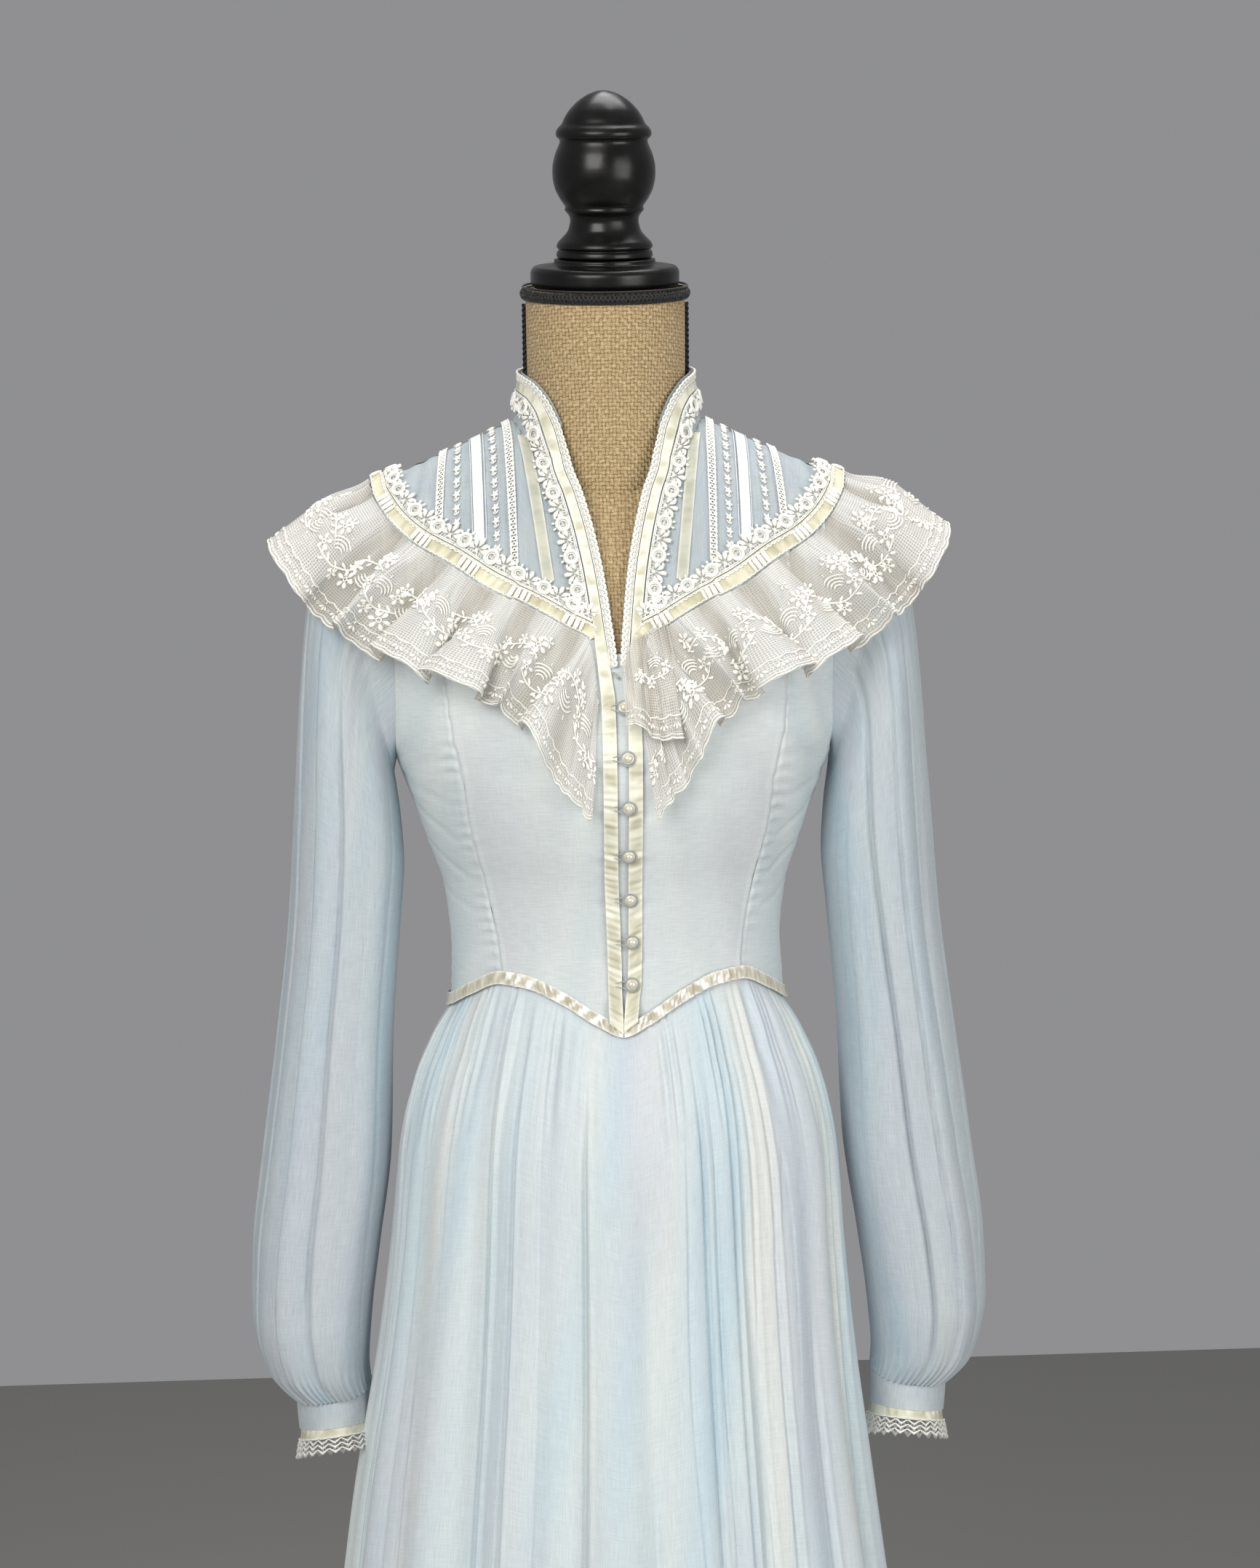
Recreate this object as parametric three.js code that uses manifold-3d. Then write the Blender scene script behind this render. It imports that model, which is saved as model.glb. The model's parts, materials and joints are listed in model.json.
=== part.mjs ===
/*
 * Prairie dress on a limbless dress form.
 *
 * Units are millimetres. +Z is up, the dress faces -Y, and its own left and right sides lie along X.
 * The origin is the middle of the base's underside, where the stand meets the floor.
 *
 * The form and the bodice share one body surface. It is measured by height: half width, front depth and
 * back depth. Every bodice piece is a stretch of that surface, moved out by its layer. The sleeves, the
 * skirt and the ruffle have surfaces of their own, worked out from short tables of sections.
 */
import * as THREE from 'three';
import { mergeVertices } from 'three/addons/utils/BufferGeometryUtils.js';
import Module from 'manifold-3d';

const wasm = await Module();
wasm.setup();

// ---------------------------------------------------------------- driving dimensions

const SEAM = 0.3; // each panel stops this far short of its seam line
const FORM_LIFT = -3.2; // form surface, measured from the body surface
const CLOTH = { inner: 0.5, outer: 1.6 }; // garment walls
const TRIM = { inner: 2.7, outer: 3.7 }; // ribbons and laces that lie on a panel
const OVER = { inner: 4.4, outer: 5.4 }; // laces that lie on a trim
const WAIST_RIBBON = { inner: 5.2, outer: 6.2 }; // the waist ribbon lies on the skirt's gathers
const UNDERLAP = { inner: 0.3, outer: 1.4 };

const SHOULDER = {
  neckX: 63, neckZ: 1427, // where the shoulder line meets the neck
  tipX: 151, tipZ: 1389, // shoulder tip
  ridgeY: 6, // the shoulder line runs this far behind the middle
  roll: 85, // height over which the shoulder rolls from its ridge to full depth
};
const NECK = { radius: 52, centreY: 6, topZ: 1513, lean: THREE.MathUtils.degToRad(10) };
const TORSO_BOTTOM = 850;
const ARM_PLATE_IN = 3.2; // the form's flat arm ends lie this far inside the armholes
const BASE = { radius: 175, height: 22, edge: 5 };
const POLE_RADIUS = 12.5;
const HEM = 30;

const RIBBON = 8.5; // width of every satin ribbon
const PICOT = 5.5;
const DAISY = { width: 12.6, repeat: 22, scallop: 1.6, hole: 2.6, ringAt: 5.6 };
const BUTTON = { radius: 3.8, height: 4.4 };

// ---------------------------------------------------------------- tables

/** Body sections: half width and depths of the closed section, and where a panel ends at the armhole. */
const BODY = table(['z', 'half', 'front', 'back', 'arm'], [
  [850, 118, 74, 90, 118],
  [868, 136, 84, 103, 136],
  [900, 141, 88, 107, 141],
  [940, 138, 86, 104, 138],
  [980, 129, 82, 97, 129],
  [1010, 119, 81, 89, 119],
  [1035, 111, 81, 84, 111],
  [1060, 107.5, 82, 82, 107.5],
  [1085, 107, 84, 84, 107],
  [1110, 109, 89, 87, 109],
  [1130, 112, 95, 90, 112],
  [1156, 121, 106, 94, 121],
  [1180, 129.5, 114, 98, 129.5],
  [1200, 137, 117, 101, 137],
  [1212, 141.2, 117, 102, 141.2],
  [1225, 146, 115, 103, 140.2],
  [1250, 152, 107, 104, 139],
  [1290, 163, 92, 103, 140],
  [1320, 168, 80, 99, 143],
  [1350, 172, 70, 92, 147],
  [1380, 175, 64, 82, 150],
  [1400, 176, 61, 74, 152],
  [1432, 177, 57, 64, 154],
]);

/** Height of the seam between bodice and skirt, by angle from the front middle. */
const WAIST = table(['angle', 'z'], [
  [0, 1038], [8, 1045], [20, 1059], [33, 1069], [44, 1071], [60, 1062], [78, 1052], [90, 1050],
  [120, 1053], [150, 1055], [180, 1055],
]);

/** Princess seams, by height: angle from the front or back middle. */
const PRINCESS = table(['z', 'angle'], [
  [1050, 44.5], [1070, 45], [1100, 47], [1130, 49], [1168, 48.5], [1200, 46], [1240, 45], [1300, 43.5],
  [1350, 41.5], [1380, 40],
]);

/** The ruffle's gathered edge, by its share of the way from the front middle to the shoulder tip (1). */
const RUFFLE_FRONT = table(['at', 'x', 'z'], [
  [0, 8, 1243], [0.09, 9.5, 1266], [0.18, 14, 1288], [0.25, 30, 1298], [0.35, 52, 1311], [0.46, 76, 1323],
  [0.575, 100, 1339], [0.68, 122, 1352], [0.76, 137, 1366], [0.84, 147, 1381],
]);
/** The same line behind, down to the back middle (2). */
const RUFFLE_BACK = table(['at', 'x', 'z'], [
  [1.2, 147, 1381], [1.31, 136, 1363], [1.44, 112, 1349], [1.62, 76, 1340], [1.81, 38, 1335], [2, 0.4, 1333],
]);

/** How each stretch of the ruffle falls from its gathered edge: outwards, forwards and down. */
const RUFFLE_FALL = table(['at', 'out', 'forward', 'down'], [
  [0, 5, 9, 71], [0.09, 13, 15, 72], [0.18, 22, 25, 70], [0.27, 29, 26, 67], [0.35, 34, 24, 64],
  [0.46, 37, 21, 62], [0.575, 42, 20, 58], [0.68, 51, 18, 50], [0.76, 60, 14, 40], [0.86, 66, 7, 32],
  [1, 69, 0, 28], [1.17, 66, -7, 32], [1.31, 58, -14, 42], [1.44, 45, -17, 56], [1.62, 29, -18, 66],
  [1.81, 15, -19, 70], [2, 0, -19, 72],
]);

/** Ruffle waves: where each crest lies along the gathered edge, and how far it stands out at the hem. */
const RUFFLE_WAVES = table(['at', 'high'], [
  [0.04, 7], [0.2, 11], [0.34, 8], [0.47, 11], [0.6, 8.5], [0.74, 10], [0.87, 8], [1, 9],
  [1.14, 8], [1.3, 10], [1.44, 8.5], [1.58, 11], [1.73, 9], [1.87, 11], [1.97, 7],
]);

/** Neck edge in front, by height: half width of the V opening. */
const NECK_EDGE = table(['z', 'x'], [
  [1268, 0.6], [1300, 3.6], [1327, 7], [1355, 12.3], [1380, 18.8], [1401, 24.5],
]);

/** Stand collar, by angle round the neck from the front: its top and its foot. */
const COLLAR = table(['angle', 'top', 'foot'], [
  [26, 1401, 1396], [33, 1422, 1402], [45, 1442, 1408], [60, 1453, 1417], [90, 1461, 1430.5],
  [130, 1467, 1427], [180, 1470, 1423],
]);

/** Sleeve sections: outer and inner point, depth front to back, middle along y, and fold height. */
const SLEEVE = table(['at', 'outX', 'outZ', 'inX', 'inZ', 'deep', 'midY', 'fold'], [
  [0, 152, 1386, 142, 1211, 46, 0, 0],
  [1, 176, 1366, 143.8, 1201, 43, 1, 1.2],
  [2, 196, 1318, 142.6, 1191, 49, 2, 2.4],
  [3, 203, 1250, 140.5, 1172, 55, 4, 4],
  [4, 207, 1185, 139, 1142, 55, 6, 5],
  [5, 212, 1108, 143, 1096, 54, 9, 5.5],
  [6, 222, 1026, 149, 1026, 55, 11, 6],
  [7, 231, 950, 152, 950, 58, 13, 6.5],
  [8, 238, 885, 161, 885, 61, 15, 6],
  [9, 239, 842, 167, 842, 60, 16, 5],
  [10, 233, 805, 170, 805, 51, 17, 3],
  [11, 219, 783, 168.5, 789, 39.5, 17, 1.2],
]);
const SLEEVE_FOLDS = 11;

/** Skirt sections, to the middle of the cloth. */
const SKIRT = table(['z', 'half', 'front', 'back'], [
  [30, 247, 214, 226], [200, 231, 198, 208], [400, 211, 174, 185], [560, 192, 154, 166],
  [672, 175, 138, 150], [730, 167, 131, 143], [812, 157, 122, 134], [886, 151, 116, 128],
  [923, 148.5, 114, 125], [952, 145.5, 112, 122], [980, 140, 108, 117], [1004, 133, 102, 110],
  [1026, 125, 95, 101], [1070, 116, 86, 88],
]);
const GATHERS = 36; // round the whole waist
const GATHER_COLUMNS = 3; // columns to each gather
const SKIRT_DROPS = [0, 16, 52, 130, 290, 560, 1020];

/** Long skirt folds: angle from the front middle, half width in degrees, depth at the hip. */
const SKIRT_FOLDS = [
  [-158, 7, 6], [-134, 6, 5], [-112, 8, 6], [-94, 5, 4], [-77, 6, 5], [-58, 5, 3.5], [-39, 6, 6], [-24, 4, 3],
  [-13, 4, 5], [5, 4, 6], [12, 3, 4], [22, 5, 5], [35, 6, 5], [52, 6, 4], [70, 6, 5], [91, 6, 5], [115, 8, 6],
  [137, 6, 4], [162, 8, 6],
].map(([angle, wide, deep]) => ({ angle, wide, deep }));

/** Strips of the yoke: middle at the shoulder line and at the ruffle, and width. */
const YOKE_STRIPS = [
  { name: 'cream_ribbon', top: 55, foot: 42, width: 7.3, colour: 'satin' },
  { name: 'eyelet_inner', top: 66, foot: 63, width: 5.7, colour: 'lace' },
  { name: 'white_band', top: 85.6, foot: 84.7, width: 10.4, colour: 'lace' },
  { name: 'eyelet_outer', top: 106, foot: 110, width: 5.7, colour: 'lace' },
];

/** Ribbons beside the front opening, by height: middle of the wearer's right and left ribbon. */
const FRONT_RIBBON = table(['z', 'left', 'right'], [
  [1050, -4.9, 6], [1074, -4.9, 7.4], [1106, -5.6, 8], [1142, -6.8, 8], [1184, -7.2, 8.2],
  [1226, -7.2, 8.6], [1262, -7.4, 8.8],
]);
/** Buttons, from the waist up: place, and height of the seat above the ribbons. */
const BUTTONS = table(['z', 'x', 'seat'], [
  [1068, 5.3, 0.75], [1096, 5.8, 0.75], [1124, 4.8, 0.75], [1153, 3.8, 0.6], [1183, 3.8, 0.5],
  [1213, 3.6, 0.1], [1243, 2.2, 0],
]);

// ---------------------------------------------------------------- tables and numbers

/** A table with named columns, read at any value of its first column along a smooth curve. */
function table(columns, rows) {
  const keys = rows.map((row) => row[0]);
  const slope = (name, i) => {
    if (i === 0 || i === rows.length - 1) return 0;
    const before = (rows[i][name] - rows[i - 1][name]) / (keys[i] - keys[i - 1]);
    const after = (rows[i + 1][name] - rows[i][name]) / (keys[i + 1] - keys[i]);
    return before * after > 0 ? (2 * before * after) / (before + after) : 0;
  };
  const at = (key, column) => {
    const name = columns.indexOf(column);
    const last = rows.length - 1;
    if (key <= keys[0]) return rows[0][name];
    if (key >= keys[last]) return rows[last][name];
    const i = keys.findIndex((k) => k > key) - 1;
    const span = keys[i + 1] - keys[i];
    const t = (key - keys[i]) / span;
    const [a, b] = [rows[i][name], rows[i + 1][name]];
    const [m, n] = [slope(name, i) * span, slope(name, i + 1) * span];
    return a + t * (m + t * (3 * (b - a) - 2 * m - n + t * (m + n - 2 * (b - a))));
  };
  return { at, keys, rows };
}

const rad = THREE.MathUtils.degToRad;
const mix = THREE.MathUtils.lerp;
const ease = THREE.MathUtils.smoothstep;
const steps = (count) => Array.from({ length: count + 1 }, (_, i) => i / count);
const spread = (from, to, count) => steps(count).map((t) => mix(from, to, t));

// ---------------------------------------------------------------- body surface

/** Height of the shoulder line at x. */
function ridge(x) {
  const out = Math.max(0, Math.abs(x) - SHOULDER.neckX) / (SHOULDER.tipX - SHOULDER.neckX);
  return SHOULDER.neckZ - (SHOULDER.neckZ - SHOULDER.tipZ) * (out + 0.12 * out * (1 - out));
}

/** Depth of the neck column at x. */
const neckDepth = (x) => Math.sqrt(Math.max(0, NECK.radius ** 2 - x ** 2));

/** The body surface at x and z, in front (side -1) or behind (side 1). roll runs from 0 on the ridge to 1. */
function bodyY(x, z, side, roll) {
  const half = BODY.at(z, 'half');
  const full = BODY.at(z, side < 0 ? 'front' : 'back') * Math.sqrt(Math.max(0, 1 - (x / half) ** 2));
  const chest = full * roll;
  const neck = z > 1330 ? neckDepth(x) * ease(z, 1330, 1400) : 0;
  const blend = 9;
  const depth = z > 1330
    ? Math.log(Math.exp(chest / blend) + Math.exp(neck / blend) - 1) * blend
    : chest;
  return SHOULDER.ridgeY * ease(z, 1230, 1400) + side * depth;
}

/** How far the shoulder has rolled over at a drop below its ridge. */
const rollAt = (drop) => (drop >= SHOULDER.roll ? 1 : Math.sqrt(1 - (1 - drop / SHOULDER.roll) ** 2));

/** Body point by angle from the front middle (degrees, either sign) and height. */
function bodyAt(angle, z) {
  const turn = rad(angle);
  const side = Math.cos(turn) >= 0 ? -1 : 1;
  const x = BODY.at(z, 'half') * Math.sin(turn);
  const drop = Math.max(0, ridge(x) - z);
  return new THREE.Vector3(x, bodyY(x, z, side, rollAt(drop)), z);
}

/** Body point over the shoulder: x, and meridian length from the ridge, negative in front. */
function overShoulder(x, length) {
  const quarter = (SHOULDER.roll * Math.PI) / 2;
  const run = Math.min(Math.abs(length), quarter);
  const drop = SHOULDER.roll * (1 - Math.cos(run / SHOULDER.roll)) + Math.abs(length) - run;
  const z = ridge(x) - drop;
  return new THREE.Vector3(x, bodyY(x, z, length < 0 ? -1 : 1, Math.sin(run / SHOULDER.roll)), z);
}

/** Meridian length from the ridge down to height z at x. */
function lengthTo(x, z) {
  const drop = Math.max(0, ridge(x) - z);
  if (drop > SHOULDER.roll) return (SHOULDER.roll * Math.PI) / 2 + drop - SHOULDER.roll;
  return SHOULDER.roll * Math.acos(1 - drop / SHOULDER.roll);
}

/** Surface point with its outward normal, from any function of two parameters. */
function framed(surface, u, v, du, dv) {
  const point = surface(u, v);
  const along = surface(u + du, v).sub(surface(u - du, v));
  const across = surface(u, v + dv).sub(surface(u, v - dv));
  const normal = along.cross(across).normalize();
  const outward = new THREE.Vector3(point.x, point.y - SHOULDER.ridgeY, point.z > 1340 ? 60 : 0);
  if (normal.dot(outward) < 0) normal.negate();
  return { point, normal };
}

const onBody = (angle, z) => framed(bodyAt, angle, z, 0.2, 0.2);
const onShoulder = (x, length) => framed(overShoulder, x, length, 0.3, 0.3);

/** Body point by x and z on one side; near the ridge this stays smooth. */
const onSide = (x, z, side) => onShoulder(x, side * Math.max(lengthTo(x, z), 0.25));

// ---------------------------------------------------------------- solids

/** Geometry from vertices and quads or triangles, turned so that its faces point out. */
function closed(points, faces) {
  const index = [];
  for (const face of faces) {
    for (let k = 1; k < face.length - 1; k += 1) index.push(face[0], face[k], face[k + 1]);
  }
  let volume = 0;
  for (let i = 0; i < index.length; i += 3) {
    const [a, b, c] = [points[index[i]], points[index[i + 1]], points[index[i + 2]]];
    volume += a.dot(b.clone().cross(c));
  }
  if (volume < 0) index.reverse();
  const geometry = new THREE.BufferGeometry();
  const places = points.flatMap((p) => [p.x, p.y, p.z]);
  geometry.setAttribute('position', new THREE.Float32BufferAttribute(places, 3));
  geometry.setIndex(index);
  return geometry;
}

/** A wall from a grid of surface points. A loop closes the columns into a tube. */
function wall(grid, { inner, outer }, loop = false) {
  const rows = grid.length;
  const columns = grid[0].length;
  const points = [];
  for (const lift of [inner, outer]) {
    for (const row of grid) {
      for (const { point, normal } of row) points.push(point.clone().addScaledVector(normal, lift));
    }
  }
  const id = (layer, i, j) => layer * rows * columns + i * columns + (j % columns);
  const across = loop ? columns : columns - 1;
  const faces = [];
  for (let i = 0; i < rows - 1; i += 1) {
    for (let j = 0; j < across; j += 1) {
      faces.push([id(1, i, j), id(1, i, j + 1), id(1, i + 1, j + 1), id(1, i + 1, j)]);
      faces.push([id(0, i, j), id(0, i + 1, j), id(0, i + 1, j + 1), id(0, i, j + 1)]);
    }
  }
  for (let j = 0; j < across; j += 1) {
    faces.push([id(0, 0, j), id(0, 0, j + 1), id(1, 0, j + 1), id(1, 0, j)]);
    faces.push([id(1, rows - 1, j), id(1, rows - 1, j + 1), id(0, rows - 1, j + 1), id(0, rows - 1, j)]);
  }
  if (!loop) {
    const end = columns - 1;
    for (let i = 0; i < rows - 1; i += 1) {
      faces.push([id(1, i, 0), id(1, i + 1, 0), id(0, i + 1, 0), id(0, i, 0)]);
      faces.push([id(0, i, end), id(0, i + 1, end), id(1, i + 1, end), id(1, i, end)]);
    }
  }
  return closed(points, faces);
}

/** Gives each point of a grid the normal of the surface through its neighbours. */
function withNormals(points, loop, outward) {
  const rows = points.length;
  const columns = points[0].length;
  const column = (j) => (loop ? (j + columns) % columns : THREE.MathUtils.clamp(j, 0, columns - 1));
  return points.map((row, i) => row.map((point, j) => {
    const along = row[column(j + 1)].clone().sub(row[column(j - 1)]);
    const down = points[Math.min(i + 1, rows - 1)][j].clone().sub(points[Math.max(i - 1, 0)][j]);
    const normal = along.cross(down).normalize();
    if (normal.dot(outward(point, i, j)) < 0) normal.negate();
    return { point, normal };
  }));
}

/** The same geometry as a solid that can be joined and cut. */
function solid(geometry) {
  const bare = geometry.clone();
  bare.deleteAttribute('normal');
  bare.deleteAttribute('uv');
  const merged = mergeVertices(bare, 1e-4);
  return new wasm.Manifold(new wasm.Mesh({
    numProp: 3,
    vertProperties: new Float32Array(merged.attributes.position.array),
    triVerts: new Uint32Array(merged.index.array),
  }));
}

/** A joined or cut solid as three.js geometry. */
function unsolid(manifold) {
  const mesh = manifold.getMesh();
  const geometry = new THREE.BufferGeometry();
  const places = [];
  for (let i = 0; i < mesh.numVert; i += 1) {
    for (let k = 0; k < 3; k += 1) places.push(mesh.vertProperties[i * mesh.numProp + k]);
  }
  geometry.setAttribute('position', new THREE.Float32BufferAttribute(places, 3));
  geometry.setIndex(Array.from(mesh.triVerts));
  return geometry;
}

/** A turned piece from its profile of radius and height, about Z. */
function turned(profile, segments) {
  const points = profile.map(([radius, height]) => new THREE.Vector2(radius, height));
  return new THREE.LatheGeometry(points, segments).rotateX(Math.PI / 2);
}

// ---------------------------------------------------------------- finishes and assembly

const finish = (name, color, roughness, metalness = 0) => (
  Object.assign(new THREE.MeshStandardMaterial({ color, roughness, metalness }), { name })
);
const FINISH = {
  burlap: finish('burlap', 0xc9ae7f, 0.9),
  wood: finish('black turned wood', 0x1e1e1a, 0.4),
  braid: finish('black braid', 0x131318, 0.7),
  metal: finish('black steel', 0x18181a, 0.45, 0.3),
  voile: finish('pale blue voile', 0xc8d6e0, 0.85),
  satin: finish('cream satin', 0xf0ecd0, 0.35),
  lace: finish('white lace', 0xf3f3ec, 0.8),
  net: finish('ivory net lace', 0xe8e6e0, 0.85),
  pearl: finish('pearl', 0xe9e6da, 0.25),
};

const dress = new THREE.Group();

/** Adds one named piece. */
function add(name, geometry, material) {
  const mesh = new THREE.Mesh(geometry, material);
  mesh.name = name;
  dress.add(mesh);
  return mesh;
}

/** Adds a piece for each side. make gets -1 for the side at -X, called left here, and 1 for the right. */
function addPair(name, make, material) {
  add(`${name}_left`, make(-1), material);
  add(`${name}_right`, make(1), material);
}

/** The same grid on the other side of the middle. */
function mirrored(grid, hand) {
  if (hand > 0) return grid;
  const flip = (v) => new THREE.Vector3(-v.x, v.y, v.z);
  return grid.map((row) => row.map(({ point, normal }) => ({ point: flip(point), normal: flip(normal) })));
}

// ---------------------------------------------------------------- dress form

function formTorso() {
  const stations = spread(-90, 90, 16).map((a) => Math.sin(rad(a)));
  const heights = [850, 868, 900, 960, 1010, 1036, 1062, 1100, 1135, 1170, 1196, 1212, 1240, 1285, 1335];
  const rolls = [0.58, 0.36, 0.17, 0];
  const points = [];
  const rows = heights.length + rolls.length;
  for (const side of [-1, 1]) {
    for (const s of stations) {
      const column = heights.map((z) => {
        const x = s * (BODY.at(z, 'arm') - ARM_PLATE_IN);
        return new THREE.Vector3(x, chestY(x, z, side), z);
      });
      const topX = s * (BODY.at(1388, 'arm') - ARM_PLATE_IN);
      for (const share of rolls) {
        const run = share * SHOULDER.roll * 1.28;
        const drop = SHOULDER.roll * (1 - Math.cos(run / SHOULDER.roll));
        const z = ridge(topX) - drop + FORM_LIFT;
        column.push(new THREE.Vector3(topX, chestY(topX, z, side, Math.sin(run / SHOULDER.roll)), z));
      }
      points.push(...column);
    }
  }
  const count = stations.length;
  const id = (side, i, j) => (side * count + j) * rows + i;
  const faces = [];
  for (let i = 0; i < rows - 1; i += 1) {
    for (let j = 0; j < count - 1; j += 1) {
      faces.push([id(0, i, j), id(0, i, j + 1), id(0, i + 1, j + 1), id(0, i + 1, j)]);
      faces.push([id(1, i, j), id(1, i + 1, j), id(1, i + 1, j + 1), id(1, i, j + 1)]);
    }
    faces.push([id(0, i, 0), id(0, i + 1, 0), id(1, i + 1, 0), id(1, i, 0)]);
    faces.push([id(0, i, count - 1), id(1, i, count - 1), id(1, i + 1, count - 1), id(0, i + 1, count - 1)]);
  }
  for (let j = 0; j < count - 1; j += 1) {
    faces.push([id(0, 0, j), id(1, 0, j), id(1, 0, j + 1), id(0, 0, j + 1)]);
  }
  const torso = mergeVertices(closed(points, faces), 1e-3);
  return unsolid(solid(dropThin(torso)).add(solid(formNeck())));
}

/** Chest depth alone, with the neck left to its own column, moved in by the form's clearance. */
function chestY(x, z, side, roll = rollAt(Math.max(0, ridge(x) - z))) {
  const half = BODY.at(z, 'half');
  const depth = BODY.at(z, side < 0 ? 'front' : 'back') * Math.sqrt(Math.max(0, 1 - (x / half) ** 2));
  return SHOULDER.ridgeY * ease(z, 1230, 1400) + side * Math.max(0, depth * roll + FORM_LIFT);
}

/** Drops triangles that have lost a corner to merging. */
function dropThin(geometry) {
  const kept = [];
  const { array } = geometry.index;
  for (let i = 0; i < array.length; i += 3) {
    const [a, b, c] = [array[i], array[i + 1], array[i + 2]];
    if (a !== b && b !== c && a !== c) kept.push(a, b, c);
  }
  geometry.setIndex(kept);
  return geometry;
}

/** Neck column: rings that widen into the shoulders and lean forward to the neck top. */
function formNeck() {
  const rings = [[1352, 46, 0], [1385, 51.6, 0], [1430, 51.6, 0.1], [1470, 51.8, 0.55], [NECK.topZ, 52, 1]];
  const around = 18;
  const points = [];
  for (const [z, radius, lean] of rings) {
    const tilt = NECK.lean * lean;
    for (let k = 0; k < around; k += 1) {
      const turn = (2 * Math.PI * k) / around;
      const [dx, dy] = [radius * Math.sin(turn), -radius * Math.cos(turn)];
      points.push(new THREE.Vector3(dx, neckY(z) + dy * Math.cos(tilt), z + dy * Math.sin(tilt)));
    }
  }
  const last = rings.length * around - 1;
  const faces = [steps(around - 1).map((_, k) => k), steps(around - 1).map((_, k) => last - k)];
  for (let i = 0; i < rings.length - 1; i += 1) {
    for (let k = 0; k < around; k += 1) {
      const next = (k + 1) % around;
      faces.push([i * around + k, (i + 1) * around + k, (i + 1) * around + next, i * around + next]);
    }
  }
  return closed(points, faces);
}

/** Middle of the neck along Y, which leans forward above the collar. */
const neckY = (z) => NECK.centreY - 6 * ease(z, 1430, 1510);

/** Moves a piece turned about Z onto the leaning neck top, lifted along the neck's axis. */
function onNeckTop(geometry, lift) {
  geometry.translate(0, 0, lift);
  geometry.rotateX(NECK.lean);
  return geometry.translate(0, neckY(NECK.topZ), NECK.topZ);
}

function sideCord(hand) {
  const grid = spread(1441, 1504, 4).map((z) => [-2.6, 0, 2.6].map((dy) => {
    const y = neckY(z) + dy;
    const x = Math.sqrt(NECK.radius ** 2 - dy ** 2);
    return { point: new THREE.Vector3(x, y, z), normal: new THREE.Vector3(x, dy, 0).normalize() };
  }));
  return wall(mirrored(grid, hand), { inner: 0.4, outer: 1.9 });
}

function addForm() {
  add('form_torso', formTorso(), FINISH.burlap);
  add('form_neck_braid', onNeckTop(turned([
    [53, -9], [55.3, -8], [55.3, -1], [53, 0], [53, -9],
  ], 20), 3), FINISH.braid);
  addPair('form_side_cord', sideCord, FINISH.braid);
  add('form_neck_cap', onNeckTop(turned([
    [0, 0.3], [45, 0.3], [48.5, 4], [48.5, 12], [46, 15], [33, 16.5], [33, 20], [0, 20],
  ], 20), 0), FINISH.wood);
  add('form_finial', onNeckTop(turned([
    [0, 0], [31, 0], [31, 6.5], [29, 11.5], [22, 23.5], [25, 29], [31.5, 43], [33.5, 57], [29, 74], [30.5, 81],
    [28, 90], [17, 101], [0, 106],
  ], 14), 20.3), FINISH.wood);
  add('form_pole', turned([
    [0, BASE.height + SEAM], [POLE_RADIUS, BASE.height + SEAM], [POLE_RADIUS, TORSO_BOTTOM - SEAM],
    [0, TORSO_BOTTOM - SEAM],
  ], 12), FINISH.metal);
  add('form_base', turned([
    [0, 0], [BASE.radius, 0], [BASE.radius, BASE.height - BASE.edge], [BASE.radius - BASE.edge, BASE.height],
    [0, BASE.height],
  ], 28), FINISH.metal);
}

// ---------------------------------------------------------------- bodice

/** Height of the ruffle line over x, in front (side -1) or behind. */
function ruffleLine(x, side) {
  const path = side < 0 ? RUFFLE_FRONT : RUFFLE_BACK;
  const rows = [...path.rows].sort((a, b) => a[1] - b[1]).filter((row) => side > 0 || row[2] > 1287);
  return table(['x', 'z'], rows.map((row) => [row[1], row[2]])).at(Math.abs(x), 'z');
}

/** A bodice panel between two edges, each an angle by height, up to the ruffle line or the armhole. */
function bodicePanel(edges, tops, columns) {
  const waist = (angle) => WAIST.at(Math.abs(angle), 'z') + TUCK;
  return PANEL_ROWS.map((v) => steps(columns).map((u) => {
    let z = 1200;
    for (let k = 0; k < SETTLE; k += 1) z = mix(waist(mix(edges.from(z), edges.to(z), u)), tops(u), v);
    return onBody(mix(edges.from(z), edges.to(z), u), z);
  }));
}

const degreesAt = (x, z) => THREE.MathUtils.radToDeg(Math.asin(Math.min(1, x / BODY.at(z, 'half'))));
const princess = (z) => PRINCESS.at(z, 'angle');
const seamDegrees = (z) => THREE.MathUtils.radToDeg(SEAM / BODY.at(z, 'half'));

/** Angle of the armhole edge by height; below the armhole it is the side seam. */
function armAngle(z) {
  const share = Math.min(1, BODY.at(z, 'arm') / BODY.at(z, 'half'));
  return z <= 1212 ? 90 : THREE.MathUtils.radToDeg(Math.asin(share));
}

const UNDER_RIBBON = 3; // the front panels reach this far past the middle of their ribbon
const TUCK = 1.5; // the panels stop this far short of the waist seam, under its ribbon
const RUFFLE_TUCK = 4.1; // and this far short of the ruffle line
const SETTLE = 6; // rounds in which a panel point's height and angle settle against each other
const PANEL_ROWS = [0, 0.14, 0.28, 0.4, 0.49, 0.59, 0.73, 0.87, 1];
const SIDE_TOP = 1378; // top of the side panels, where ruffle line and armhole meet

/** Front edge of the opening: the blue front panels stop under the front ribbons. */
const frontEdge = (hand) => (z) => (
  degreesAt(Math.abs(FRONT_RIBBON.at(z, hand < 0 ? 'left' : 'right')) - UNDER_RIBBON, z)
);

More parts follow.
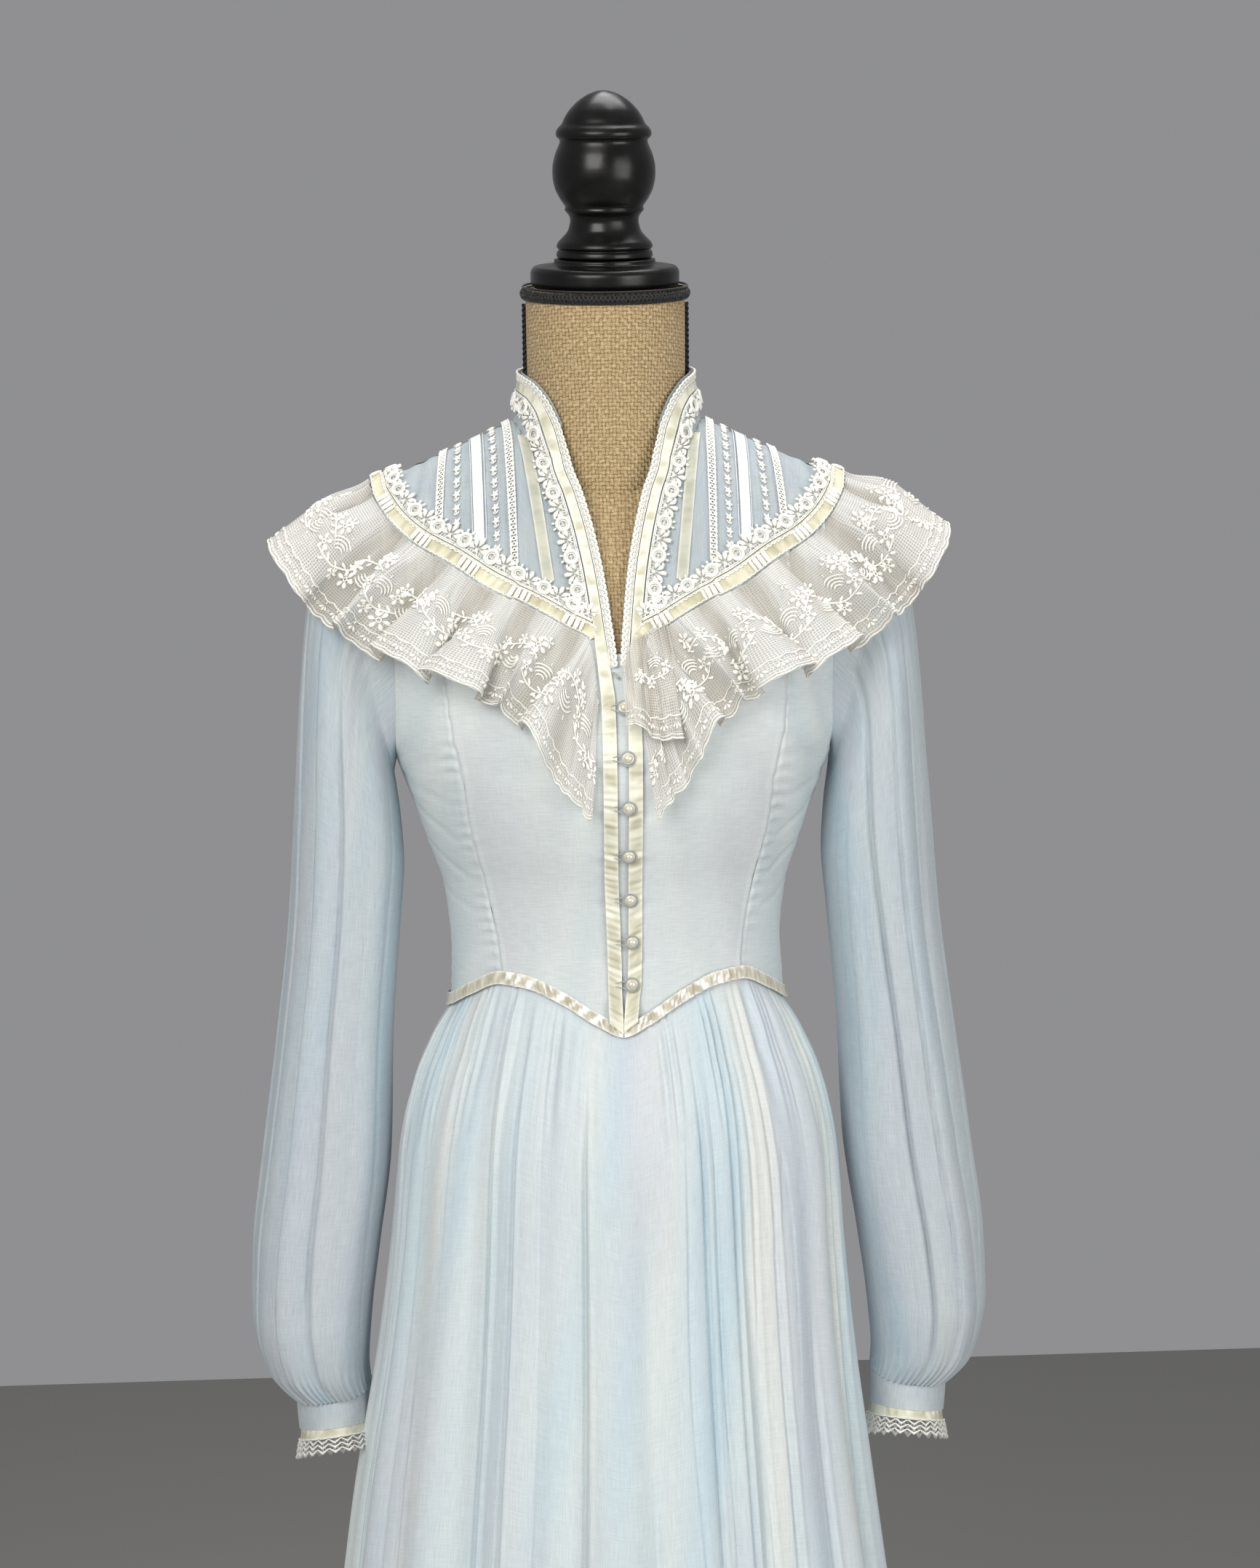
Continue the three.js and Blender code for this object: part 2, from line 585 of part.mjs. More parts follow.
/** Side panels: their top runs along the ruffle line, then the armhole is their outer edge. */
function sidePanel(hand, back) {
  const place = (angle) => (back ? 180 - angle : angle);
  const grid = PANEL_ROWS.map((v) => steps(4).map((u) => {
    const inner = (z) => princess(z) + seamDegrees(z);
    const outer = (z) => armAngle(z) - (z > 1212 ? 0.3 : seamDegrees(z));
    const side = back ? 1 : -1;
    const topX = mix(BODY.at(1345, 'half') * Math.sin(rad(princess(1345))), 147.5, u);
    const top = ruffleLine(topX, side) - RUFFLE_TUCK;
    let z = 1200;
    for (let k = 0; k < SETTLE; k += 1) {
      const angle = mix(inner(z), outer(z), u);
      z = mix(WAIST.at(place(angle), 'z') + TUCK, Math.min(top, SIDE_TOP), v);
    }
    return onBody(place(mix(inner(z), outer(z), u)), z);
  }));
  return wall(mirrored(grid, hand), CLOTH);
}

function frontCentre(hand) {
  const grid = bodicePanel(
    { from: frontEdge(hand), to: (z) => princess(z) - seamDegrees(z) },
    (u) => ruffleLine(mix(16, BODY.at(1345, 'half') * Math.sin(rad(princess(1345))), u), -1) - RUFFLE_TUCK,
    4,
  );
  return wall(mirrored(grid, hand), CLOTH);
}

function backCentre() {
  const grid = [];
  const columns = spread(-1, 1, 8);
  for (const v of PANEL_ROWS) {
    grid.push(columns.map((u) => {
      const topX = Math.abs(u) * BODY.at(1345, 'half') * Math.sin(rad(princess(1345)));
      let z = 1200;
      for (let k = 0; k < SETTLE; k += 1) {
        const angle = Math.abs(u) * (princess(z) - seamDegrees(z));
        z = mix(WAIST.at(180 - angle, 'z') + TUCK, ruffleLine(topX, 1) - RUFFLE_TUCK, v);
      }
      return onBody(180 - u * (princess(z) - seamDegrees(z)), z);
    }));
  }
  return wall(grid, CLOTH);
}

function underlap() {
  const edge = (z, name) => {
    const middle = FRONT_RIBBON.at(z, name);
    return onSide(middle - Math.sign(middle) * (UNDER_RIBBON + 1), z, -1);
  };
  const grid = spread(1055, 1266, 7).map((z) => [edge(z, 'left'), edge(z, 'right')]);
  return wall(grid, UNDERLAP);
}

function addBodice() {
  addPair('bodice_front_centre', frontCentre, FINISH.voile);
  addPair('bodice_front_side', (hand) => sidePanel(hand, false), FINISH.voile);
  add('bodice_back_centre', backCentre(), FINISH.voile);
  addPair('bodice_back_side', (hand) => sidePanel(hand, true), FINISH.voile);
  add('front_underlap', underlap(), FINISH.voile);
}

// ---------------------------------------------------------------- neckline, collar and yoke

/** Radius of the stand collar at an angle round the neck and a height. */
function collarRadius(angle, z) {
  const low = ease(COLLAR.at(angle, 'top') - z, 0, 36);
  const flared = NECK.radius + 2.2 + 5.5 * low;
  if (angle >= 84) return flared;
  const turn = rad(angle);
  let [near, far] = [NECK.radius - 4, 90];
  for (let k = 0; k < 24; k += 1) {
    const r = (near + far) / 2;
    const x = r * Math.sin(turn);
    const inside = r * Math.cos(turn) - NECK.centreY < -bodyY(x, z, -1, rollAt(Math.max(0, ridge(x) - z)));
    if (inside) near = r;
    else far = r;
  }
  return Math.max(flared, near + 0.6);
}

/** Collar point by angle round the neck and height. */
function onCollar(angle, z) {
  const at = (a, h) => {
    const r = collarRadius(a, h);
    return new THREE.Vector3(r * Math.sin(rad(a)), NECK.centreY - r * Math.cos(rad(a)), h);
  };
  const { point } = framed(at, angle, z, 0.4, 0.4);
  const along = at(angle + 0.6, z).sub(at(angle - 0.6, z));
  const normal = along.cross(at(angle, z + 1.5).sub(at(angle, z - 1.5))).normalize();
  const outward = new THREE.Vector3(Math.sin(rad(angle)), -Math.cos(rad(angle)), 0);
  if (normal.dot(outward) < 0) normal.negate();
  return { point, normal };
}

/** Neck band chart: at runs from the V's point (0) up its edge (1) and round the collar to the back (2). */
function neckBand(at, across) {
  const [yokeEnd, collarStart] = [1, 1.12];
  const yoke = (t) => {
    const z = mix(1268, 1401, t);
    const slope = (NECK_EDGE.at(z + 1, 'x') - NECK_EDGE.at(z - 1, 'x')) / 2;
    const run = Math.hypot(1, slope);
    return onSide(NECK_EDGE.at(z, 'x') + across / run, z - (across * slope) / run, -1);
  };
  const collar = (t) => {
    const angle = mix(33, 180, (t - collarStart) / (2 - collarStart));
    const rise = (a) => COLLAR.at(a, 'top');
    const arc = rad(1) * (NECK.radius + 4);
    const slope = (rise(Math.min(angle + 1, 180)) - rise(angle - 1)) / (2 * arc);
    const run = Math.hypot(1, slope);
    return onCollar(Math.min(180, angle + (across * slope) / run / arc), rise(angle) - across / run);
  };
  if (at <= yokeEnd) return yoke(at);
  if (at >= collarStart) return collar(at);
  const share = (at - yokeEnd) / (collarStart - yokeEnd);
  const [a, b] = [yoke(yokeEnd), collar(collarStart)];
  const point = a.point.clone().lerp(b.point, share);
  return { point, normal: a.normal.clone().lerp(b.normal, share).normalize() };
}

/** Stations along the neck band, closer together where it turns. */
const neckStations = (from, to) => (
  [...spread(from, 1, 5), 1.06, ...spread(1.12, 1.4, 5), ...spread(1.5, to, 5)]
);

/** A flat trim on the neck band between two distances from the neck edge. */
function neckTrim(hand, from, to, near, far) {
  const grid = neckStations(from, to).map((at) => [near, far].map((d) => neckBand(at, d)));
  return wall(mirrored(grid, hand), TRIM);
}

const CB = 1.997; // where the trims of the two sides meet behind

/** Ribbon that runs up the front opening, then along the neck edge. */
function neckRibbon(hand) {
  const name = hand < 0 ? 'left' : 'right';
  const rows = [];
  for (const z of spread(1052, 1250, 6)) {
    const middle = Math.abs(FRONT_RIBBON.at(z, name));
    rows.push([-0.5, 0.5].map((share) => onSide(middle + share * RIBBON, z, -1)));
  }
  const inner = PICOT + 0.5;
  for (const at of neckStations(0.22, CB)) {
    rows.push([0, 1].map((share) => neckBand(at, inner + share * (RIBBON - 2.5))));
  }
  return wall(mirrored(rows, hand), TRIM);
}

/** Daisy lace: repeats side by side between a straight and a scalloped edge, each with its ring open. */
function daisyLace(surface, hand, repeats, lift) {
  const cell = [[0, 0], [0.5, 0], [1, 0], [1, 0], [0.75, -1], [0.5, 0.2], [0.25, 1], [0, 0]];
  const outline = cell.map(([at, scallop], i) => new THREE.Vector2(
    at * DAISY.repeat, i < 3 ? 0 : DAISY.width + scallop * DAISY.scallop,
  ));
  const ring = [0, 1, 2, 3].map((k) => new THREE.Vector2(
    0.75 * DAISY.repeat + DAISY.hole * Math.cos((k * Math.PI) / 2),
    DAISY.ringAt + DAISY.hole * Math.sin((k * Math.PI) / 2),
  ));
  const flat = [...outline, ...ring];
  const triangles = THREE.ShapeUtils.triangulateShape(outline, [ring]);
  const points = [];
  const faces = [];
  for (let k = 0; k < repeats; k += 1) {
    const start = points.length;
    const put = flat.map((p) => mirrored([[surface((k + p.x / DAISY.repeat) / repeats, p.y)]], hand)[0][0]);
    for (const reach of [lift.inner, lift.outer]) {
      points.push(...put.map(({ point, normal }) => point.clone().addScaledVector(normal, reach)));
    }
    const [low, high] = [start, start + flat.length];
    for (const [a, b, c] of triangles) faces.push([low + a, low + b, low + c], [high + c, high + b, high + a]);
    const rim = (list) => list.forEach((here, i) => {
      const next = list[(i + 1) % list.length];
      faces.push([low + next, low + here, high + here, high + next]);
    });
    const edge = outline.map((_, i) => i);
    const joined = (i) => (i === 2 && k < repeats - 1) || (i === outline.length - 1 && k > 0);
    edge.filter((i) => !joined(i)).forEach((i) => {
      const next = (i + 1) % outline.length;
      faces.push([low + next, low + i, high + i, high + next]);
    });
    rim([8, 9, 10, 11].reverse());
  }
  return mergeVertices(closed(points, faces), 1e-3);
}

const NECK_LACE_FROM = PICOT + RIBBON - 1.2;
const neckLace = (hand) => daisyLace(
  (at, across) => neckBand(mix(0.34, CB, at), NECK_LACE_FROM + across), hand, 12, OVER,
);

function collar() {
  const angles = [...spread(34, 90, 5), ...spread(108, 180, 4)];
  const all = [...angles, ...angles.slice(0, -1).reverse().map((a) => -a)];
  const grid = steps(2).map((v) => all.map((a) => {
    const turn = Math.abs(a);
    const z = mix(COLLAR.at(turn, 'top'), COLLAR.at(turn, 'foot'), v);
    return a > 0 ? onCollar(turn, z) : mirrored([[onCollar(turn, z)]], -1)[0][0];
  }));
  return wall(grid, CLOTH);
}

/** Inner edge of the yoke: up the V, then along the collar's foot to the shoulder line. */
function yokeTop(u) {
  const turn = 0.3;
  if (u < turn) {
    const angle = mix(30, 88, u / turn);
    const z = COLLAR.at(angle, 'foot') - 1.6;
    const r = collarRadius(angle, z) + 0.8;
    return { x: r * Math.sin(rad(angle)), z };
  }
  const x = mix(61.5, 149.4, (u - turn) / (1 - turn));
  return { x, z: ridge(x) };
}

function yokeFront(hand) {
  const us = [...spread(0, 0.3, 3), ...spread(0.4, 1, 5)];
  const grid = us.map((u) => {
    const top = yokeTop(u);
    const footX = mix(14, 146.5, u ** 0.86);
    const foot = { x: footX, z: ruffleLine(footX, -1) + SEAM };
    const topLength = Math.max(lengthTo(top.x, top.z), 0.35);
    const footLength = lengthTo(foot.x, foot.z);
    return steps(5).map((v) => {
      const z = mix(foot.z, top.z, v);
      if (u === 0) return onSide(NECK_EDGE.at(z, 'x') + 0.2, z, -1);
      return onShoulder(mix(foot.x, top.x, v), -mix(footLength, topLength, v));
    });
  });
  return wall(mirrored(grid, hand), CLOTH);
}

const BACK_NECK = 1419; // top of the yoke back, under the collar's foot

function yokeBack() {
  const half = [...spread(0, 56, 3), ...spread(63, 149.4, 4)];
  const xs = [...half.slice(1).reverse().map((x) => -x), ...half];
  const grid = xs.map((x) => {
    const reach = Math.abs(x);
    const near = reach > 60 ? 0.35 : lengthTo(reach, BACK_NECK);
    const footX = Math.min(reach, 146.5);
    const far = lengthTo(footX, ruffleLine(footX, 1) + SEAM);
    return steps(4).map((v) => onShoulder(x, mix(near, far, v)));
  });
  return wall(grid, CLOTH);
}

/** A strip sewn down the yoke front from the shoulder line to the lace above the ruffle. */
function yokeStrip(hand, { top, foot, width }) {
  const footZ = ruffleLine(foot, -1) + DAISY.width + 7;
  const underCollar = { x: 55.5, length: lengthTo(55.5, COLLAR.at(60, 'foot') - 9) };
  const start = top < 60 ? underCollar : { x: top, length: 1.2 };
  const far = lengthTo(foot, footZ);
  const grid = steps(5).map((v) => [-0.5, 0.5].map((share) => (
    onShoulder(mix(start.x, foot, v) + share * width, -mix(start.length, far, v))
  )));
  return wall(mirrored(grid, hand), TRIM);
}

function addYoke() {
  addPair('yoke_front', yokeFront, FINISH.voile);
  add('yoke_back', yokeBack(), FINISH.voile);
  add('collar', collar(), FINISH.voile);
  for (const strip of YOKE_STRIPS) {
    addPair(`yoke_${strip.name}`, (hand) => yokeStrip(hand, strip), FINISH[strip.colour]);
  }
  addPair('neck_picot', (hand) => neckTrim(hand, 0.2, CB, 0.2, PICOT), FINISH.lace);
  addPair('front_ribbon', neckRibbon, FINISH.satin);
  addPair('neck_daisy_lace', neckLace, FINISH.lace);
}

// ---------------------------------------------------------------- ruffle

/** The ruffle line: place on the body at a share from the front (0) over the shoulder (1) to the back (2). */
function ruffleBase(at) {
  const read = (path, side) => {
    const [x, z] = [path.at(at, 'x'), path.at(at, 'z')];
    return { x, length: side * lengthTo(x, z) };
  };
  const { keys: front } = RUFFLE_FRONT;
  const { keys: back } = RUFFLE_BACK;
  if (at <= front[front.length - 1]) return read(RUFFLE_FRONT, -1);
  if (at >= back[0]) return read(RUFFLE_BACK, 1);
  const x = RUFFLE_BACK.rows[0][1];
  const edge = lengthTo(x, RUFFLE_BACK.rows[0][2]);
  const share = (at - front[front.length - 1]) / (back[0] - front[front.length - 1]);
  return { x: x + 2.2 * Math.sin(Math.PI * share), length: mix(-edge, edge, share) };
}

/** Body frame at a share along the ruffle line, and a distance above it. */
function aboveRuffle(at, across) {
  const here = ruffleBase(at);
  const [a, b] = [ruffleBase(Math.max(0, at - 0.01)), ruffleBase(Math.min(2, at + 0.01))];
  const tangent = { x: b.x - a.x, length: b.length - a.length };
  const size = Math.hypot(tangent.x, tangent.length);
  return onShoulder(
    Math.max(0.35, here.x - (across * tangent.length) / size),
    here.length + (across * tangent.x) / size,
  );
}

const RUFFLE_STATIONS = 46;

/** Near 1 at the shoulder tip, where the ruffle line turns over the sleeve head, and 0 away from it. */
const tipLift = (at) => Math.exp(-(((at - 1) / 0.22) ** 2));

/** Signed wave height along the ruffle: crests from the table, troughs half way between them. */
function ruffleWave(at) {
  const { keys } = RUFFLE_WAVES;
  const i = Math.max(0, keys.findIndex((k) => k > at) - 1);
  const phase = at >= keys[keys.length - 1] ? 0 : (at - keys[i]) / (keys[i + 1] - keys[i]);
  return Math.cos(2 * Math.PI * phase) * RUFFLE_WAVES.at(at, 'high');
}

function ruffle(hand) {
  const points = steps(2).map((v) => spread(0.004, 1.992, RUFFLE_STATIONS).map((at) => {
    const { point, normal } = aboveRuffle(at, -RIBBON / 2 - 0.9);
    const fall = new THREE.Vector3(
      RUFFLE_FALL.at(at, 'out'), -RUFFLE_FALL.at(at, 'forward'), -RUFFLE_FALL.at(at, 'down'),
    );
    const near = [Math.max(0, at - 0.01), Math.min(2, at + 0.01)];
    const [before, after] = near.map((place) => aboveRuffle(place, 0).point);
    const ahead = after.sub(before);
    const across = ahead.cross(fall).normalize();
    if (across.dot(normal) < 0) across.negate();
    const stand = 2.9 + 2.4 * (1 - ease(at, 0.12, 0.3)) + (4.5 + 6 * tipLift(at)) * ease(v, 0, 0.5);
    return point.clone()
      .addScaledVector(normal, stand)
      .addScaledVector(fall, v)
      .addScaledVector(across, (ruffleWave(at) + 2) * (0.08 + 0.92 * v ** 0.9));
  }));
  const outward = (point, i, j) => aboveRuffle(mix(0, 2, j / RUFFLE_STATIONS), 0).normal;
  return wall(mirrored(withNormals(points, false, outward), hand), { inner: 0, outer: 1.1 });
}

/** A trim's frame beside the ruffle line, raised where it turns over the shoulder tip. */
function raised(at, across) {
  const { point, normal } = aboveRuffle(at, across);
  return { point: point.addScaledVector(normal, 2 * tipLift(at)), normal };
}

function ruffleRibbon(hand) {
  const grid = spread(0.235, 1.994, 28).map((at) => [-0.5, 0.5].map((share) => raised(at, share * RIBBON)));
  return wall(mirrored(grid, hand), TRIM);
}

const ruffleLace = (hand) => daisyLace(
  (at, across) => raised(mix(0.33, 1.994, at), RIBBON / 2 + 0.6 + across), hand, 17, OVER,
);

function addRuffle() {
  addPair('ruffle', ruffle, FINISH.net);
  addPair('ruffle_ribbon', ruffleRibbon, FINISH.satin);
  addPair('ruffle_daisy_lace', ruffleLace, FINISH.lace);
}

// ---------------------------------------------------------------- sleeves

/** Armhole point of the bodice at an angle round the sleeve. */
function armholePoint(turn) {
  const z = mix(1211, 1386.5, (1 + Math.cos(turn)) / 2);
  const edge = BODY.at(z, 'arm');
  const side = Math.sin(turn) >= 0 ? -1 : 1;
  const middle = SHOULDER.ridgeY * ease(z, 1230, 1400);
  const depth = Math.abs(bodyY(edge, z, side, rollAt(Math.max(0, ridge(edge) - z))) - middle);
  const round = Math.abs(Math.sin(turn));
  const reach = Math.max(depth * Math.min(1, round * 3), 28 * round);
  return new THREE.Vector3(edge + 2.4, middle + side * reach, z);
}

/** Sleeve surface: row of the table, and angle round it from the outside (0) over the front (90). */
function sleeveAt(row, turn) {
  const read = (column) => SLEEVE.at(row, column);
  const outer = new THREE.Vector3(read('outX'), read('midY'), read('outZ'));
  const inner = new THREE.Vector3(read('inX'), read('midY'), read('inZ'));
  const middle = outer.clone().add(inner).multiplyScalar(0.5);
  const arm = outer.sub(inner).multiplyScalar(0.5);
  const depth = new THREE.Vector3(0, -read('deep'), 0);
  const squarer = 1 + 0.05 * Math.sin(2 * turn) ** 2;
  const point = middle.clone()
    .addScaledVector(arm, Math.cos(turn) * squarer)
    .addScaledVector(depth, Math.sin(turn) * squarer);
  const drift = 0.35 * Math.sin(row * 0.7);
  const wave = Math.sin(SLEEVE_FOLDS * turn + drift) + 0.35 * Math.sin(5 * turn + 1 + row * 0.2);
  const guard = 1 - 0.75 * ease(-Math.cos(turn), 0.55, 1);
  const outward = point.clone().sub(middle).normalize();
  point.addScaledVector(outward, wave * read('fold') * guard);
  return point;
}

function sleeve(hand) {
  const turns = spread(0, 2 * Math.PI, SLEEVE_FOLDS * 3).slice(0, -1);
  const rows = [0, 1, 2, 3, 4.5, 6, 8, 9.5, 11];
  const points = rows.map((row) => turns.map((turn) => (
    row === 0 ? armholePoint(turn) : sleeveAt(row, turn)
  )));
  const middle = (ring) => ring.reduce((sum, p) => sum.add(p), new THREE.Vector3()).divideScalar(ring.length);
  const centres = points.map(middle);
  const outward = (point, i) => point.clone().sub(centres[i]);
  return wall(mirrored(withNormals(points, true, outward), hand), { inner: 0, outer: 1.1 }, true);
}

/** Cuff section: middle, half sizes, and a slant that drops the back and the outside. */
function cuffRing(down, count, grow = 0, zigzag = 0) {
  return steps(count).slice(0, -1).map((t, k) => {
    const turn = 2 * Math.PI * t;
    const [dx, dy] = [Math.cos(turn), -Math.sin(turn)];
    const slant = -3 * dx - down * 0.28 * dy;
    const point = new THREE.Vector3(
      193.5 - down * 0.06 + (24.4 + grow) * dx,
      17 + (37.6 + grow) * dy,
      785 - down + slant - (k % 2 ? zigzag : 0),
    );
    return { point, normal: new THREE.Vector3(dx, dy * 0.7, 0).normalize() };
  });
}

function addSleeves() {
  addPair('sleeve', sleeve, FINISH.voile);
  const tube = (rings) => (hand) => wall(mirrored(rings, hand), { inner: 0, outer: 1.4 }, true);
  addPair('cuff', tube([cuffRing(0, 18), cuffRing(20, 18)]), FINISH.voile);
  addPair('cuff_ribbon', tube([cuffRing(20.5, 18, 0.3), cuffRing(28, 18, 0.3)]), FINISH.satin);
  addPair('cuff_lace', tube([cuffRing(28.5, 30), cuffRing(37.5, 30, 1.4, 3)]), FINISH.lace);
}

// ---------------------------------------------------------------- waist and skirt

/** Depth of the long folds at an angle, for a fold of full size 1. */
function foldDepth(degrees) {
  return SKIRT_FOLDS.reduce((sum, { angle, wide, deep }) => {
    let away = Math.abs(degrees - angle);
    if (away > 180) away = 360 - away;
    return sum + deep * Math.exp(-((away / wide) ** 2));
  }, 0);
}

/** Skirt surface at an angle and a drop below its waist seam. */
function skirtAt(degrees, drop) {
  const top = WAIST.at(Math.abs(degrees), 'z') - SEAM;
  const z = Math.max(HEM, top - (drop * (top - HEM)) / SKIRT_DROPS[SKIRT_DROPS.length - 1]);
  const down = top - z;
  const turn = rad(degrees);
  const side = Math.cos(turn) >= 0 ? 'front' : 'back';
  const loose = 1 - Math.exp(-Math.max(0, down - 4) / 17);
  const half = mix(BODY.at(z, 'half') + 1.1, SKIRT.at(z, 'half'), loose);
  const deep = mix(BODY.at(z, side) + 1.1, SKIRT.at(z, side), loose);
  const gather = (0.3 + 2.5 * ease(down, 3, 30)) * (1 - 0.7 * ease(down, 60, 300));
  const grow = ease(down, 20, 190) + Math.max(0, down - 190) / 330;
  const out = gather * Math.cos(rad(degrees * GATHERS)) - grow * foldDepth(degrees);
  const x = (half + out) * Math.sin(turn);
  const y = -(deep + out) * Math.cos(turn);
  return new THREE.Vector3(x, y, z);
}

function skirtHalf(from, to) {
  const columns = (GATHERS / 2) * GATHER_COLUMNS;
  const points = SKIRT_DROPS.map((drop) => spread(from, to, columns).map((degrees) => (
    skirtAt(degrees > 180 ? degrees - 360 : degrees, drop)
  )));
  return wall(withNormals(points, false, (p) => new THREE.Vector3(p.x, p.y, 0)), { inner: 0, outer: 1.1 });
}

function waistRibbon(hand) {
  const grid = spread(1.6, 179.75, 26).map((angle) => [-0.5, 0.5].map((share) => {
    const z = WAIST.at(angle, 'z') + share * RIBBON;
    return onBody(angle, z);
  }));
  return wall(mirrored(grid, hand), WAIST_RIBBON);
}

function addSkirt() {
  add('skirt_front', skirtHalf(-89.85, 89.85), FINISH.voile);
  add('skirt_back', skirtHalf(90.15, 269.85), FINISH.voile);
  addPair('waist_ribbon', waistRibbon, FINISH.satin);
}

// ---------------------------------------------------------------- buttons

function addButtons() {
  BUTTONS.rows.forEach(([z, x, seat], i) => {
    const { point, normal } = onSide(x, z, -1);
    const { radius, height } = BUTTON;
    const button = turned([
      [0, 0], [radius * 0.8, 0], [radius, height * 0.25], [radius * 0.85, height * 0.62],
      [radius * 0.4, height * 0.92], [0, height],
    ], 10);
    button.applyQuaternion(new THREE.Quaternion().setFromUnitVectors(new THREE.Vector3(0, 0, 1), normal));
    point.addScaledVector(normal, TRIM.outer + seat);
    button.translate(point.x, point.y, point.z);
    add(`pearl_button_${i + 1}`, button, FINISH.pearl);
  });
}

addForm();
addBodice();
addYoke();
addRuffle();
addSleeves();
addSkirt();
addButtons();

export default dress;
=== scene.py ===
"""Prairie dress on a limbless dress form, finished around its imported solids.

Lengths in the tables and fields are millimetres, as a dressmaker writes them, and turn to metres where a mesh
is made. The dress faces -Y. The words left and right name the pieces at -X and at +X.
"""

import json
import logging
import math
from dataclasses import dataclass
from enum import Enum
from typing import Callable, Sequence

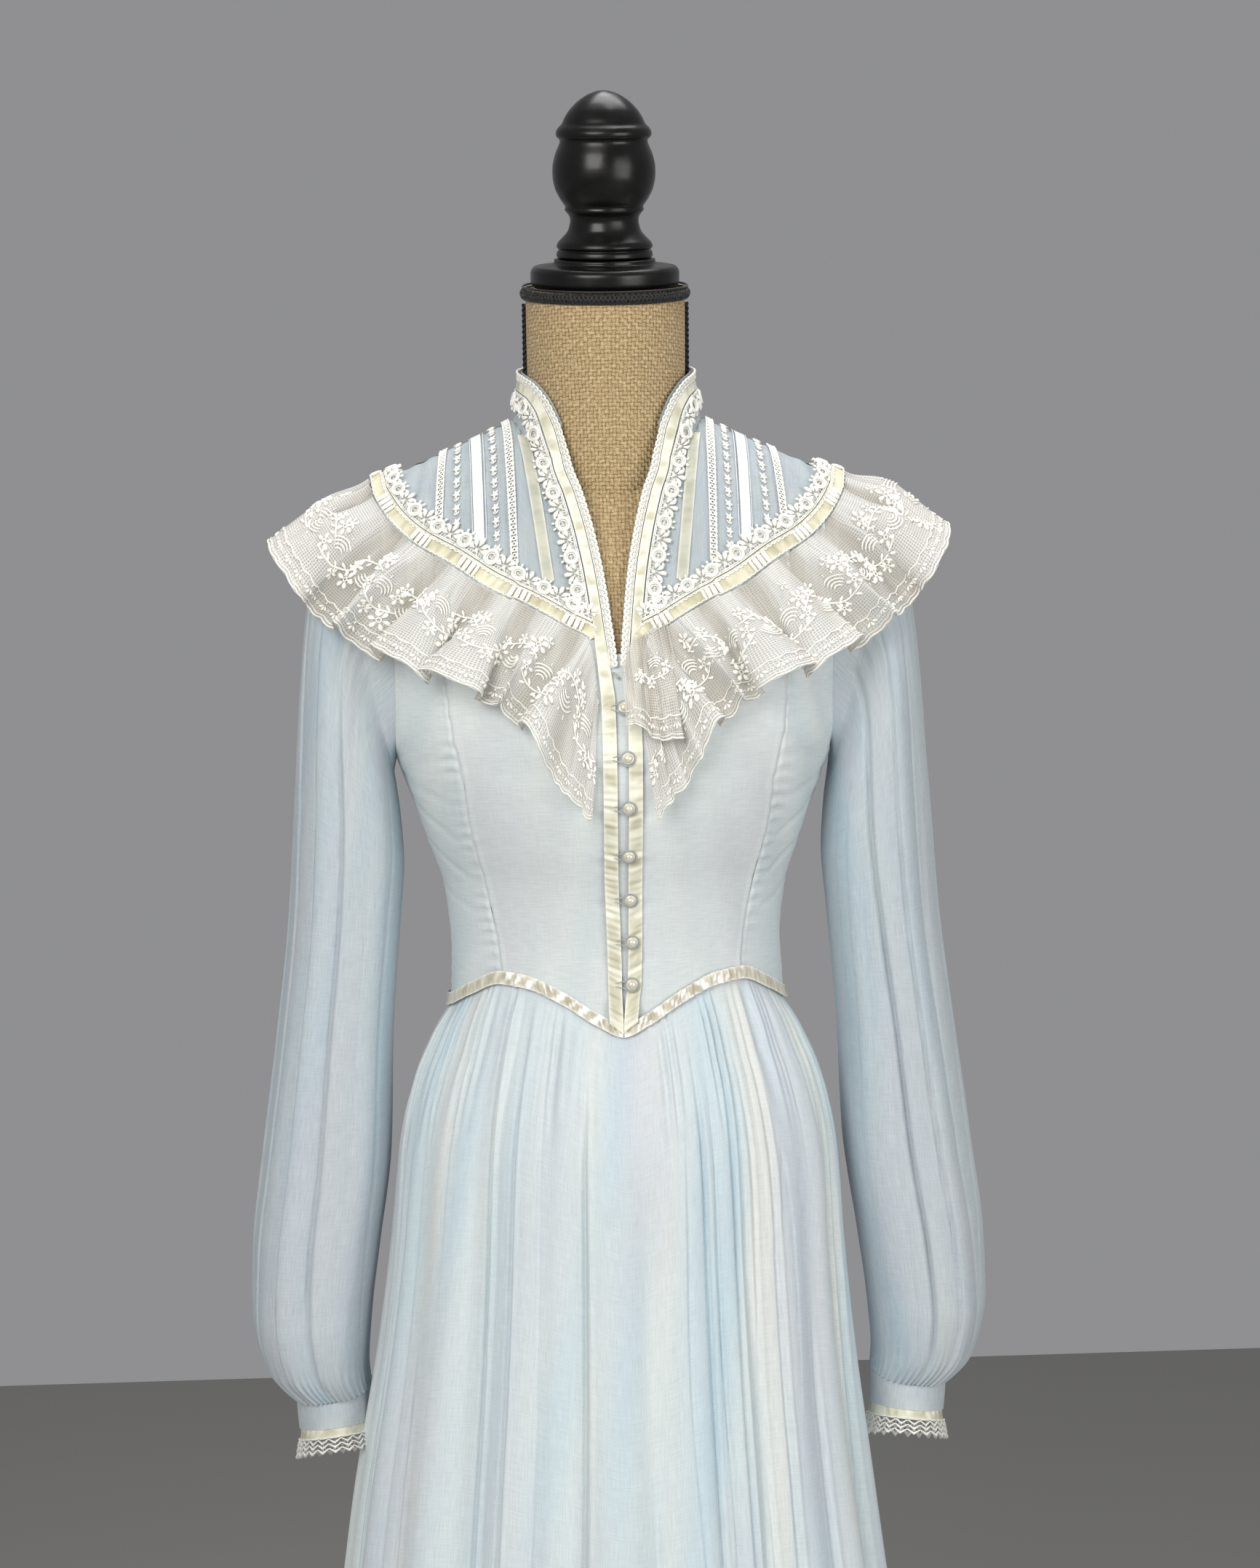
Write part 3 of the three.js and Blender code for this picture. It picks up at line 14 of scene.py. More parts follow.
import bpy
import numpy as np
from mathutils import Matrix, Vector
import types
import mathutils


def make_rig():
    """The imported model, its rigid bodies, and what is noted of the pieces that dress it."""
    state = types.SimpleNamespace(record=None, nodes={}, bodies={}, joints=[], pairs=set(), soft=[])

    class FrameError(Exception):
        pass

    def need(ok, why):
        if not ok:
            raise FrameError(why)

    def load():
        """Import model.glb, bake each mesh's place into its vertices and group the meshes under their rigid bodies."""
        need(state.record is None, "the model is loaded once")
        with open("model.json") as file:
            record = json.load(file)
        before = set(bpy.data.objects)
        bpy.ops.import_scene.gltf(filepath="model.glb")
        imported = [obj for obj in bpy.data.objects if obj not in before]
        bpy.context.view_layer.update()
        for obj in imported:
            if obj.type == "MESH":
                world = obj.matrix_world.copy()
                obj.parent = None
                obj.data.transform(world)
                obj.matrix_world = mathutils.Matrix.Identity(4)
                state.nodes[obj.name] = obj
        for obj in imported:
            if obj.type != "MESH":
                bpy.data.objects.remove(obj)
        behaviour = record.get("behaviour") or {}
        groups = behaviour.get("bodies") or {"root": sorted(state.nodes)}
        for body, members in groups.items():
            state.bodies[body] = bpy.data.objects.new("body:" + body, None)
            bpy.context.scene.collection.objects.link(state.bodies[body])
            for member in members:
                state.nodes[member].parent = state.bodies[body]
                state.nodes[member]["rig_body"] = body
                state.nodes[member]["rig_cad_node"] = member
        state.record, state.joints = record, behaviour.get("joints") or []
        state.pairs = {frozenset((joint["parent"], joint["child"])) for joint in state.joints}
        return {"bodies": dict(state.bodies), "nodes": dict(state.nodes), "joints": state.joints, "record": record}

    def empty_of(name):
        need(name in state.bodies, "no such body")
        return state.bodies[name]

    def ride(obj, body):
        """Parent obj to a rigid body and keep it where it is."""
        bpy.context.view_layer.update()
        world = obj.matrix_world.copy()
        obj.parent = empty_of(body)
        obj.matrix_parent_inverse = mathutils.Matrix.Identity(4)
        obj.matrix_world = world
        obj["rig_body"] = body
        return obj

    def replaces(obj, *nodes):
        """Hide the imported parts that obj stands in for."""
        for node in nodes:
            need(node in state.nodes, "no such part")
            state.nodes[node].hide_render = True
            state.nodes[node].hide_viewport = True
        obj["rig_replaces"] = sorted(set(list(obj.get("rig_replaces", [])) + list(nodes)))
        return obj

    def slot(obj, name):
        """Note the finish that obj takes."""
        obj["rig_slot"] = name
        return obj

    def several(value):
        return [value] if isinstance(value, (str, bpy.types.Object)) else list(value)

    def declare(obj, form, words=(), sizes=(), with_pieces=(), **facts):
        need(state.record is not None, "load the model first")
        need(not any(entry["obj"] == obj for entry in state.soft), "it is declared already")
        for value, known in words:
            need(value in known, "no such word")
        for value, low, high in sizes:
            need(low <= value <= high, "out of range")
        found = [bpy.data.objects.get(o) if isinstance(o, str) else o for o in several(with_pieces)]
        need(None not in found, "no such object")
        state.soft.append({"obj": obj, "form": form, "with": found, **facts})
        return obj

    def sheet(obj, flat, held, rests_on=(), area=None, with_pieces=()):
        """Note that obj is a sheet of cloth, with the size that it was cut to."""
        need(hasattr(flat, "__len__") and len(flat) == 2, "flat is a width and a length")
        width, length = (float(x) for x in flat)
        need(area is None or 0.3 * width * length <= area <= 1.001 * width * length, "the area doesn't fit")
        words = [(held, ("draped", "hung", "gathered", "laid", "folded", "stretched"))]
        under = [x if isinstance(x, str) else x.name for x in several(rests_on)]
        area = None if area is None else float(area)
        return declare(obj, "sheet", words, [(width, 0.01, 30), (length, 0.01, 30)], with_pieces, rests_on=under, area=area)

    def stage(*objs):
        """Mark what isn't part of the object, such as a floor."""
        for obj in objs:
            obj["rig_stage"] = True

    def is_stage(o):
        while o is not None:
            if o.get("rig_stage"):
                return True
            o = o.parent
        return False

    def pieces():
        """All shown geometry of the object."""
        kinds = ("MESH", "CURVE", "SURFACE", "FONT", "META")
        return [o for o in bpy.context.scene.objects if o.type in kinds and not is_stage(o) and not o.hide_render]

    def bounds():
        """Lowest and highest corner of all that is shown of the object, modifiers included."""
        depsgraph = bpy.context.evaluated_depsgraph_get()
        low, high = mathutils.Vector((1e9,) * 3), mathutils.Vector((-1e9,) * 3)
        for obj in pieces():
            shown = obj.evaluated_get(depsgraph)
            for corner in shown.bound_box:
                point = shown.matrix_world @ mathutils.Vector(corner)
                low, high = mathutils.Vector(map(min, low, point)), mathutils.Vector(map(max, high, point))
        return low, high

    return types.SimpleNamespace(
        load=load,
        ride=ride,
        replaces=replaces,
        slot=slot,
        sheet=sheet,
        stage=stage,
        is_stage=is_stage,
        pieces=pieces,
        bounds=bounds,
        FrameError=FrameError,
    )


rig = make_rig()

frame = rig.load()
CAD_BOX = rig.bounds()

Array = np.ndarray
Sizes = np.ndarray | float
Piece = bpy.types.Object
Tree = bpy.types.NodeTree
Node = bpy.types.Node
LOG = logging.getLogger("dress")
MM = 0.001

RIBBON = 8.5  # width of every satin ribbon
PICOT = 5.5  # width of the picot edging inside the neck
DAISY_WIDTH = 12.6  # from the lace's foot to its petal tips
DAISY_REPEAT = 22.0  # from one eyelet to the next
RUFFLE_FALLS_FROM = RIBBON / 2 + 0.9  # the ruffle hangs from just below its ribbon's middle
HEM = 30.0  # height of the skirt's hem above the floor
PANEL = 1.6  # how far the bodice cloth lies out from the body surface
TRIM = 3.2  # the neck trims
FORM = -3.2  # the covered form under the dress
NECK_TOP = 1513.0  # height of the middle of the neck's top
NECK_TILT = 10.0  # degrees that it leans forward


# ------------ numbers


def mix(a: Sizes, b: Sizes, t: Sizes) -> Sizes:
    """Value between a and b at the share t."""
    return a + (b - a) * t


def ease(x: Sizes, low: float, high: float) -> Sizes:
    """Smooth rise from 0 at low to 1 at high."""
    t = np.clip((np.asarray(x, float) - low) / (high - low), 0, 1)
    return t * t * (3 - 2 * t)


def bell(x: Sizes, middle: Sizes, width: Sizes) -> Sizes:
    """Smooth hump of height 1 over its middle, down to about a third a width away.

    Args:
        x: where to read it.
        middle: where it is 1.
        width: how far it reaches.

    Returns:
        Its height.
    """
    return np.exp(-((x - middle) / width) ** 2)


def unit(v: Array) -> Array:
    """Vectors of length 1 along the last axis."""
    return v / np.maximum(np.linalg.norm(v, axis=-1, keepdims=True), 1e-9)


def point(x: Sizes, y: Sizes, z: Sizes) -> Array:
    """Points from three arrays or numbers of matching shapes."""
    return np.stack(np.broadcast_arrays(*(np.asarray(c, float) for c in (x, y, z))), axis=-1)


def ripple(x: Array, seed: int, waves: int = 5) -> Array:
    """Smooth uneven wave about 0, of height about 1 and mean wavelength about 1, the same for the same seed.

    Args:
        x: distance in mean wavelengths.
        seed: the number its draws start from.
        waves: how many are added up.

    Returns:
        The wave.
    """
    draw = np.random.default_rng(seed)
    total = np.zeros_like(np.asarray(x, float))
    for _ in range(waves):
        total = total + np.sin(2 * np.pi * (x * draw.uniform(0.55, 1.6) + draw.uniform()))
    return total / math.sqrt(waves)


def pleats(phase: Array, seed: int, drop: float = 0.14) -> tuple[Array, Array, Array]:
    """Flat runs of cloth that rise slowly and end in a sharp fold, one for each whole number of the phase.

    Args:
        phase: place among the pleats.
        seed: what their directions, tones and lengths are drawn from.
        drop: share of each pleat that its fold takes.

    Returns:
        The height from 0 to 1, a tone from 0 to 1 and a draw from 0 to 1, both the pleat's own.
    """
    draw = np.random.default_rng(seed).uniform(size=(3, 211))
    whole = np.floor(phase)
    k = whole.astype(int) % 211
    share = phase - whole
    share = np.where(draw[0][k] < 0.5, share, 1 - share)
    height = np.where(share < 1 - drop, ease(share, -0.35, 1 - drop) , 1 - ease(share, 1 - drop, 1))
    low = float(ease(0.0, -0.35, 1 - drop))
    height = np.maximum(height - low * (1 - ease(share, 0, 0.08)), 0)
    blend = ease(share, 1 - drop, 1) * 0.5
    tone = mix(draw[1][k], draw[1][(k + np.where(draw[0][k] < 0.5, 1, -1)) % 211], blend)
    return height, tone, draw[2][k]


class Side(Enum):
    """The two sides of the dress, as the sign of X."""

    LEFT = -1
    RIGHT = 1

    @property
    def word(self) -> str:
        """The side's name as the solids end with it."""
        return self.name.lower()


class Table:
    """Sizes in named columns, read at any value of the first column along a smooth curve."""

    def __init__(self, columns: str, *rows: Sequence[float]) -> None:
        """Keeps the rows.

        Args:
            columns: the columns' names, parted by spaces.
            rows: one row of sizes for each section.
        """
        self.names = columns.split()
        self.data = np.array(rows, float)

    @property
    def keys(self) -> Array:
        """The first column."""
        return self.data[:, 0]

    def at(self, key: Sizes, name: str) -> Array:
        """Reads a column.

        Args:
            key: where along the first column.
            name: which column.

        Returns:
            The sizes there, held at the ends of the table.
        """
        keys, value = self.keys, self.data[:, self.names.index(name)]
        rise = np.diff(value) / np.diff(keys)
        both = rise[:-1] + rise[1:]
        slope = np.zeros_like(value)
        slope[1:-1] = np.where(rise[:-1] * rise[1:] > 0,
                               2 * rise[:-1] * rise[1:] / np.where(both == 0, 1, both), 0)
        held = np.clip(np.asarray(key, float), keys[0], keys[-1])
        i = np.clip(np.searchsorted(keys, held, side="right") - 1, 0, len(keys) - 2)
        span = keys[i + 1] - keys[i]
        t = (held - keys[i]) / span
        a, b, m, n = value[i], value[i + 1], slope[i] * span, slope[i + 1] * span
        return a + t * (m + t * (3 * (b - a) - 2 * m - n + t * (m + n - 2 * (b - a))))


# ------------ meshes


def grid_faces(rows: int, columns: int, loop: bool = False) -> Array:
    """Quads of a grid of corners numbered row by row. A loop joins its last column to its first.

    Args:
        rows: rows of corners.
        columns: corners in a row.
        loop: whether the last column joins the first.

    Returns:
        Each quad's corners.
    """
    i, j = np.meshgrid(np.arange(rows - 1), np.arange(columns if loop else columns - 1), indexing="ij")
    right = (j + 1) % columns
    quads = np.stack([i * columns + j, i * columns + right, (i + 1) * columns + right,
                      (i + 1) * columns + j], -1)
    return quads.reshape(-1, 4)


def make_mesh(name: str, corners: Array, faces: Array, uv: Array | None = None,
              tone: Array | None = None) -> Piece:
    """Makes an object from corners in millimetres.

    Args:
        name: the object's name.
        corners: one row of x, y, z each.
        faces: corner numbers, all with three or all with four corners.
        uv: cloth coordinates in millimetres for each face's corners, in the faces' order.
        tone: a number from 0 to 1 for each corner, which its material may read as tone.

    Returns:
        The object, smooth shaded and placed at the origin.
    """
    size = faces.shape[1]
    mesh = bpy.data.meshes.new(name)
    mesh.vertices.add(len(corners))
    mesh.vertices.foreach_set("co", (np.asarray(corners) * MM).astype(np.float32).ravel())
    mesh.loops.add(faces.size)
    mesh.loops.foreach_set("vertex_index", faces.astype(np.int32).ravel())
    mesh.polygons.add(len(faces))
    mesh.polygons.foreach_set("loop_start", np.arange(0, faces.size, size, dtype=np.int32))
    mesh.polygons.foreach_set("use_smooth", np.ones(len(faces), bool))
    layer = mesh.uv_layers.new(name="cloth")
    if uv is not None:
        layer.data.foreach_set("uv", (np.asarray(uv) * MM).astype(np.float32).ravel())
    if tone is not None:
        mesh.attributes.new("tone", "FLOAT",
                            "POINT").data.foreach_set("value", tone.astype(np.float32).ravel())
    mesh.update(calc_edges=True)
    made = bpy.data.objects.new(name, mesh)
    bpy.context.scene.collection.objects.link(made)
    return made


class Chart:
    """A surface sampled on a grid, read by distance along its rows and across its columns."""

    def __init__(self, points: Array, core: Sequence[float] = (0, 6, 1250), loop: bool = False) -> None:
        """Measures the grid.

        Args:
            points: rows, columns and x, y, z in millimetres. Rows run along, columns across.
            core: a point inside, which the normals lead away from.
            loop: whether the last column lies on the first one.
        """
        self.points, self.core, self.loop = points, core, loop
        wide = np.concatenate([points[:, -2:-1], points, points[:, 1:2]], 1) if loop else points
        across = np.gradient(wide, axis=1)
        normals = unit(np.cross(np.gradient(wide, axis=0), across))
        self.normals = normals[:, 1:-1] if loop else normals
        away = np.sum(self.normals * (points - np.array(core, float)), -1)
        self.turned = float(np.mean(away)) < 0
        if self.turned:
            self.normals = -self.normals
        down, aside = (np.linalg.norm(np.diff(points, axis=axis), axis=-1) for axis in (0, 1))
        self.along = np.concatenate([[0], np.cumsum(down.mean(1))])
        self.across = np.concatenate([[0], np.cumsum(aside.mean(0))])
        self.widths, self.lengths = aside.sum(1), down.sum(0)

    def lifted(self, height: Sizes) -> "Chart":
        """The same surface moved out along its normals by a height or a grid of heights."""
        height = np.broadcast_to(np.asarray(height, float), self.points.shape[:2])
        return Chart(self.points + self.normals * height[..., None], self.core, self.loop)

    def read(self, along: Array, across: Array) -> tuple[Array, Array]:
        """Points and normals at distances along and across, in millimetres.

        Args:
            along: distance along.
            across: distance across.

        Returns:
            The points and the normals.
        """
        rows, columns = self.points.shape[:2]
        i = np.interp(along, self.along, np.arange(rows))
        j = np.interp(across, self.across, np.arange(columns))
        a, b = np.clip(i.astype(int), 0, rows - 2), np.clip(j.astype(int), 0, columns - 2)
        s, t = (i - a)[..., None], (j - b)[..., None]
        place, out = (mix(mix(g[a, b], g[a + 1, b], s), mix(g[a, b + 1], g[a + 1, b + 1], s), t)
                      for g in (self.points, self.normals))
        return place, unit(out)

    def sheet(self, name: str, tone: Array | None = None, grain: Array | None = None) -> Piece:
        """Makes the cloth as one sheet.

        Args:
            name: the object's name.
            tone: how light the cloth is at each corner.
            grain: each corner's place along the lengthwise thread, where that isn't the distance along.

        Returns:
            The object, with cloth coordinates measured across and along.
        """
        rows, columns = self.points.shape[:2]
        kept = self.points[:, :-1] if self.loop else self.points
        faces = grid_faces(rows, kept.shape[1], self.loop)
        plain = grid_faces(rows, columns)
        lengthwise = self.along[:, None] if grain is None else grain
        place = np.stack(np.broadcast_arrays(self.across[None, :], lengthwise), -1).reshape(-1, 2)
        if not self.turned:
            faces, plain = faces[:, ::-1], plain[:, ::-1]
        if tone is not None and self.loop:
            tone = tone[:, :-1]
        return make_mesh(name, kept.reshape(-1, 3), faces, place[plain].reshape(-1, 2), tone)

    def cut(self) -> dict:
        """Returns:
            Its sizes and area.
        """
        flat = (float(self.widths.max()) * MM, float(self.lengths.max()) * MM)
        a, b, c, d = self.points[:-1, :-1], self.points[1:, :-1], self.points[1:, 1:], self.points[:-1, 1:]
        area = float(np.linalg.norm(np.cross(c - a, d - b), axis=-1).sum()) / 2 * MM * MM
        return {"flat": flat, "area": min(area, flat[0] * flat[1])}


def tube(path: Array, radius: Sizes, sides: int = 6, closed: bool = False) -> tuple[Array, Array]:
    """A round cord along a path.

    Args:
        path: the points of its middle.
        radius: one radius, or one for each point.
        sides: corners round it.
        closed: whether its end joins its start.

    Returns:
        Corners and quads, with the ends of an open cord drawn to a point.
    """
    ahead = np.roll(path, -1, 0) - np.roll(path, 1, 0) if closed else np.gradient(path, axis=0)
    ahead = unit(ahead)
    up = np.where(np.abs(ahead[:, 2:3]) < 0.9, np.array([[0, 0, 1.0]]), np.array([[1.0, 0, 0]]))
    side = unit(np.cross(ahead, up))
    for i in range(1, len(path)):
        if np.dot(side[i], side[i - 1]) < 0:
            side[i] = -side[i]
    top = np.cross(side, ahead)
    size = np.broadcast_to(np.asarray(radius, float), (len(path),)).copy()
    if not closed:
        size[[0, -1]] *= 0.35
    turn = np.arange(sides) * 2 * np.pi / sides
    ring = np.cos(turn)[None, :, None] * side[:, None] + np.sin(turn)[None, :, None] * top[:, None]
    corners = (path[:, None] + ring * size[:, None, None]).reshape(-1, 3)
    faces = grid_faces(len(path), sides, True)
    if closed:
        last = np.arange(sides) + (len(path) - 1) * sides
        first = np.arange(sides)
        faces = np.concatenate([faces, np.stack([last, np.roll(last, -1), np.roll(first, -1), first], -1)])
    return corners, faces[:, ::-1]


def triangles(faces: Array) -> Array:
    """Quads as triangles."""
    return np.concatenate([faces[:, [0, 1, 2]], faces[:, [0, 2, 3]]]) if faces.shape[1] == 4 else faces


class Motif:
    """A small raised shape drawn flat: along, across and up, in millimetres."""

    def __init__(self, corners: Array, faces: Array) -> None:
        """Keeps the corners and the triangles."""
        self.corners, self.faces = np.asarray(corners, float), triangles(np.asarray(faces))

    @staticmethod
    def joined(parts: Sequence["Motif"]) -> "Motif":
        """Several motifs as one.

        Args:
            parts: the motifs.

        Returns:
            The motif.
        """
        starts = np.cumsum([0] + [len(p.corners) for p in parts])
        faces = [p.faces + start for p, start in zip(parts, starts)]
        return Motif(np.concatenate([p.corners for p in parts]), np.concatenate(faces))

    def put(self, x: float, y: float, turn: float = 0.0, size: float = 1.0, flip: bool = False) -> "Motif":
        """The motif turned by degrees, scaled, and moved to a place.

        Args:
            x: place along the chart.
            y: place across the chart.
            turn: degrees it turns.
            size: its scale.
            flip: whether it is mirrored.

        Returns:
            The moved motif.
        """
        c, s = math.cos(math.radians(turn)), math.sin(math.radians(turn))
        p = self.corners * size
        if flip:
            p = p * np.array([-1, 1, 1])
        moved = np.stack([p[:, 0] * c - p[:, 1] * s + x, p[:, 0] * s + p[:, 1] * c + y, p[:, 2]], -1)
        return Motif(moved, self.faces[:, ::-1] if flip else self.faces)

    @staticmethod
    def dome(outline: Array, height: float) -> "Motif":
        """A closed low dome over a flat outline.

        Args:
            outline: corners of its foot.
            height: height of its top.

        Returns:
            The motif.
        """
        n = len(outline)
        middle = outline.mean(0)
        inner = mix(middle, outline, 0.62)
        corners = np.concatenate([
            np.column_stack([outline, np.zeros(n)]),
            np.column_stack([inner, np.full(n, height * 0.85)]),
            [[*middle, height], [*middle, -0.1]],
        ])
        a, b = np.arange(n), np.roll(np.arange(n), -1)
        return Motif(corners, np.concatenate([
            np.stack([a, b, b + n], -1), np.stack([a, b + n, a + n], -1),
            np.stack([a + n, b + n, np.full(n, 2 * n)], -1), np.stack([b, a, np.full(n, 2 * n + 1)], -1),
        ]))

    @staticmethod
    def petal(length: float, width: float, height: float = 0.9, start: float = 0.0,
              point_at: float = 0.55) -> "Motif":
        """A plump petal that grows along +Y from a start, widest at a share of its length.

        Args:
            length: its length.
            width: its width.
            height: height of its top.
            start: distance of its foot from the middle.
            point_at: share at which it is widest.

        Returns:
            The motif.
        """
        turn = np.arange(8) * 2 * np.pi / 8
        y = (1 - np.cos(turn)) / 2
        x = np.sin(turn) * width / 2 * (y ** 0.35) * (1 - 0.25 * np.abs(y - point_at))
        return Motif.dome(np.column_stack([x, start + y * length]), height)

    @staticmethod
    def star(radius: float, height: float = 0.7) -> "Motif":
        """A five-pointed star.

        Args:
            radius: its radius.
            height: height of its top.

        Returns:
            The motif.
        """
        turn = np.arange(10) * 2 * np.pi / 10
        reach = np.where(np.arange(10) % 2 == 0, radius, radius * 0.42)
        return Motif.dome(np.column_stack([reach * np.sin(turn), reach * np.cos(turn)]), height)

    @staticmethod
    def ring(radius: float, thick: float, around: int = 14) -> "Motif":
        """A corded ring of a middle radius and a cord radius.

        Args:
            radius: its radius.
            thick: the cord's radius.
            around: corners round it.

        Returns:
            The motif.
        """
        turn = np.arange(around) * 2 * np.pi / around
        path = np.stack([radius * np.cos(turn), radius * np.sin(turn), np.full(around, thick * 0.7)], -1)
        return Motif(*tube(path, thick, 4, True))

    @staticmethod
    def cord(path: Sequence[Sequence[float]], thick: float, sides: int = 5) -> "Motif":
        """A cord through flat points, lying on the cloth."""
        flat = np.asarray(path, float)
        return Motif(*tube(np.column_stack([flat, np.full(len(flat), thick * 0.7)]), thick, sides))


class Relief:
    """Motifs gathered on a chart and made into one mesh."""

    def __init__(self, chart: Chart) -> None:
        """Starts with none.

        Args:
            chart: the surface that the motifs lie on.
        """
        self.chart, self.parts = chart, []

    def add(self, motif: Motif) -> None:
        """Adds a motif that is already at its place."""
        self.parts.append(motif)

    def make(self, name: str, lift: float = 0.0) -> Piece:
        """Makes the object, each corner laid on the chart and raised by its own height and the lift.

        Args:
            name: the object's name.
            lift: height above the surface.

        Returns:
            The object.
        """
        whole = Motif.joined(self.parts)
        place, normal = self.chart.read(whole.corners[:, 0], whole.corners[:, 1])
        corners = place + normal * (whole.corners[:, 2:] + lift)
        faces = whole.faces
        handed = np.dot(np.cross(self.chart.points[1, 0] - self.chart.points[0, 0],
                                 self.chart.points[0, 1] - self.chart.points[0, 0]), self.chart.normals[0, 0])
        if handed < 0:
            faces = faces[:, ::-1]
        uv = whole.corners[faces][..., :2].reshape(-1, 2)
        return make_mesh(name, corners, faces, uv)


def mirrored(points: Array, side: Side) -> Array:
    """Points of the right side, flipped over to the left where that side is asked for."""
    return points * np.array([side.value, 1, 1])


# ------------ finishes


def linear(colour: str) -> tuple[float, float, float, float]:
    """An sRGB hex colour as the linear numbers that a shader takes.

    Args:
        colour: an sRGB hex colour.

    Returns:
        Red, green, blue and 1.
    """
    parts = [int(colour[i:i + 2], 16) / 255 for i in (1, 3, 5)]
    red, green, blue = (c / 12.92 if c <= 0.04045 else ((c + 0.055) / 1.055) ** 2.4 for c in parts)
    return red, green, blue, 1.0


MIX, RANGE, BUMP, NOISE = "ShaderNodeMix", "ShaderNodeMapRange", "ShaderNodeBump", "ShaderNodeTexNoise"
MAPPING, ATTRIBUTE, COLOURS = "ShaderNodeMapping", "ShaderNodeAttribute", {"data_type": "RGBA"}


def node(tree: Tree, kind: str | Node, inputs: dict | Sequence = (), **settings) -> Node:
    """Adds a shader node, or sets one that is there.

    Args:
        tree: the material's node tree.
        kind: the node's type, or the node.
        inputs: values in order, or by input name or number. A socket, or a node's first one, is linked.
        settings: the node's own settings.

    Returns:
        The node.
    """
    made = kind if isinstance(kind, Node) else tree.nodes.new(kind)
    for name, value in settings.items():
        setattr(made, name, value)
    for name, value in inputs.items() if isinstance(inputs, dict) else enumerate(inputs):
        value = value.outputs[0] if isinstance(value, Node) else value
        if isinstance(value, bpy.types.NodeSocket):
            tree.links.new(value, made.inputs[name])
        else:
            made.inputs[name].default_value = value
    return made


@dataclass(frozen=True)
class Finish:
    """What a surface is made of, with the values that its shader starts from."""

    name: str
    colour: str
    roughness: float = 0.8
    sheen: float = 0.0
    alpha: float = 1.0
    coat: float = 0.0

    def make(self) -> bpy.types.Material:
        """Makes the material.

        Returns:
            The material.
        """
        material = bpy.data.materials.new(self.name)
        material.use_nodes = True
        tree = material.node_tree
        shader = tree.nodes["Principled BSDF"]
        values = {"Base Color": linear(self.colour), "Roughness": self.roughness, "Sheen Weight": self.sheen,
                  "Sheen Roughness": 0.4, "Alpha": self.alpha, "Coat Weight": self.coat,
                  "Coat Roughness": 0.2}
        node(tree, shader, values)
        self.pattern(tree, shader)
        return material

    def pattern(self, tree: Tree, shader: Node) -> None:
        """Adds the nodes of its weave, grain, wear or painted shade, which a plain finish has none of."""

    @staticmethod
    def marks(tree: Tree, across: float, along: float, detail: float = 2.0) -> Node:
        """Uneven marks on the cloth's own coordinates.

        Args:
            tree: the material's node tree.
            across: width of a mark in millimetres.
            along: length of a mark in millimetres.
            detail: how much finer unevenness they carry.

        Returns:
            The noise that draws them.
        """
        cloth = node(tree, "ShaderNodeUVMap", uv_map="cloth")
        place = node(tree, MAPPING, {"Vector": cloth, "Scale": (1000 / across, 1000 / along, 1)})
        return node(tree, NOISE, {"Vector": place, "Scale": 1.0, "Detail": detail}, noise_dimensions="2D")


@dataclass(frozen=True)
class Voile(Finish):
    """Plain-woven cotton voile, streaked by the slubs of both threads, greyer where it is double, and bluer and darker
    in painted shade where its tone is low.
    """

    # deep: the bluer, darker colour that a low tone mixes in, which is painted shade on the cloth
    deep: str = "#B2C9DC"
    tint: str = "#CBCBD9"
    thread: float = 0.9  # a real thread is 0.2 mm; this is the width of a streak that still shows
    slub: float = 15.0
    crosswise: float = 0.5
    contrast: float = 0.09
    cloud: tuple[float, float] = (38.0, 260.0)

    def pattern(self, tree: Tree, shader: Node) -> None:
        """Mixes the cloth's colours by its tone and streaks it with slubs.

        Args:
            tree: the material's node tree.
            shader: its surface shader.
        """
        warp, weft = self.marks(tree, self.thread, self.slub), self.marks(tree, self.slub, self.thread)
        cloud = node(tree, RANGE, [self.marks(tree, *self.cloud, 1.0), 0.42, 0.66, 0, 1])
        slubs = node(tree, MIX, {0: self.crosswise, 2: warp, 3: weft})
        tone = node(tree, ATTRIBUTE, attribute_name="tone").outputs["Fac"]
        # a low tone gives the deep colour: painted shade
        body = node(tree, MIX, {0: tone, 6: linear(self.deep), 7: linear(self.colour)}, **COLOURS).outputs[2]
        share = node(tree, "ShaderNodeMath", [cloud, 0.55], operation="MULTIPLY")
        tinted = node(tree, MIX, {0: share, 6: body, 7: linear(self.tint)}, **COLOURS).outputs[2]
        streak = node(tree, RANGE, [slubs, 0.32, 0.68, 1 - self.contrast, 1 + self.contrast])
        lit = node(tree, "ShaderNodeVectorMath", {0: tinted, "Scale": streak}, operation="SCALE")
        raised = node(tree, BUMP, {"Height": slubs, "Strength": 0.35, "Distance": 0.35 * MM})
        node(tree, shader, {"Base Color": lit, "Normal": raised})


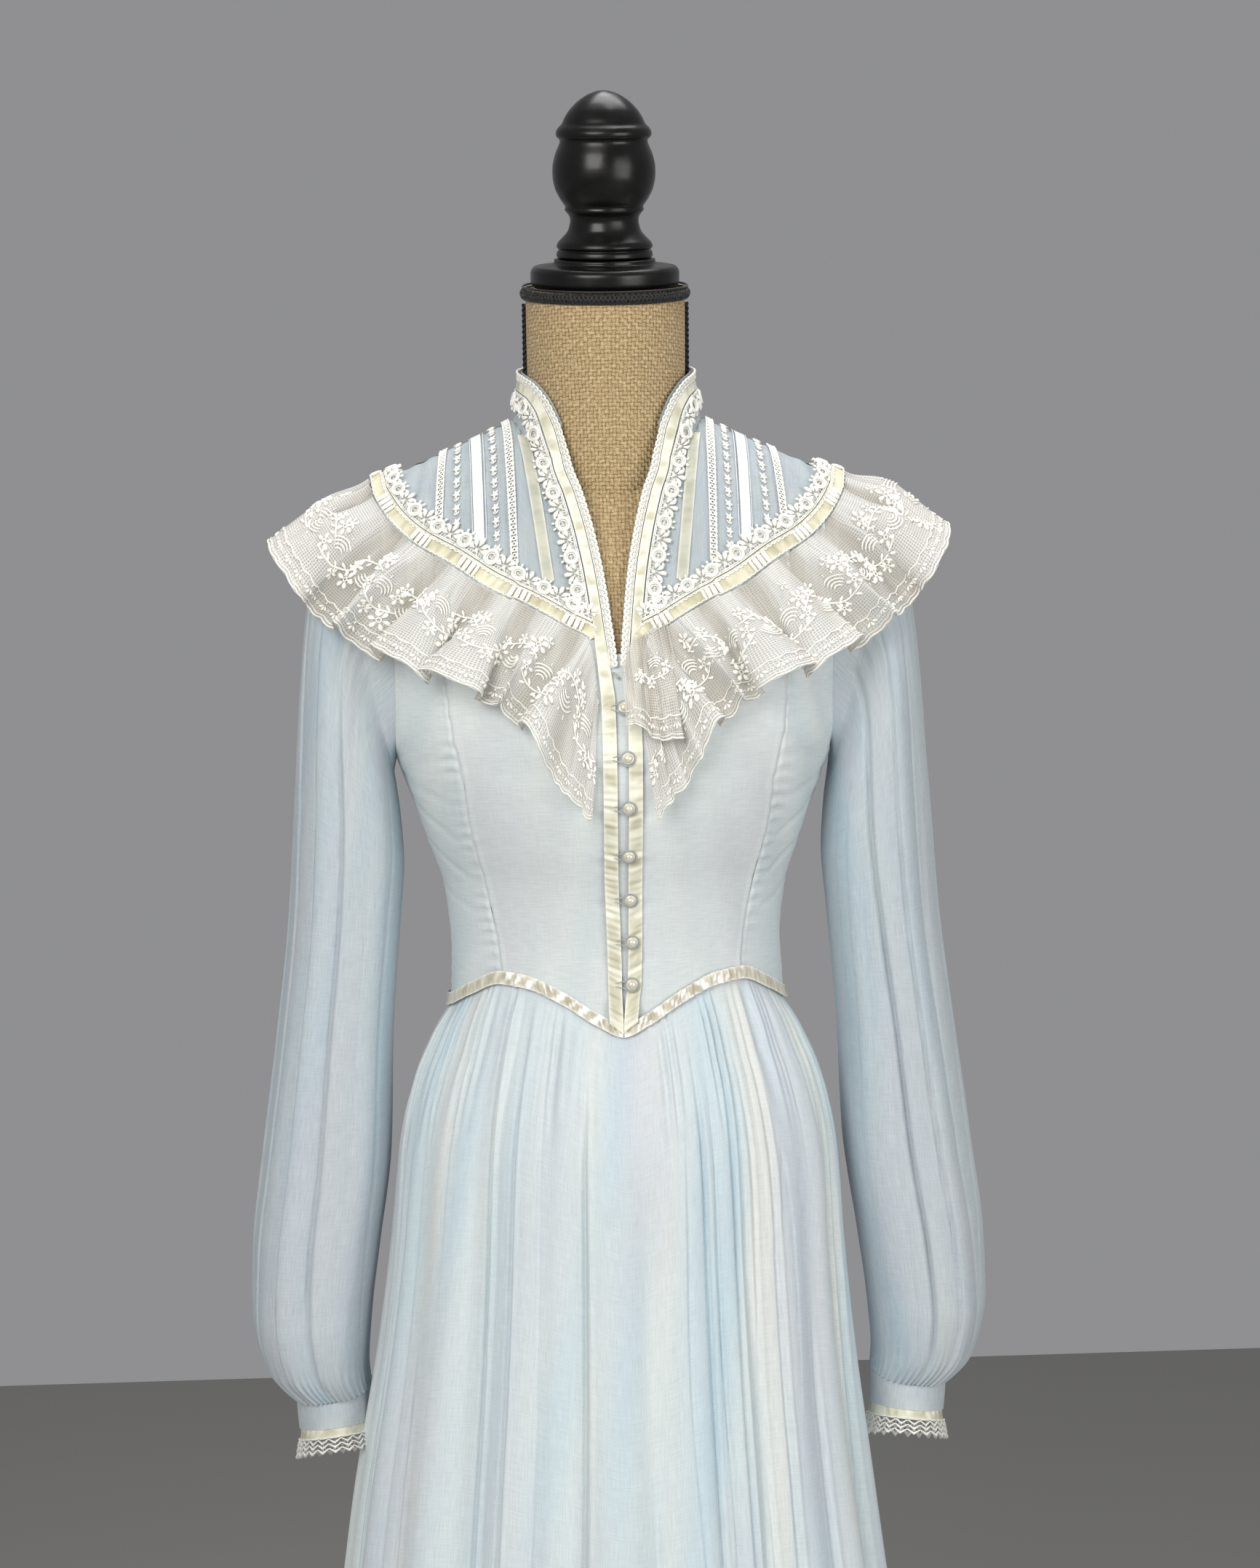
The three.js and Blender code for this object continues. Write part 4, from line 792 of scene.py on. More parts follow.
@dataclass(frozen=True)
class Satin(Finish):
    """Double-faced satin ribbon: a smooth float face, with painted shine and painted shade in soft bands along it."""

    shade: str = "#CAC7AF"
    # pale: the selvages' own colour, also used for painted highlights on the crinkles
    pale: str = "#FBF9EE"

    def pattern(self, tree: Tree, shader: Node) -> None:
        """Paints shade on the ribbon in soft lengths, pales it by its tone and draws its fine floats.

        Args:
            tree: the material's node tree.
            shader: its surface shader.
        """
        # soft lengths of painted shade and shine, mixed between the shade colour and the ribbon's own
        length = node(tree, RANGE, [self.marks(tree, 30, 13), 0.38, 0.58, 0, 1])
        tone = node(tree, ATTRIBUTE, attribute_name="tone").outputs["Fac"]
        shaded = node(tree, MIX, {0: length, 6: linear(self.shade), 7: linear(self.colour)},
                      **COLOURS).outputs[2]
        # the tone pales the selvages and paints highlights on the crinkles
        lit = node(tree, MIX, {0: tone, 6: shaded, 7: linear(self.pale)}, **COLOURS).outputs[2]
        raised = node(tree, BUMP, {"Height": self.marks(tree, 9, 1.1), "Strength": 0.3, "Distance": 0.3 * MM})
        node(tree, shader, {"Base Color": lit, "Anisotropic": 0.45, "Normal": raised})


@dataclass(frozen=True)
class CottonLace(Finish):
    """Mercerised cotton thread, satin-stitched thickly: matt white with soft ridges of thread."""

    shade: str = "#E2E1D8"

    def pattern(self, tree: Tree, shader: Node) -> None:
        """Breaks the white up by threads.

        Args:
            tree: the material's node tree.
            shader: its surface shader.
        """
        thread = self.marks(tree, 1.4, 1.4, 3.0)
        share = node(tree, RANGE, [thread, 0.35, 0.6, 0, 1])
        white = node(tree, MIX, {0: share, 6: linear(self.shade), 7: linear(self.colour)},
                     **COLOURS).outputs[2]
        raised = node(tree, BUMP, {"Height": thread, "Strength": 0.25, "Distance": 0.4 * MM})
        node(tree, shader, {"Base Color": white, "Normal": raised})


@dataclass(frozen=True)
class Net(Finish):
    """Machine-made net: twisted threads round open meshes of 1.7 mm, coarse enough to show."""

    shade: str = "#CFC8BA"
    mesh: float = 1.7
    ground: float = 0.42  # how much an open mesh hides, with its finest threads taken together

    def pattern(self, tree: Tree, shader: Node) -> None:
        """Opens the meshes and mixes in its shade colour by its tone: painted shade in the folds' troughs, where the
        net also lies double.

        Args:
            tree: the material's node tree.
            shader: its surface shader.
        """
        cloth = node(tree, "ShaderNodeUVMap", uv_map="cloth")
        scale = 1000 / self.mesh
        place = node(tree, MAPPING, {"Vector": cloth, "Scale": (scale, scale, 1)})
        edge = node(tree, "ShaderNodeTexVoronoi", {"Vector": place, "Scale": 1.0, "Randomness": 0.25},
                    voronoi_dimensions="2D", feature="DISTANCE_TO_EDGE").outputs["Distance"]
        hidden = node(tree, RANGE, [edge, 0.06, 0.2, 0.92, self.ground])
        tone = node(tree, ATTRIBUTE, attribute_name="tone").outputs["Fac"]
        shaded = node(tree, MIX, {0: tone, 6: linear(self.shade), 7: linear(self.colour)},
                      **COLOURS).outputs[2]
        node(tree, shader, {"Base Color": shaded, "Alpha": hidden})


@dataclass(frozen=True)
class Burlap(Finish):
    """Coarse plain-woven jute. Real threads are 1.3 mm apart; they are drawn at 2.4 mm so that they show."""

    gap: str = "#7A6039"
    light: str = "#D6C296"
    spacing: float = 2.4

    def pattern(self, tree: Tree, shader: Node) -> None:
        """Weaves each thread over one and under the next, with a dark gap at each corner.

        Args:
            tree: the material's node tree.
            shader: its surface shader.
        """
        cloth = node(tree, "ShaderNodeUVMap", uv_map="cloth")
        sway = node(tree, NOISE, {"Vector": cloth, "Scale": 90.0, "Detail": 1.0}).outputs["Color"]
        bent = node(tree, "ShaderNodeVectorMath", [sway, (0.0022, 0.0022, 0), cloth],
                    operation="MULTIPLY_ADD")
        parts = node(tree, "ShaderNodeSeparateXYZ", [bent]).outputs
        threads, rises = [], []
        for part in (parts[0], parts[1]):
            turn = node(tree, "ShaderNodeMath", [part, math.pi * 1000 / self.spacing], operation="MULTIPLY")
            threads.append(node(tree, "ShaderNodeMath", [turn], operation="SINE"))
            rises.append(node(tree, "ShaderNodeMath", [threads[-1]], operation="ABSOLUTE"))
        over = node(tree, "ShaderNodeMath", threads, operation="MULTIPLY")
        over = node(tree, "ShaderNodeMath", [over, 0.0], operation="GREATER_THAN")
        height = node(tree, MIX, {0: over, 2: rises[1], 3: rises[0]})
        share = node(tree, RANGE, [height, 0.1, 0.55, 0, 1])
        thread = node(tree, MIX, {0: share, 6: linear(self.gap), 7: linear(self.colour)},
                      **COLOURS).outputs[2]
        fleck = node(tree, RANGE, [self.marks(tree, 2.6, 2.6, 3.0), 0.45, 0.75, 0, 0.9])
        jute = node(tree, MIX, {0: fleck, 6: thread, 7: linear(self.light)}, **COLOURS).outputs[2]
        raised = node(tree, BUMP, {"Height": height, "Strength": 0.8, "Distance": 0.9 * MM})
        node(tree, shader, {"Base Color": jute, "Normal": raised})


@dataclass(frozen=True)
class Lacquer(Finish):
    """Black lacquer over turned wood or steel: a satin film, faint turning lines and duller places."""

    rings: float = 1.6

    def pattern(self, tree: Tree, shader: Node) -> None:
        """Varies the gloss and draws the turning lines.

        Args:
            tree: the material's node tree.
            shader: its surface shader.
        """
        place = node(tree, "ShaderNodeTexCoord").outputs["Object"]
        stretched = node(tree, MAPPING, {"Vector": place, "Scale": (14, 14, 1000 / self.rings)})
        lines = node(tree, NOISE, {"Vector": stretched, "Scale": 1.0, "Detail": 2.0})
        worn = node(tree, NOISE, {"Vector": place, "Scale": 70.0, "Detail": 3.0})
        gloss = node(tree, RANGE, [worn, 0.35, 0.7, self.roughness * 0.8, self.roughness * 1.3])
        raised = node(tree, BUMP, {"Height": lines, "Strength": 0.12, "Distance": 0.15 * MM})
        node(tree, shader, {"Roughness": gloss, "Specular IOR Level": 0.32, "Normal": raised})


@dataclass(frozen=True)
class Gimp(Finish):
    """Black rayon gimp, spun tightly round a core, with a low silky shine."""

    shade: str = "#08080B"

    def pattern(self, tree: Tree, shader: Node) -> None:
        """Ridges the cord with its thread.

        Args:
            tree: the material's node tree.
            shader: its surface shader.
        """
        place = node(tree, "ShaderNodeTexCoord").outputs["Object"]
        thread = node(tree, NOISE, {"Vector": place, "Scale": 900.0, "Detail": 2.0})
        spun = node(tree, MIX, {0: thread, 6: linear(self.shade), 7: linear(self.colour)},
                    **COLOURS).outputs[2]
        raised = node(tree, BUMP, {"Height": thread, "Strength": 0.6, "Distance": 0.5 * MM})
        node(tree, shader, {"Base Color": spun, "Normal": raised})


@dataclass(frozen=True)
class Pearl(Finish):
    """Moulded imitation pearl: an ivory body under a clear lustre coat, with faint clouds."""

    shade: str = "#D6D1BE"

    def pattern(self, tree: Tree, shader: Node) -> None:
        """Clouds the lustre.

        Args:
            tree: the material's node tree.
            shader: its surface shader.
        """
        place = node(tree, "ShaderNodeTexCoord").outputs["Object"]
        cloud = node(tree, NOISE, {"Vector": place, "Scale": 420.0, "Detail": 1.0})
        lustre = node(tree, MIX, {0: cloud, 6: linear(self.shade), 7: linear(self.colour)},
                      **COLOURS).outputs[2]
        node(tree, shader, {"Base Color": lustre, "Metallic": 0.25, "Subsurface Weight": 0.1,
                            "Subsurface Scale": 0.5 * MM})


class Goods(Enum):
    """Everything that the dress and its form are made of: the record's slot and the finish."""

    LAWN = ("blue_voile", Voile("lined cotton voile", "#DBE1E0", 0.85, 0.12, deep="#CBD6DA", tint="#D1D4D9",
                                crosswise=0.6, contrast=0.06))
    SKIRT = ("blue_voile", Voile("gathered cotton voile", "#DEE1DD", 0.85, 0.12, deep="#B9D0DD",
                                 tint="#CFD1D9",
                                 crosswise=0.4, contrast=0.07, cloud=(85.0, 420.0)))
    SHEER = ("blue_voile", Voile("single cotton voile", "#CFD5D7", 0.85, 0.1, 0.86, deep="#ABC5D5",
                                 tint="#C6CAD2", crosswise=0.35))
    YOKE = ("blue_voile", Voile("sheer yoke voile", "#BDC5C7", 0.85, 0.1, 0.88, deep="#A9B9C3",
                                tint="#BDC2C9",
                                crosswise=0.4))
    SATIN = ("cream_satin", Satin("cream satin ribbon", "#EFEEDC", 0.36, 0.1))
    # a darker copy of the cream satin: painted shade, for the ribbon threaded under the ruffle
    THREADED = ("cream_satin", Satin("shaded cream ribbon", "#E2DEC4", 0.38, 0.1, shade="#C2BD9E"))
    WHITE_SATIN = ("cream_satin", Satin("pale satin ribbon", "#D9D3BF", 0.3, 0.1, shade="#BFB8A3",
                                        pale="#FFFFFB"))
    SHEER_RIBBON = ("cream_satin", Satin("cream organza ribbon", "#DAD8C6", 0.45, 0.1, 0.8, shade="#C2C2B2"))
    LACE = ("white_lace", CottonLace("white cotton lace", "#FBFAF4", 0.75, 0.3, shade="#EFEEE6"))
    STITCH = ("white_lace", CottonLace("white stitching", "#F4F6F6", 0.7, 0.1, shade="#DDE3E8"))
    MESH = ("white_lace", Net("cotton lace mesh", "#F4F5F1", 0.8, 0.1, shade="#EDEDE8", mesh=2.2, ground=0.4))
    NET = ("ivory_net", Net("ivory net", "#E4E2DE", 0.8, 0.1, shade="#C4BDB2"))
    SPRIG = ("ivory_net", CottonLace("ivory net embroidery", "#FFFEFA", 0.75, 0.3, shade="#F2EFE6"))
    PEARL = ("pearl", Pearl("imitation pearl", "#EFEBDD", 0.22, coat=0.6))
    LOOP = ("pearl", Finish("grey buttonhole thread", "#A9AEAE", 0.6))
    BURLAP = ("burlap", Burlap("woven jute burlap", "#B89E76", 0.9, 0.1))
    WOOD = ("black_wood", Lacquer("black lacquered beech", "#0A0A09", 0.3, coat=0.1))
    BRAID = ("black_braid", Gimp("black gimp braid", "#17171D", 0.55, 0.15))
    STEEL = ("black_metal", Lacquer("black powder-coated steel", "#161618", 0.5))

    @property
    def slot(self) -> str:
        """The record's material slot."""
        return self.value[0]

    @property
    def material(self) -> bpy.types.Material:
        """The material, made the first time it is asked for."""
        finish = self.value[1]
        return bpy.data.materials.get(finish.name) or finish.make()


def dress_piece(made: Piece, goods: Goods, *stands_for: str) -> Piece:
    """Finishes a piece: its material, its body, its slot and the solids it stands for.

    Args:
        made: the object.
        goods: what it is made of.
        stands_for: the solids that it replaces.

    Returns:
        The object.
    """
    made.data.materials.append(goods.material)
    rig.ride(made, "root")
    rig.slot(made, goods.slot)
    if stands_for:
        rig.replaces(made, *stands_for)
    LOG.info("%s, of %s", made.name, goods.name.lower())
    return made


# ------------ tables

BODY = Table(
    "z half front back arm",
    [850, 118, 74, 90, 118], [868, 136, 84, 103, 136], [900, 141, 88, 107, 141], [940, 138, 86, 104, 138],
    [980, 129, 82, 97, 129], [1010, 119, 81, 89, 119], [1035, 111, 81, 84, 111], [1060, 107.5, 82, 82, 107.5],
    [1085, 107, 84, 84, 107], [1110, 109, 89, 87, 109], [1130, 112, 95, 90, 112], [1156, 121, 106, 94, 121],
    [1180, 129.5, 114, 98, 129.5], [1200, 137, 117, 101, 137], [1212, 141.2, 117, 102, 141.2],
    [1225, 146, 115, 103, 140.2], [1250, 152, 107, 104, 139], [1290, 163, 92, 103, 140],
    [1320, 168, 80, 99, 143], [1350, 172, 70, 92, 147], [1380, 175, 64, 82, 150], [1400, 176, 61, 74, 152],
    [1432, 177, 57, 64, 154])
WAIST = Table(
    "angle z",
    [0, 1038], [8, 1045], [20, 1059], [33, 1069], [44, 1071], [60, 1062], [78, 1052], [90, 1050], [120, 1053],
    [150, 1055], [180, 1055])
PRINCESS = Table(
    "z angle",
    [1050, 44.5], [1070, 45], [1100, 47], [1130, 49], [1168, 48.5], [1200, 46], [1240, 45], [1300, 43.5],
    [1350, 41.5], [1380, 40])
RUFFLE_FRONT = Table(
    "at x z",
    [0, 8, 1243], [0.09, 9.5, 1266], [0.18, 14, 1288], [0.25, 30, 1298], [0.35, 52, 1311], [0.46, 76, 1323],
    [0.575, 100, 1339], [0.68, 122, 1352], [0.76, 137, 1366], [0.84, 147, 1381])
RUFFLE_BACK = Table(
    "at x z",
    [1.2, 147, 1381], [1.31, 136, 1363], [1.44, 112, 1349], [1.62, 76, 1340], [1.81, 38, 1335],
    [2, 0.4, 1333])
RUFFLE_FALL = Table(
    "at out forward down",
    [0, 5, 9, 71], [0.09, 15, 15, 72], [0.18, 26, 25, 61], [0.27, 30, 26, 54], [0.35, 34, 24, 55],
    [0.46, 37, 21, 56], [0.575, 42, 20, 58], [0.68, 51, 18, 50], [0.76, 60, 14, 40], [0.86, 66, 7, 32],
    [1, 69, 0, 28], [1.17, 66, -7, 32], [1.31, 58, -14, 42], [1.44, 45, -17, 56], [1.62, 29, -18, 66],
    [1.81, 15, -19, 70], [2, 0, -19, 72])
RUFFLE_WAVES = Table(
    "at high lean",
    [0.04, 7, 0], [0.17, 13, 13], [0.29, 8, -12], [0.4, 13, 15], [0.54, 11, 13], [0.66, 13, -14],
    [0.8, 11, 14],
    [0.92, 11, 9], [1.05, 9, -9], [1.2, 11, -12], [1.36, 9, 11], [1.48, 12, -12], [1.63, 9, 12],
    [1.77, 12, -12],
    [1.9, 9, 8], [1.98, 7, 0])
NECK_EDGE = Table("z x", [1268, 0.6], [1300, 3.6], [1327, 7], [1355, 12.3], [1380, 18.8], [1401, 24.5])
COLLAR = Table(
    "angle top foot",
    [26, 1401, 1396], [33, 1422, 1402], [45, 1442, 1408], [60, 1453, 1417], [90, 1461, 1430.5],
    [130, 1467, 1427], [180, 1470, 1423])
SLEEVE = Table(
    "at outX outZ inX inZ deep midY fold",
    [0, 152, 1386, 142, 1211, 46, 0, 0], [1, 176, 1366, 143.8, 1201, 43, 1, 1.2],
    [2, 196, 1318, 142.6, 1191, 49, 2, 2.4], [3, 203, 1250, 140.5, 1172, 55, 4, 4],
    [4, 207, 1185, 139, 1142, 55, 6, 5], [5, 212, 1108, 143, 1096, 54, 9, 5.5],
    [6, 222, 1026, 149, 1026, 55, 11, 6], [7, 233, 950, 152, 950, 58, 13, 6.5],
    [8, 242, 885, 161, 885, 61, 15, 6], [9, 244, 840, 167, 842, 60, 16, 5],
    [10, 236, 802, 170, 805, 51, 17, 3], [11, 219, 783, 168.5, 789, 39.5, 17, 1.2])
SKIRT = Table(
    "z half front back",
    [30, 247, 214, 226], [200, 231, 198, 208], [400, 211, 174, 185], [560, 192, 154, 166],
    [672, 175, 138, 150],
    [730, 167, 131, 143], [812, 157, 122, 134], [886, 151, 116, 128], [923, 148.5, 114, 125],
    [952, 145.5, 112, 122], [980, 140, 108, 117], [1004, 133, 102, 110], [1026, 125, 95, 101],
    [1070, 116, 86, 88])
SKIRT_FOLDS = np.array([
    [-158, 7, 6], [-134, 6, 5], [-112, 8, 6], [-94, 5, 4], [-77, 6, 5], [-58, 5, 3.5], [-39, 6, 6],
    [-24, 4, 3],
    [-13, 4, 5], [5, 4, 6], [12, 3, 4], [22, 5, 5], [35, 6, 5], [52, 6, 4], [70, 6, 5], [91, 6, 5],
    [115, 8, 6], [137, 6, 4], [162, 8, 6]], float)  # angle, half width in degrees, depth
KNIFE_FOLDS = np.array([
    [-77, 0.8, 4, 60], [-58, 0.7, 2.5, 220], [-37.7, 0.55, 4.5, 5], [-30.6, 0.5, 3.5, 5], [-24, 0.6, 2, 260],
    [-11.7, 0.55, 4.5, 8], [5, 0.6, 2.2, 250], [19.2, 0.55, 4.5, 5], [28.2, 0.55, 4.5, 5],
    [33, 0.45, 2.2, 10],
    [39, 0.55, 4, 5], [52, 0.7, 3, 200], [70, 0.9, 4, 90], [112, 1.2, 5, 80], [138, 1.0, 4, 160],
    [165, 1.1, 5, 60], [-112, 1.2, 5, 80], [-136, 1.0, 4, 160],
    [-160, 1.1, 5, 60]])  # angle, width, depth, start
YOKE_STRIPS = {"cream_ribbon": (55, 42, 7.3), "eyelet_inner": (66, 63, 5.7), "white_band": (85.6, 84.7, 10.4),
               "eyelet_outer": (106, 110, 5.7)}  # middle at the shoulder line, middle at the ruffle, width
STAR_STRIPS = ((75.5, 73.8), (96.8, 99.2))
FRONT_RIBBON = Table(
    "z left right",
    [1050, -4.9, 6], [1074, -4.9, 7.4], [1106, -5.6, 8], [1142, -6.8, 8], [1184, -7.2, 8.2],
    [1226, -7.2, 8.6],
    [1262, -7.4, 8.8])
BUTTONS = ((1068, 5.3, 0.75), (1096, 5.8, 0.75), (1124, 4.8, 0.75), (1153, 3.8, 0.6), (1183, 3.8, 0.5),
           (1213, 3.6, 0.1), (1243, 2.2, 0))


# ------------ the figure


class Figure:
    """The surface that the form, the bodice and the yoke share."""

    roll = 85.0
    neck = 52.0

    @staticmethod
    def ridge(x: Sizes) -> Array:
        """Height of the shoulder line at x."""
        out = np.maximum(0, np.abs(x) - 63) / 88
        return 1427 - 38 * (out + 0.12 * out * (1 - out))

    @classmethod
    def roll_at(cls, drop: Sizes) -> Array:
        """How far the shoulder has rolled over at a drop below its ridge."""
        return np.sqrt(1 - np.clip(1 - drop / cls.roll, 0, 1) ** 2)

    @staticmethod
    def middle(z: Sizes) -> Sizes:
        """Y of the body's middle, which moves back towards the neck."""
        return 6 * ease(z, 1230, 1400)

    @classmethod
    def y(cls, x: Sizes, z: Sizes, side: Sizes, roll: Sizes) -> Array:
        """The surface at x and z, in front (side -1) or behind (side 1).

        Args:
            x: place along X.
            z: height.
            side: -1 in front, 1 behind.
            roll: the shoulder's roll, 0 at its ridge and 1 below it.

        Returns:
            Y of the surface.
        """
        depth = np.where(side < 0, BODY.at(z, "front"), BODY.at(z, "back"))
        chest = depth * np.sqrt(np.maximum(0, 1 - (x / BODY.at(z, "half")) ** 2)) * roll
        neck = np.sqrt(np.maximum(0, cls.neck ** 2 - x ** 2)) * ease(z, 1330, 1400)
        joined = np.log(np.exp(chest / 9) + np.exp(neck / 9) - 1) * 9
        return Figure.middle(z) + side * np.where(z > 1330, joined, chest)

    @classmethod
    def by_angle(cls, degrees: Sizes, z: Sizes) -> Array:
        """Points by angle from the front middle and height.

        Args:
            degrees: angle from the front middle.
            z: height.

        Returns:
            The points.
        """
        turn = np.radians(degrees)
        x = BODY.at(z, "half") * np.sin(turn)
        side = np.where(np.cos(turn) >= 0, -1, 1)
        return point(x, cls.y(x, z, side, cls.roll_at(np.maximum(0, cls.ridge(x) - z))), z)

    @classmethod
    def over(cls, x: Sizes, length: Sizes) -> Array:
        """Points by x and the length down from the shoulder line, negative in front.

        Args:
            x: place along X.
            length: length from the shoulder line, negative in front.

        Returns:
            The points.
        """
        run = np.minimum(np.abs(length), cls.roll * np.pi / 2)
        drop = cls.roll * (1 - np.cos(run / cls.roll)) + np.abs(length) - run
        z = cls.ridge(x) - drop
        return point(x, cls.y(x, z, np.where(np.asarray(length) < 0, -1, 1), np.sin(run / cls.roll)), z)

    @classmethod
    def length(cls, x: Sizes, z: Sizes) -> Array:
        """Length down from the shoulder line to the height z at x.

        Args:
            x: place along X.
            z: height.

        Returns:
            The length.
        """
        drop = np.maximum(0, cls.ridge(x) - z)
        curved = cls.roll * np.arccos(np.clip(1 - drop / cls.roll, 0, 1))
        return np.where(drop > cls.roll, cls.roll * np.pi / 2 + drop - cls.roll, curved)

    @classmethod
    def on_side(cls, x: Sizes, z: Sizes, side: int) -> Array:
        """Points by x and z on one side."""
        return cls.over(x, side * np.maximum(cls.length(x, z), 0.25))

    @staticmethod
    def degrees(x: Sizes, z: Sizes) -> Array:
        """Angle from the front middle at x and z."""
        return np.degrees(np.arcsin(np.minimum(1, x / BODY.at(z, "half"))))


class RuffleLine:
    """The line that the ruffle hangs from, by its share from the front (0) to the back middle (2)."""

    front = Table("x z", *[row[1:] for row in RUFFLE_FRONT.data if row[2] > 1287])
    back = Table("x z", *[row[1:] for row in RUFFLE_BACK.data[::-1]])

    @classmethod
    def height(cls, x: Sizes, side: int) -> Array:
        """Height of the line over x."""
        return (cls.front if side < 0 else cls.back).at(np.abs(x), "z")

    @staticmethod
    def base(at: Sizes) -> tuple[Array, Array]:
        """x and the length from the shoulder line at a share.

        Args:
            at: share along the line.

        Returns:
            x and the length.
        """
        ends = []
        for path, side in ((RUFFLE_FRONT, -1), (RUFFLE_BACK, 1)):
            x = path.at(at, "x")
            ends.append((x, side * Figure.length(x, path.at(at, "z"))))
        edge = Figure.length(147, 1381)
        share = np.clip((at - 0.84) / 0.36, 0, 1)
        over = (147 + 2.2 * np.sin(np.pi * share), mix(-edge, edge, share))
        return tuple(np.where(at <= 0.84, a, np.where(at >= 1.2, b, c)) for a, b, c in zip(*ends, over))

    @classmethod
    def beside(cls, at: Sizes, across: Sizes) -> Array:
        """Points at a share along the line and a distance above it.

        Args:
            at: share along the line.
            across: distance from the line.

        Returns:
            The points.
        """
        x, length = cls.base(at)
        (x0, l0), (x1, l1) = cls.base(np.maximum(0, at - 0.01)), cls.base(np.minimum(2, at + 0.01))
        size = np.hypot(x1 - x0, l1 - l0)
        return Figure.over(np.maximum(0.35, x - across * (l1 - l0) / size),
                           length + across * (x1 - x0) / size)

    @classmethod
    def chart(cls, side: Side, start: float, end: float, near: float, far: float, lift: float,
              rows: int = 400, columns: int = 9) -> Chart:
        """A strip beside the line, raised where it turns over the shoulder tip.

        Args:
            side: the side of the body.
            start: where it begins.
            end: where it ends.
            near: distance of its near edge.
            far: distance of its far edge.
            lift: height above the surface.
            rows: corners along it.
            columns: corners across it.

        Returns:
            The strip.
        """
        at, across = np.linspace(start, end, rows)[:, None], np.linspace(near, far, columns)[None, :]
        flat = Chart(cls.beside(at, across))
        return Chart(mirrored(flat.lifted(lift + 2 * cls.tip(at)).points, side))

    @staticmethod
    def tip(at: Sizes) -> Array:
        """Near 1 at the shoulder tip and 0 away from it."""
        return bell(at, 1, 0.22)


class NeckBand:
    """The band beside the neck edge: 0 at the V's point, 1 at the collar and 2 at the back middle."""

    @staticmethod
    def radius(angle: Sizes, z: Sizes) -> Array:
        """Radius of the stand collar by angle and height.

        Args:
            angle: angle round the neck.
            z: height.

        Returns:
            The radius.
        """
        flared = 54.2 + 5.5 * ease(COLLAR.at(angle, "top") - z, 0, 36)
        angle, z, flared = np.broadcast_arrays(angle, z, flared)
        turn = np.radians(angle)
        near, far = np.full(angle.shape, 48.0), np.full(angle.shape, 90.0)
        for _ in range(24):
            r = (near + far) / 2
            x = r * np.sin(turn)
            roll = Figure.roll_at(np.maximum(0, Figure.ridge(x) - z))
            y = 6 - r * np.cos(turn)
            inside = np.where(angle < 90, y > Figure.y(x, z, -1, roll), y < Figure.y(x, z, 1, roll))
            near, far = np.where(inside, r, near), np.where(inside, far, r)
        hugging = ease(angle, 96, 122) * ease(COLLAR.at(angle, "top") - z, 8, 40)
        return np.where(angle >= 84, mix(flared, near + 0.6, hugging), np.maximum(flared, near + 0.6))

    @classmethod
    def collar(cls, angle: Sizes, z: Sizes) -> Array:
        """Collar points by angle round the neck and height."""
        r = cls.radius(angle, z)
        return point(r * np.sin(np.radians(angle)), 6 - r * np.cos(np.radians(angle)), z)

    @classmethod
    def beside(cls, at: Sizes, across: Sizes) -> Array:
        """Points at a share along the band and a distance from the neck edge.

        Args:
            at: share along the line.
            across: distance from the line.

        Returns:
            The points.
        """
        z = mix(1268, 1401, np.clip(at, 0, 1))
        slope = (NECK_EDGE.at(z + 1, "x") - NECK_EDGE.at(z - 1, "x")) / 2
        run = np.hypot(1, slope)
        yoke = Figure.on_side(NECK_EDGE.at(z, "x") + across / run, z - across * slope / run, -1)
        angle = mix(33, 180, np.clip((at - 1.12) / 0.88, 0, 1))
        arc = math.radians(1) * 56
        slope = (COLLAR.at(np.minimum(angle + 1, 180), "top") - COLLAR.at(angle - 1, "top")) / (2 * arc)
        run = np.hypot(1, slope)
        collar = cls.collar(np.minimum(180, angle + across * slope / run / arc),
                            COLLAR.at(angle, "top") - across / run)
        return mix(yoke, collar, np.clip((at - 1) / 0.12, 0, 1)[..., None])

    @classmethod
    def chart(cls, side: Side, start: float, end: float, near: float, far: float, lift: float,
              rows: int = 260, columns: int = 9) -> Chart:
        """A strip beside the neck edge."""
        at, across = np.linspace(start, end, rows)[:, None], np.linspace(near, far, columns)[None, :]
        return Chart(mirrored(Chart(cls.beside(at, across)).lifted(lift).points, side))


# ------------ the dress form


def to_neck_top(points: Array, lift: float) -> Array:
    """Points turned about Z, lifted and laid onto the neck's top, which leans forward.

    Args:
        points: points of a piece that stands at the origin.
        lift: how far they are lifted.

    Returns:
        The moved points.
    """
    c, s = math.cos(math.radians(NECK_TILT)), math.sin(math.radians(NECK_TILT))
    x, y, z = points[..., 0], points[..., 1], points[..., 2] + lift
    return point(x, y * c - z * s, y * s + z * c + NECK_TOP)


def lathe(name: str, profile: Sequence[tuple[float, float]], around: int = 96,
          lift: float | None = None) -> Piece:
    """A turned piece from its profile of radius and height.

    Args:
        name: the object's name.
        profile: radius and height, from its underside up.
        around: corners round it.
        lift: if given, the piece stands on the leaning neck, lifted this far.

    Returns:
        The object.
    """
    radius, height = np.array(profile, float).T
    turn = np.arange(around) * 2 * np.pi / around
    corners = point(radius[:, None] * np.cos(turn), radius[:, None] * np.sin(turn),
                    height[:, None] + 0 * turn)
    if lift is not None:
        corners = to_neck_top(corners, lift)
    return make_mesh(name, corners.reshape(-1, 3), grid_faces(len(radius), around, True))


